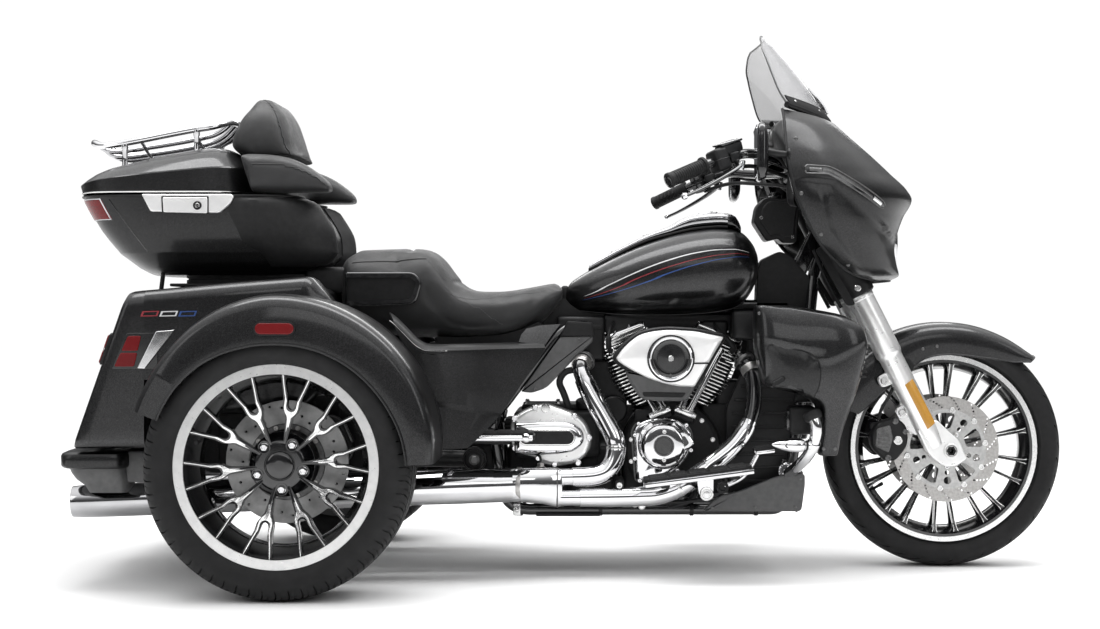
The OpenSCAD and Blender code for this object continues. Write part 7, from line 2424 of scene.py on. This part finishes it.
low = np.stack([xm[:, None] + hx[:, None] * c, ym[:, None] + hy[:, None] * s, np.broadcast_to(rows[:, 0:1], (len(rows), 128))], -1)
door = rounded([(474, 606), (570, 588), (597, 570), (606, 548), (603, 498), (578, 446), (555, 456), (486, 490), (470, 506)], [12, 20, 16, 18, 30, 10, 8, 14, 14], 6)
cap = rounded([(440, 614), (500, 606), (577, 584), (606, 551), (640, 560), (700, 590), (760, 640), (700, 720), (440, 720)], 18, 5)
outer = low[..., 1] < ym[:, None] - 0.55 * hy[:, None]
d, _ = to_line(low[..., 0], low[..., 2], np.vstack([door, door[:1]]))
sunk = np.where(inside(low[..., 0], low[..., 2], door), np.clip(d / 5, 0, 1), 0)
low[..., 1] += np.where(outer, 5.0 * sunk, 0)
d, _ = to_line(low[..., 0], low[..., 2], np.vstack([cap, cap[:1]]))
rise = np.where(inside(low[..., 0], low[..., 2], cap), np.clip(d / 9, 0, 1), 0)
low[..., 1] -= np.where(outer, 4.0 * rise * rise * (3 - 2 * rise), 0)
for sgn, side_name in ((1, "right"), (-1, "left")):
    P = Piece()
    v, f = loft(low)
    P.add((v * arr((1, sgn, 1)), f if sgn > 0 else [q[::-1] for q in f]), "paint")
    lskin = Skin(np.concatenate([low[:, 64:], low[:, 64:65]], 1)[:, :65])
    seam = arr([lskin.at(x, z, -0.2) for x, z in np.vstack([door, door[:1]])])
    P.add(tube(seam[:-1] * arr((1, sgn, 1)), 1.5, 8, closed=True), "rubber")
    rings = []
    for k, o in ((0.985, -0.5), (0.975, 1.2), (0.955, 2.0), (0.8, 2.4), (0.6, 2.8), (0.4, 3.0), (0.2, 3.1), (0.04, 3.1)):
        rings.append([lskin.at(x, z, o) * arr((1, sgn, 1)) for x, z in inset(door, k)])
    # the sunk glove-box lid takes the darker copy of the paint: painted shade in the recess
    P.add(loft(rings, True, True), "paint_dark")
    q = lskin.at(492, 503, 3.0)
    P.add(relief(stadium((500, 512), 34, 12, 8, 0.5), [(0, 396), (0, 408.5), (-1.5, 410)], sgn), "satin_black")
    # shroud behind the leg, vents facing the wheel, rear edge strip
    P.add(rbox((538, min(-246 * sgn, -318 * sgn), 374), (606, max(-246 * sgn, -318 * sgn), 446), 10, 3), "satin_black")
    P.add(rbox((532, min(-252 * sgn, -312 * sgn), 386), (540, max(-252 * sgn, -312 * sgn), 434), 3, 2), "gloss_black")
    for k in range(6):
        P.add(rbox((700 + k * 1.5, min(-290 * sgn, -370 * sgn), 520 + 14 * k), (724 + k * 1.5, max(-290 * sgn, -370 * sgn), 525 + 14 * k), 1.5, 1), "satin_black")
    for x, z in ((456, 682), (456, 560), (622, 340), (650, 340)):
        P.add(dome(lskin.at(x, z, 0.2) * arr((1, sgn, 1)), (0, -sgn, 0), 4.6, 2.4), "dark_steel")
    # inner bracket to the guard
    P.add(rbox((560, min(-236 * sgn, -252 * sgn), 452), (612, max(-236 * sgn, -252 * sgn), 476), 5, 2), "satin_black")
    make("lower_fairing_%s_skin" % side_name, P, "chassis", "lower_fairing_" + side_name, sharp=38)

# ---- guard, collar, clamp and highway peg
GUARD = [[552, 152, 266], [548, 220, 270], [560, 300, 290], [586, 352, 330], [598, 374, 376], [598, 376, 404], [588, 368, 430]]
P = Piece()
gp = spline(ease(GUARD, 2), 70)
P.add(tube(gp, 14.6, 26), "chrome", both=True)
for s in (1, -1):
    m3 = arr((1, s, 1))
    q, d = along(gp, 0.985)
    P.add(lathe([(13, -12), (19, -12), (23, -7), (24, 0), (23, 8), (18, 12), (13, 12), (13, -12)], q * m3, d * m3, 32), "rubber")
    q, d = along(gp, 0.02)
    P.add(lathe([(0, -4), (24, -4), (24, 3), (20, 6), (0, 6)], q * m3, d * m3, 32), "chrome")
    q, d = along(gp, 0.735)
    clamp_band(P, q * m3, d * m3, 14.8, 22, "chrome")
    P.add(hexhead(q * m3 + arr((14, -4 * s, 6)), (1, 0, 0.1), 5, 6), "polished")
    o = (q + arr((-12, 14, 2))) * m3
    P.add(tube([q * m3, o], 9, 18), "chrome")
    prof = [(0, -6), (9, -6), (11, 0), (11, 10), (15, 14), (17.5, 24), (17.6, 36), (16, 52), (12.5, 68), (7, 84), (2.5, 92), (0, 93)]
    P.add(lathe(prof, o, unit((-1, 0.06 * s, 0.03)), 36), "chrome")
    P.add(lathe([(11.2, 2), (13, 3), (13, 7), (11.2, 8), (11.2, 2)], o, unit((-1, 0.06 * s, 0.03)), 30), "rubber")
    P.add(relief(stadium((o[0] - 50, o[2] + 1), 22, 11, 8), [(0, abs(o[1]) + 10), (0, abs(o[1]) + 17.2), (-1.2, abs(o[1]) + 18)], s * -1), "rubber")
make("engine_guard_chrome", P, "chassis", "engine_guard")

# ---- chin spoiler
P = Piece()
chin = rounded([(330, 164), (585, 164), (594, 232), (594, 262), (520, 256), (470, 236), (420, 216), (372, 206), (345, 186)], [6, 12, 6, 8, 16, 20, 20, 16, 10], 5)
for s in (1, -1):
    P.add(relief(chin, [(0, 176), (0, 183), (-1.5, 185.4), (-4, 186.4)], s), "grey_plastic")
    for x, z in ((352, 174), (462, 176), (568, 176), (582, 250)):
        P.add(dome((x, -186.0 * s, z), (0, -s, 0), 4.6, 2.4), "dark_steel")
    P.add(rbox((440, min(-180 * s, -140 * s), 168), (470, max(-180 * s, -140 * s), 176), 2, 1), "satin_black")
g = []
for z in np.linspace(164, 262, 16):
    x = pchip([164, 176, 232, 262], [578, 584, 592, 592], [z])[0]
    g.append([(x - 10 * abs(u) ** 4, 184 * u, z) for u in np.linspace(-1, 1, 41)])
P.add(shell(arr(g), 6), "grey_plastic")
for z in (190, 206, 222, 238):
    P.add(rbox((586, -110, z - 3), (597, 110, z + 3), 2, 1), "satin_black")
make("chin_spoiler_panel", P, "chassis", "chin_spoiler")

# ---- floorboards
P = Piece()
deck = rounded([(-140, 264), (120, 264), (141, 290), (141, 360), (126, 381), (-122, 381), (-141, 366), (-141, 280)], [10, 18, 16, 16, 14, 16, 16, 10], 6)


def board(piece, lp, to, thick, ribs, chrome=True):
    """Foot board: pan, chrome edge, rubber mat with its ribs; to maps its own frame to the vehicle's."""
    flat = lambda d, z: np.column_stack([offset(lp, d), np.full(len(lp), float(z))])
    v, f = loft([flat(-6, -thick), flat(-1, -thick + 2), flat(0, -thick + 4), flat(0, -3), flat(-1.2, -1), flat(-4, -0.6)])
    piece.add(to((v, f)), "chrome" if chrome else "satin_black")
    v, f = loft([flat(-3.6, -1.0), flat(-3.6, 4.2), flat(-4.6, 5.6), flat(-7, 6.0)])
    piece.add(to((v, f)), "rubber")
    x0, x1, y0, y1 = lp[:, 0].min() + 14, lp[:, 0].max() - 14, lp[:, 1].min() + 12, lp[:, 1].max() - 12
    for k in range(ribs):
        y = lerp(y0, y1, k / (ribs - 1))
        n = 5
        for j in range(n):
            a, b = lerp(x0, x1, j / n) + 3, lerp(x0, x1, (j + 1) / n) - 3
            piece.add(to(rbox((a, y - 2.6, 5), (b, y + 2.6, 8.4), 1.4, 1)), "rubber")


for s in (1, -1):
    tilt = math.radians(7.5)
    ex, ez = arr((math.cos(tilt), 0, math.sin(tilt))), arr((-math.sin(tilt), 0, math.cos(tilt)))

    def to_rider(vf, s=s, ex=ex, ez=ez):
        v = arr(vf[0])
        w = arr((304, 0, 276)) + v[:, :1] * ex + v[:, 1:2] * arr((0, 1, 0)) + v[:, 2:3] * ez
        return w * arr((1, s, 1)), (vf[1] if s > 0 else [q[::-1] for q in vf[1]])

    board(P, deck, to_rider, 15, 9)
    # bright side strip, hinge lugs and round pivot bolts below
    P.add(to_rider(rbox((-136, 380, -13), (138, 385, -1), 2, 2)), "chrome")
    for x in (-84, 6, 96):
        P.add(to_rider(rbox((x - 12, 250, -30), (x + 12, 300, -12), 4, 2)), "satin_black")
    lug = rounded([(-20, 4), (22, 4), (16, -36), (-2, -52), (-20, -36)], [4, 4, 14, 14, 14], 6)
    v, f = plate([lug], 8, 1.5)
    P.add(to_rider((np.stack([v[:, 0] + 14, 372 + v[:, 2], v[:, 1] - 14], 1), f)), "chrome")
    o = to_rider((arr([[13, 377, -48]]), []))[0][0]
    P.add(lathe([(0, 0), (17, 0), (17, 4), (15, 6), (12, 6), (11, 4), (8, 4), (7, 8), (0, 8.5)], o, (0, s, 0), 32), "polished")
    P.add(tube([arr((318, 150 * s, 224)), arr((318, 380 * s, 224))], 8, 16), "satin_black")
    P.add(tube(route([arr((318, 140 * s, 224)), arr((300, 150 * s, 190)), arr((240, 142 * s, 168))], 20, 5), 9, 16), "satin_black")
    pax = rounded([(-352, 248), (-112, 248), (-108, 262), (-108, 330), (-120, 344), (-340, 344), (-352, 332)], [6, 8, 8, 12, 10, 12, 10], 5)

    def to_pax(vf, s=s):
        return (arr(vf[0]) + arr((0, 0, 375))) * arr((1, s, 1)), (vf[1] if s > 0 else [q[::-1] for q in vf[1]])

    board(P, pax, to_pax, 14, 7, False)
    P.add(to_pax(rbox((-350, 342, -13), (-112, 348.5, -1), 2.4, 3)), "chrome")
    P.add(tube([arr((-348, 349 * s, 366)), arr((-240, 349.5 * s, 366)), arr((-114, 349 * s, 366))], 6.2, 16), "chrome")
    for x in (-330, -130):
        P.add(lathe([(0, -3), (10, -3), (11.5, 2), (11, 12), (7, 16), (0, 17)], (x, 340 * s, 368), (0, s, 0), 26), "chrome")
        P.add(tube([arr((x, 168 * s, 352)), arr((x, 300 * s, 362))], 9, 16), "chrome")
    P.add(rbox((-340, min(160 * s, 176 * s), 338), (-120, max(160 * s, 176 * s), 366), 5, 2), "satin_black")
make("foot_boards", P, "chassis", "floorboards")

# ---- foot controls
P = Piece()
brk = ease([[372, -236, 232], [432, -240, 258], [464, -244, 318]], 3)
P.add(tube(brk, 7.6, 18, oval=0.8), "chrome")
P.add(lathe([(0, -16), (15, -16), (16, -12), (16, 12), (15, 16), (9, 16), (8, 12), (0, 12)], (374, -232, 233), (0, -1, 0), 30), "satin_black")
pad = local((475, -283, 334), (1, 0, 0.12), (0, 0, 1))
P.add(pad(rbox((-25, -46, -8), (25, 46, 2), 4, 2)), "chrome")
P.add(pad(rbox((-23, -44, 1), (23, 44, 6), 3, 2)), "rubber")
for k in range(7):
    P.add(pad(rbox((-20, -39 + 12 * k, 5), (20, -34 + 12 * k, 8.4), 1.4, 1)), "rubber")
P.add(tube(ease([(374, -226, 222), (330, -206, 196), (240, -176, 186), (150, -160, 182)], 3), 5, 12), "satin_black")
for x, z in ((150, 182), (168, 176)):
    P.add(lathe([(0, 0), (9, 0), (9, 6), (6, 8), (0, 8)], (x, -166, z), (0, -1, 0), 22), "polished")
shf = ease([[380, 250, 236], [470, 256, 296], [516, 262, 322]], 3)
P.add(tube(shf, 7.4, 18, oval=0.8), "chrome")
P.add(lathe([(0, -16), (14, -16), (15, -12), (15, 12), (14, 16), (0, 16)], (382, 246, 238), (0, 1, 0), 30), "chrome")
P.add(tube([(516, 262, 322), (526, 264, 332), (526, 300, 332)], 7, 16), "chrome")
P.add(lathe([(0, 0), (10, 0), (10, 6)] + [(10.8 if k % 2 else 9.6, 8 + 4 * k) for k in range(19)] + [(9, 86), (0, 87)], (526, 268, 332), (0, 1, 0), 26), "rubber")
P.add(tube(ease([(380, 244, 240), (330, 236, 246), (268, 226, 262), (214, 212, 282)], 3), 4.5, 12), "chrome")
make("foot_levers", P, "chassis", "foot_controls")

# ---- handlebar, clamp, grips, switches, levers
BAR = arr([[590, 0, 1068], [590, 60, 1068], [536, 196, 1074], [430, 318, 1092], [322, 382, 1054], [229, 432, 1011]])
full = np.vstack([BAR[:0:-1] * arr((1, -1, 1)), BAR[1:]])
P = Piece()
P.add(tube(route(full, 46, 8), 12.6, 24), "gloss_black")
P.add(rbox((564, -62, 1040), (616, 62, 1066), 7, 3), "satin_black")
P.add(rbox((566, -60, 1067), (614, 60, 1092), 9, 3), "satin_black")
for y in (-48, -30, 30, 48):
    for x in (574, 606):
        P.add(capscrew((x, y, 1090), (0, 0, 1), 5, 5), "polished")
# switch block and riser cover behind the upper clamp
cover = rounded([(474, 928), (482, 972), (504, 996), (560, 990), (616, 1014), (627, 1001), (606, 986), (596, 950), (590, 872), (550, 872), (540, 884), (508, 876)], [8, 10, 12, 14, 4, 4, 6, 12, 8, 6, 8, 8], 4)
P.add(relief(cover, [(-3, -42), (0, -38), (0, 38), (-3, 42)]), "satin_black")
P.add(relief(inset(cover, 0.8), [(0, 42), (-1.5, 44.5), (-4, 45.5)]), "wrinkle_black")
P.add(relief(inset(cover, 0.8), [(0, 42), (-1.5, 44.5), (-4, 45.5)], -1), "wrinkle_black")
P.add(lathe([(0, -6), (19, -6), (19, 6), (16.5, 8), (15.5, 15), (0, 16)], (536, 0, 994), (-0.1, 0, 1), 36), "gloss_black")
P.add(lathe([(9, 15), (10, 17), (8, 17.6), (7, 16), (0, 16), (0, 15)], (536, 0, 994), (-0.1, 0, 1), 28), "polished")
for x, z in ((494, 940), (578, 888)):
    P.add(capscrew((x, -41, z), (0, -1, 0), 5, 5), "polished")
    P.add(capscrew((x, 41, z), (0, 1, 0), 5, 5), "polished")
make("handlebar_tube", P, "steering", "handlebar")

P = Piece()
for s in (1, -1):
    m3 = arr((1, s, 1))
    a, b, c3 = BAR[5] * m3, BAR[4] * m3, BAR[3] * m3
    d = unit(b - a)
    o = a - (b - a) * 0.06
    ln_g = np.linalg.norm(b - a) * 1.02
    prof = [(0, 0), (16.5, 0), (19.4, 2), (19.8, 8), (18.4, 10)]
    h = 14.0
    while h < ln_g - 12:
        prof += [(18.3, h), (18.3, h + 3.6), (17.2, h + 4.2), (17.2, h + 5.8)]
        h += 6.4
    prof += [(18.2, ln_g - 9), (22, ln_g - 8), (22.6, ln_g - 4), (22, ln_g - 1), (13, ln_g)]
    P.add(lathe(prof, o, d, 30), "rubber")
    P.add(lathe([(0, -2.2), (9, -2.2), (14, -1.4), (16.6, 0.6), (0, 0.6)], o, d, 28), "gloss_black")
    up = arr((0, 0, 1))
    u, w2, w = axes(d)
    for k in range(4):
        t0 = 0.3 + 0.11 * k
        P.add(local(lerp(o, b, t0), d, arr((-0.3, -0.9 * s, 0.4)))(rbox((-4, -9, 16.5), (4, 9, 20.4), 1.6, 2)), "rubber")
    # switch housing split line, buttons
    e = unit(c3 - b)
    h0 = lerp(b, c3, 0.31)
    box = local(h0, e, arr((-0.35, 0, 1)))
    P.add(box(rbox((-20, -25, -29), (20, 27, 29), 9, 4)), "satin_black")
    P.add(box(rbox((-20.6, -25.6, -1), (20.6, 27.6, 0.6), 0.6, 1)), "gloss_black")
    for k, (x, z, mat) in enumerate(((-9, 14, "red_print" if s < 0 else "grey_plastic"), (8, 14, "grey_plastic"), (-9, -12, "grey_plastic"), (8, -12, "grey_plastic"))):
        side_y = 26 if s < 0 else -26
        P.add(box(rbox((x - 6, min(side_y, side_y * 1.18), z - 6), (x + 6, max(side_y, side_y * 1.18), z + 6), 2, 2)), mat)
    # master cylinder with its lid, perch and pivot
    h1 = lerp(b, c3, 0.62)
    box = local(h1, e, arr((0, 0, 1)))
    P.add(box(rbox((-34, -18, 8), (30, 20, 34), 6, 3)), "satin_black")
    P.add(box(rbox((-36, -20, 33), (32, 22, 39), 3, 2)), "gloss_black")
    for x in (-28, 24):
        P.add(box(capscrew((x, 1, 38.6), (0, 0, 1), 4, 2.4)), "polished")
    P.add(box(rbox((-16, -19, -16), (16, 19, 12), 6, 3)), "satin_black")
    p0 = h1 + arr((22, 14 * s, -22))
    P.add(lathe([(0, -12), (9, -12), (10, -9), (10, 9), (9, 12), (0, 12)], p0, (0.2, 0, 1), 26), "chrome")
    P.add(tube([h1 + arr((6, 4 * s, -8)), p0], 9, 16), "satin_black")
    lev = spline([p0, lerp(p0, arr((330, 412 * s, 1006)), 0.5) + arr((8, 6 * s, 0)), arr((334, 414 * s, 1004)), arr((296, 436 * s, 984)), arr((264, 452 * s, 970))], 30)
    P.add(tube(lev, pchip([0, 0.1, 0.5, 0.9, 1], [9, 9.5, 7.8, 6.4, 6.6], np.linspace(0, 1, 30)), 16, oval=0.62), "gloss_black")
    P.add(lathe([(0, -8), (5, -7.2), (8, -4), (8.6, 0), (8, 4), (5, 7.2), (0, 8)], lev[-1], unit(lev[-1] - lev[-2]), 22), "chrome")
    # hoses and the loom that follow the bar to the clamp
    hose = ease([h1 + arr((34, -8 * s, 4)), arr((500, 262 * s, 1096)), arr((548, 196 * s, 1062)), arr((590, 128 * s, 1020)), arr((614, 92 * s, 992))], 3)
    P.add(tube(hose, 4.6, 12), "rubber")
    hose = ease([h0 + arr((14, -6 * s, -26)), arr((440, 300 * s, 1062)), arr((520, 190 * s, 1048)), arr((582, 96 * s, 1036)), arr((612, 76 * s, 1004))], 3)
    P.add(tube(hose, 5.4, 12), "rubber")
    P.add(lathe([(0, 0), (7, 0), (7, 14), (5, 16), (0, 16)], h1 + arr((28, -6 * s, 6)), unit(arr((60, -50 * s, -6))), 18), "polished")
make("hand_controls_set", P, "steering", "hand_controls")

# ---- mirrors
P = Piece()
for s in (1, -1):
    pill = rounded([(-48, -74), (48, -74), (48, 74), (-48, 74)], [34, 34, 34, 34], 9)
    rings = []
    for dep, k in ((0, 0.86), (2, 0.94), (6, 0.985), (12, 1.0), (18, 0.97), (24, 0.85), (28, 0.62), (30, 0.3)):
        q = inset(pill, k, (0, 0))
        rings.append(np.stack([np.full(len(q), 446.0 + dep), 387 * s + q[:, 0], 1084 + q[:, 1]], 1))
    P.add(loft(rings), "gloss_black")
    q = inset(pill, 0.84, (0, 0))
    glass = [np.stack([np.full(len(q), 445.6 + 0.9 * (1 - k) * 0), 387 * s + q[:, 0] * k, 1084 + q[:, 1] * k], 1) for k in (1.0, 0.98)]
    glass[1][:, 0] -= 0.8
    P.add(loft(glass), "mirror_glass")
    P.add(tube(route([arr((470, 388 * s, 1086)), arr((500, 392 * s, 1080)), arr((528, 386 * s, 1078))], 12, 5), 9, 18), "satin_black")
    P.add(lathe([(0, 0), (16, 0), (16, 4), (12, 8), (0, 8)], (530, 386 * s, 1078), (-1, 0, 0), 26), "satin_black")
make("mirror_pair", P, "steering", "mirrors")

# ---- swingarm and axle
P = Piece()
for s in (1, -1):
    m3 = arr((1, s, 1))
    arm = [arr(q) * m3 for q in ([-270, 165, 300], [-500, 190, 306], [-707, 215, 320])]
    P.add(tube(route(arm, 50, 7), 22, 26), "satin_black")
    P.add(lathe([(16, -18), (31, -18), (32, -16), (32, 16), (31, 18), (16, 18), (16, -18)], (-270, 170 * s, 300), (0, 1, 0), 36), "satin_black")
    P.add(lathe([(0, -3), (27, -3), (28, 4), (26, 9), (20, 11), (18, 9), (0, 9)], (-270, 188 * s, 300), (0, s, 0), 36), "satin_black")
    P.add(hexhead((-270, 197 * s, 300), (0, s, 0), 11, 8), "dark_steel")
    P.add(lathe([(20.2, 118), (40, 118), (42, 124), (42, 236), (47, 240), (47, 252), (42, 256), (42, 446), (50, 452), (57, 454), (58, 458), (58, 470), (20.2, 470), (20.2, 118)], (-707, 0, 320), (0, s, 0), 52), "satin_black")
    for k in range(6):
        t = 2 * PI * k / 6 + 0.3
        P.add(hexhead((-707 + 50 * math.cos(t), 452 * s, 320 + 50 * math.sin(t)), (0, -s, 0), 5, 6), "steel")
    P.add(lathe([(0, 118), (86, 118), (88, 122), (88, 128), (70, 134), (46, 146), (42, 150), (0, 150)], (-707, 0, 320), (0, s, 0), 52), "wrinkle_black")
    for k in range(8):
        t = 2 * PI * k / 8
        P.add(hexhead((-707 + 78 * math.cos(t), 128 * s, 320 + 78 * math.sin(t)), (0, s, 0), 5, 6), "steel")
    # cooling ribs and the spring seat
    for k in range(5):
        t = math.radians(200 + 28 * k)
        P.add(strip([(-707 + 84 * math.cos(t), 60 * s, 320 + 84 * math.sin(t)), (-707 + 84 * math.cos(t), 116 * s, 320 + 84 * math.sin(t))], 5, 12, (math.cos(t), 0, math.sin(t))), "wrinkle_black")
    P.add(rbox((-542, min(190 * s, 234 * s), 312), (-498, max(190 * s, 234 * s), 334), 5, 2), "satin_black")
P.add(lathe([(0, -120), (86, -120), (88, -116), (88, 116), (86, 120), (0, 120)], (-707, 0, 320), (0, 1, 0), 60), "wrinkle_black")
P.add(lathe([(0, 0), (16, 0), (16, 4), (11, 6), (11, 12), (0, 12)], (-795, 0, 320), (-1, 0, 0), 6), "steel")
# toothed pulley and belt on the left of the housing
P.add(lathe([(44, 152), (96, 152), (102, 154), (102, 156), (98, 157), (98, 181), (102, 182), (102, 184), (96, 186), (60, 186), (56, 176), (44, 176), (44, 152)], (-707, 0, 320), (0, 1, 0), 72), "machined")
for k in range(10):
    t = 2 * PI * k / 10
    P.add(dome((-707 + 78 * math.cos(t), 186, 320 + 78 * math.sin(t)), (0, 1, 0), 7, 2), "dark_steel")
t = np.linspace(PI / 2, 3 * PI / 2, 30)
back = np.stack([-707 + 101 * np.cos(t), np.full(30, 169.0), 320 + 101 * np.sin(t)], 1)
t = np.linspace(-PI / 2, PI / 2, 16)
fore = np.stack([-196 + 36 * np.cos(t), np.full(16, 169.0), 330 + 36 * np.sin(t)], 1)
P.add(tube(np.vstack([back, fore]), 3.2, 10, closed=True, oval=3.2), "rubber")
make("swingarm_axle", P, "chassis", "swingarm")

# ---- shocks
P = Piece()
for s in (1, -1):
    a, b, c3 = arr((-520, 212 * s, 338)), arr((-505, 212 * s, 400)), arr((-462, 212 * s, 588))
    d = unit(c3 - b)
    P.add(tube([a, b, b + d * 10], 12, 22), "polished")
    P.add(lathe([(0, -16), (14, -16), (17, -12), (17, 12), (14, 16), (0, 16)], a + arr((0, 0, 4)), (0, 1, 0), 28), "satin_black")
    prof = [(0, 0), (20, 0), (24, 4), (24, 22)]
    h = 26.0
    while h < 120:
        prof += [(28, h + 2), (29.5, h + 5), (28, h + 8), (24.5, h + 10)]
        h += 11
    prof += [(27, 128), (30, 132), (30, 186), (26, 192), (14, 194), (0, 194)]
    P.add(lathe(prof, b - d * 2, d, 34), "satin_black")
    P.add(lathe([(29.8, 134), (31, 136), (31, 146), (29.8, 148), (29.8, 134)], b, d, 34), "chrome")
    P.add(hexhead(c3 + d * 2, d, 9, 8), "steel")
    P.add(tube(ease([c3 + arr((4, 20 * s, -20)), c3 + arr((20, 30 * s, -6)), c3 + arr((44, 10 * s, 10)), c3 + arr((60, -40 * s, 12))], 3), 3.4, 10), "rubber")
make("shock_pair", P, "chassis", "shock_absorbers")

# ---- rear calipers
P = Piece()
ca = math.radians(-25)
ex, ez = arr((math.cos(ca), 0, -math.sin(ca))), arr((math.sin(ca), 0, math.cos(ca)))
for s in (1, -1):
    def at_hub(vf, s=s):
        v = arr(vf[0])
        w = arr((-707, 440, 320)) + v[:, :1] * ex + v[:, 1:2] * arr((0, 1, 0)) + v[:, 2:3] * ez
        return w * arr((1, s, 1)), (vf[1] if s > 0 else [q[::-1] for q in vf[1]])
    lp = rounded([(100, -58), (138, -62), (158, -40), (160, 40), (138, 62), (100, 58), (112, 0)], [10, 12, 14, 14, 12, 10, 30], 5)
    rings = [np.stack([offset(lp, o)[:, 0], np.full(len(lp), float(y)), offset(lp, o)[:, 1]], 1) for o, y in ((-3, 0), (0, 3), (0, 27), (-2, 31), (-5, 32))]
    P.add(at_hub(loft(rings)), "satin_black")
    for z in (-32, 0, 32):
        v, f = lathe([(0, 31), (13, 31), (13, 33), (10, 35), (0, 35)], (132, 0, z), (0, 1, 0), 26)
        P.add(at_hub((v, f)), "dark_steel")
    for z in (-50, 50):
        v, f = hexhead((122, 31, z), (0, 1, 0), 6, 6)
        P.add(at_hub((v, f)), "polished")
    P.add(at_hub(rbox((60, 2, -16), (112, 12, 16), 4, 2)), "satin_black")
    P.add(at_hub(rbox((140, 4, -24), (164, 26, 24), 3, 2)), "dark_steel")
make("rear_caliper_pair", P, "chassis", "rear_calipers")
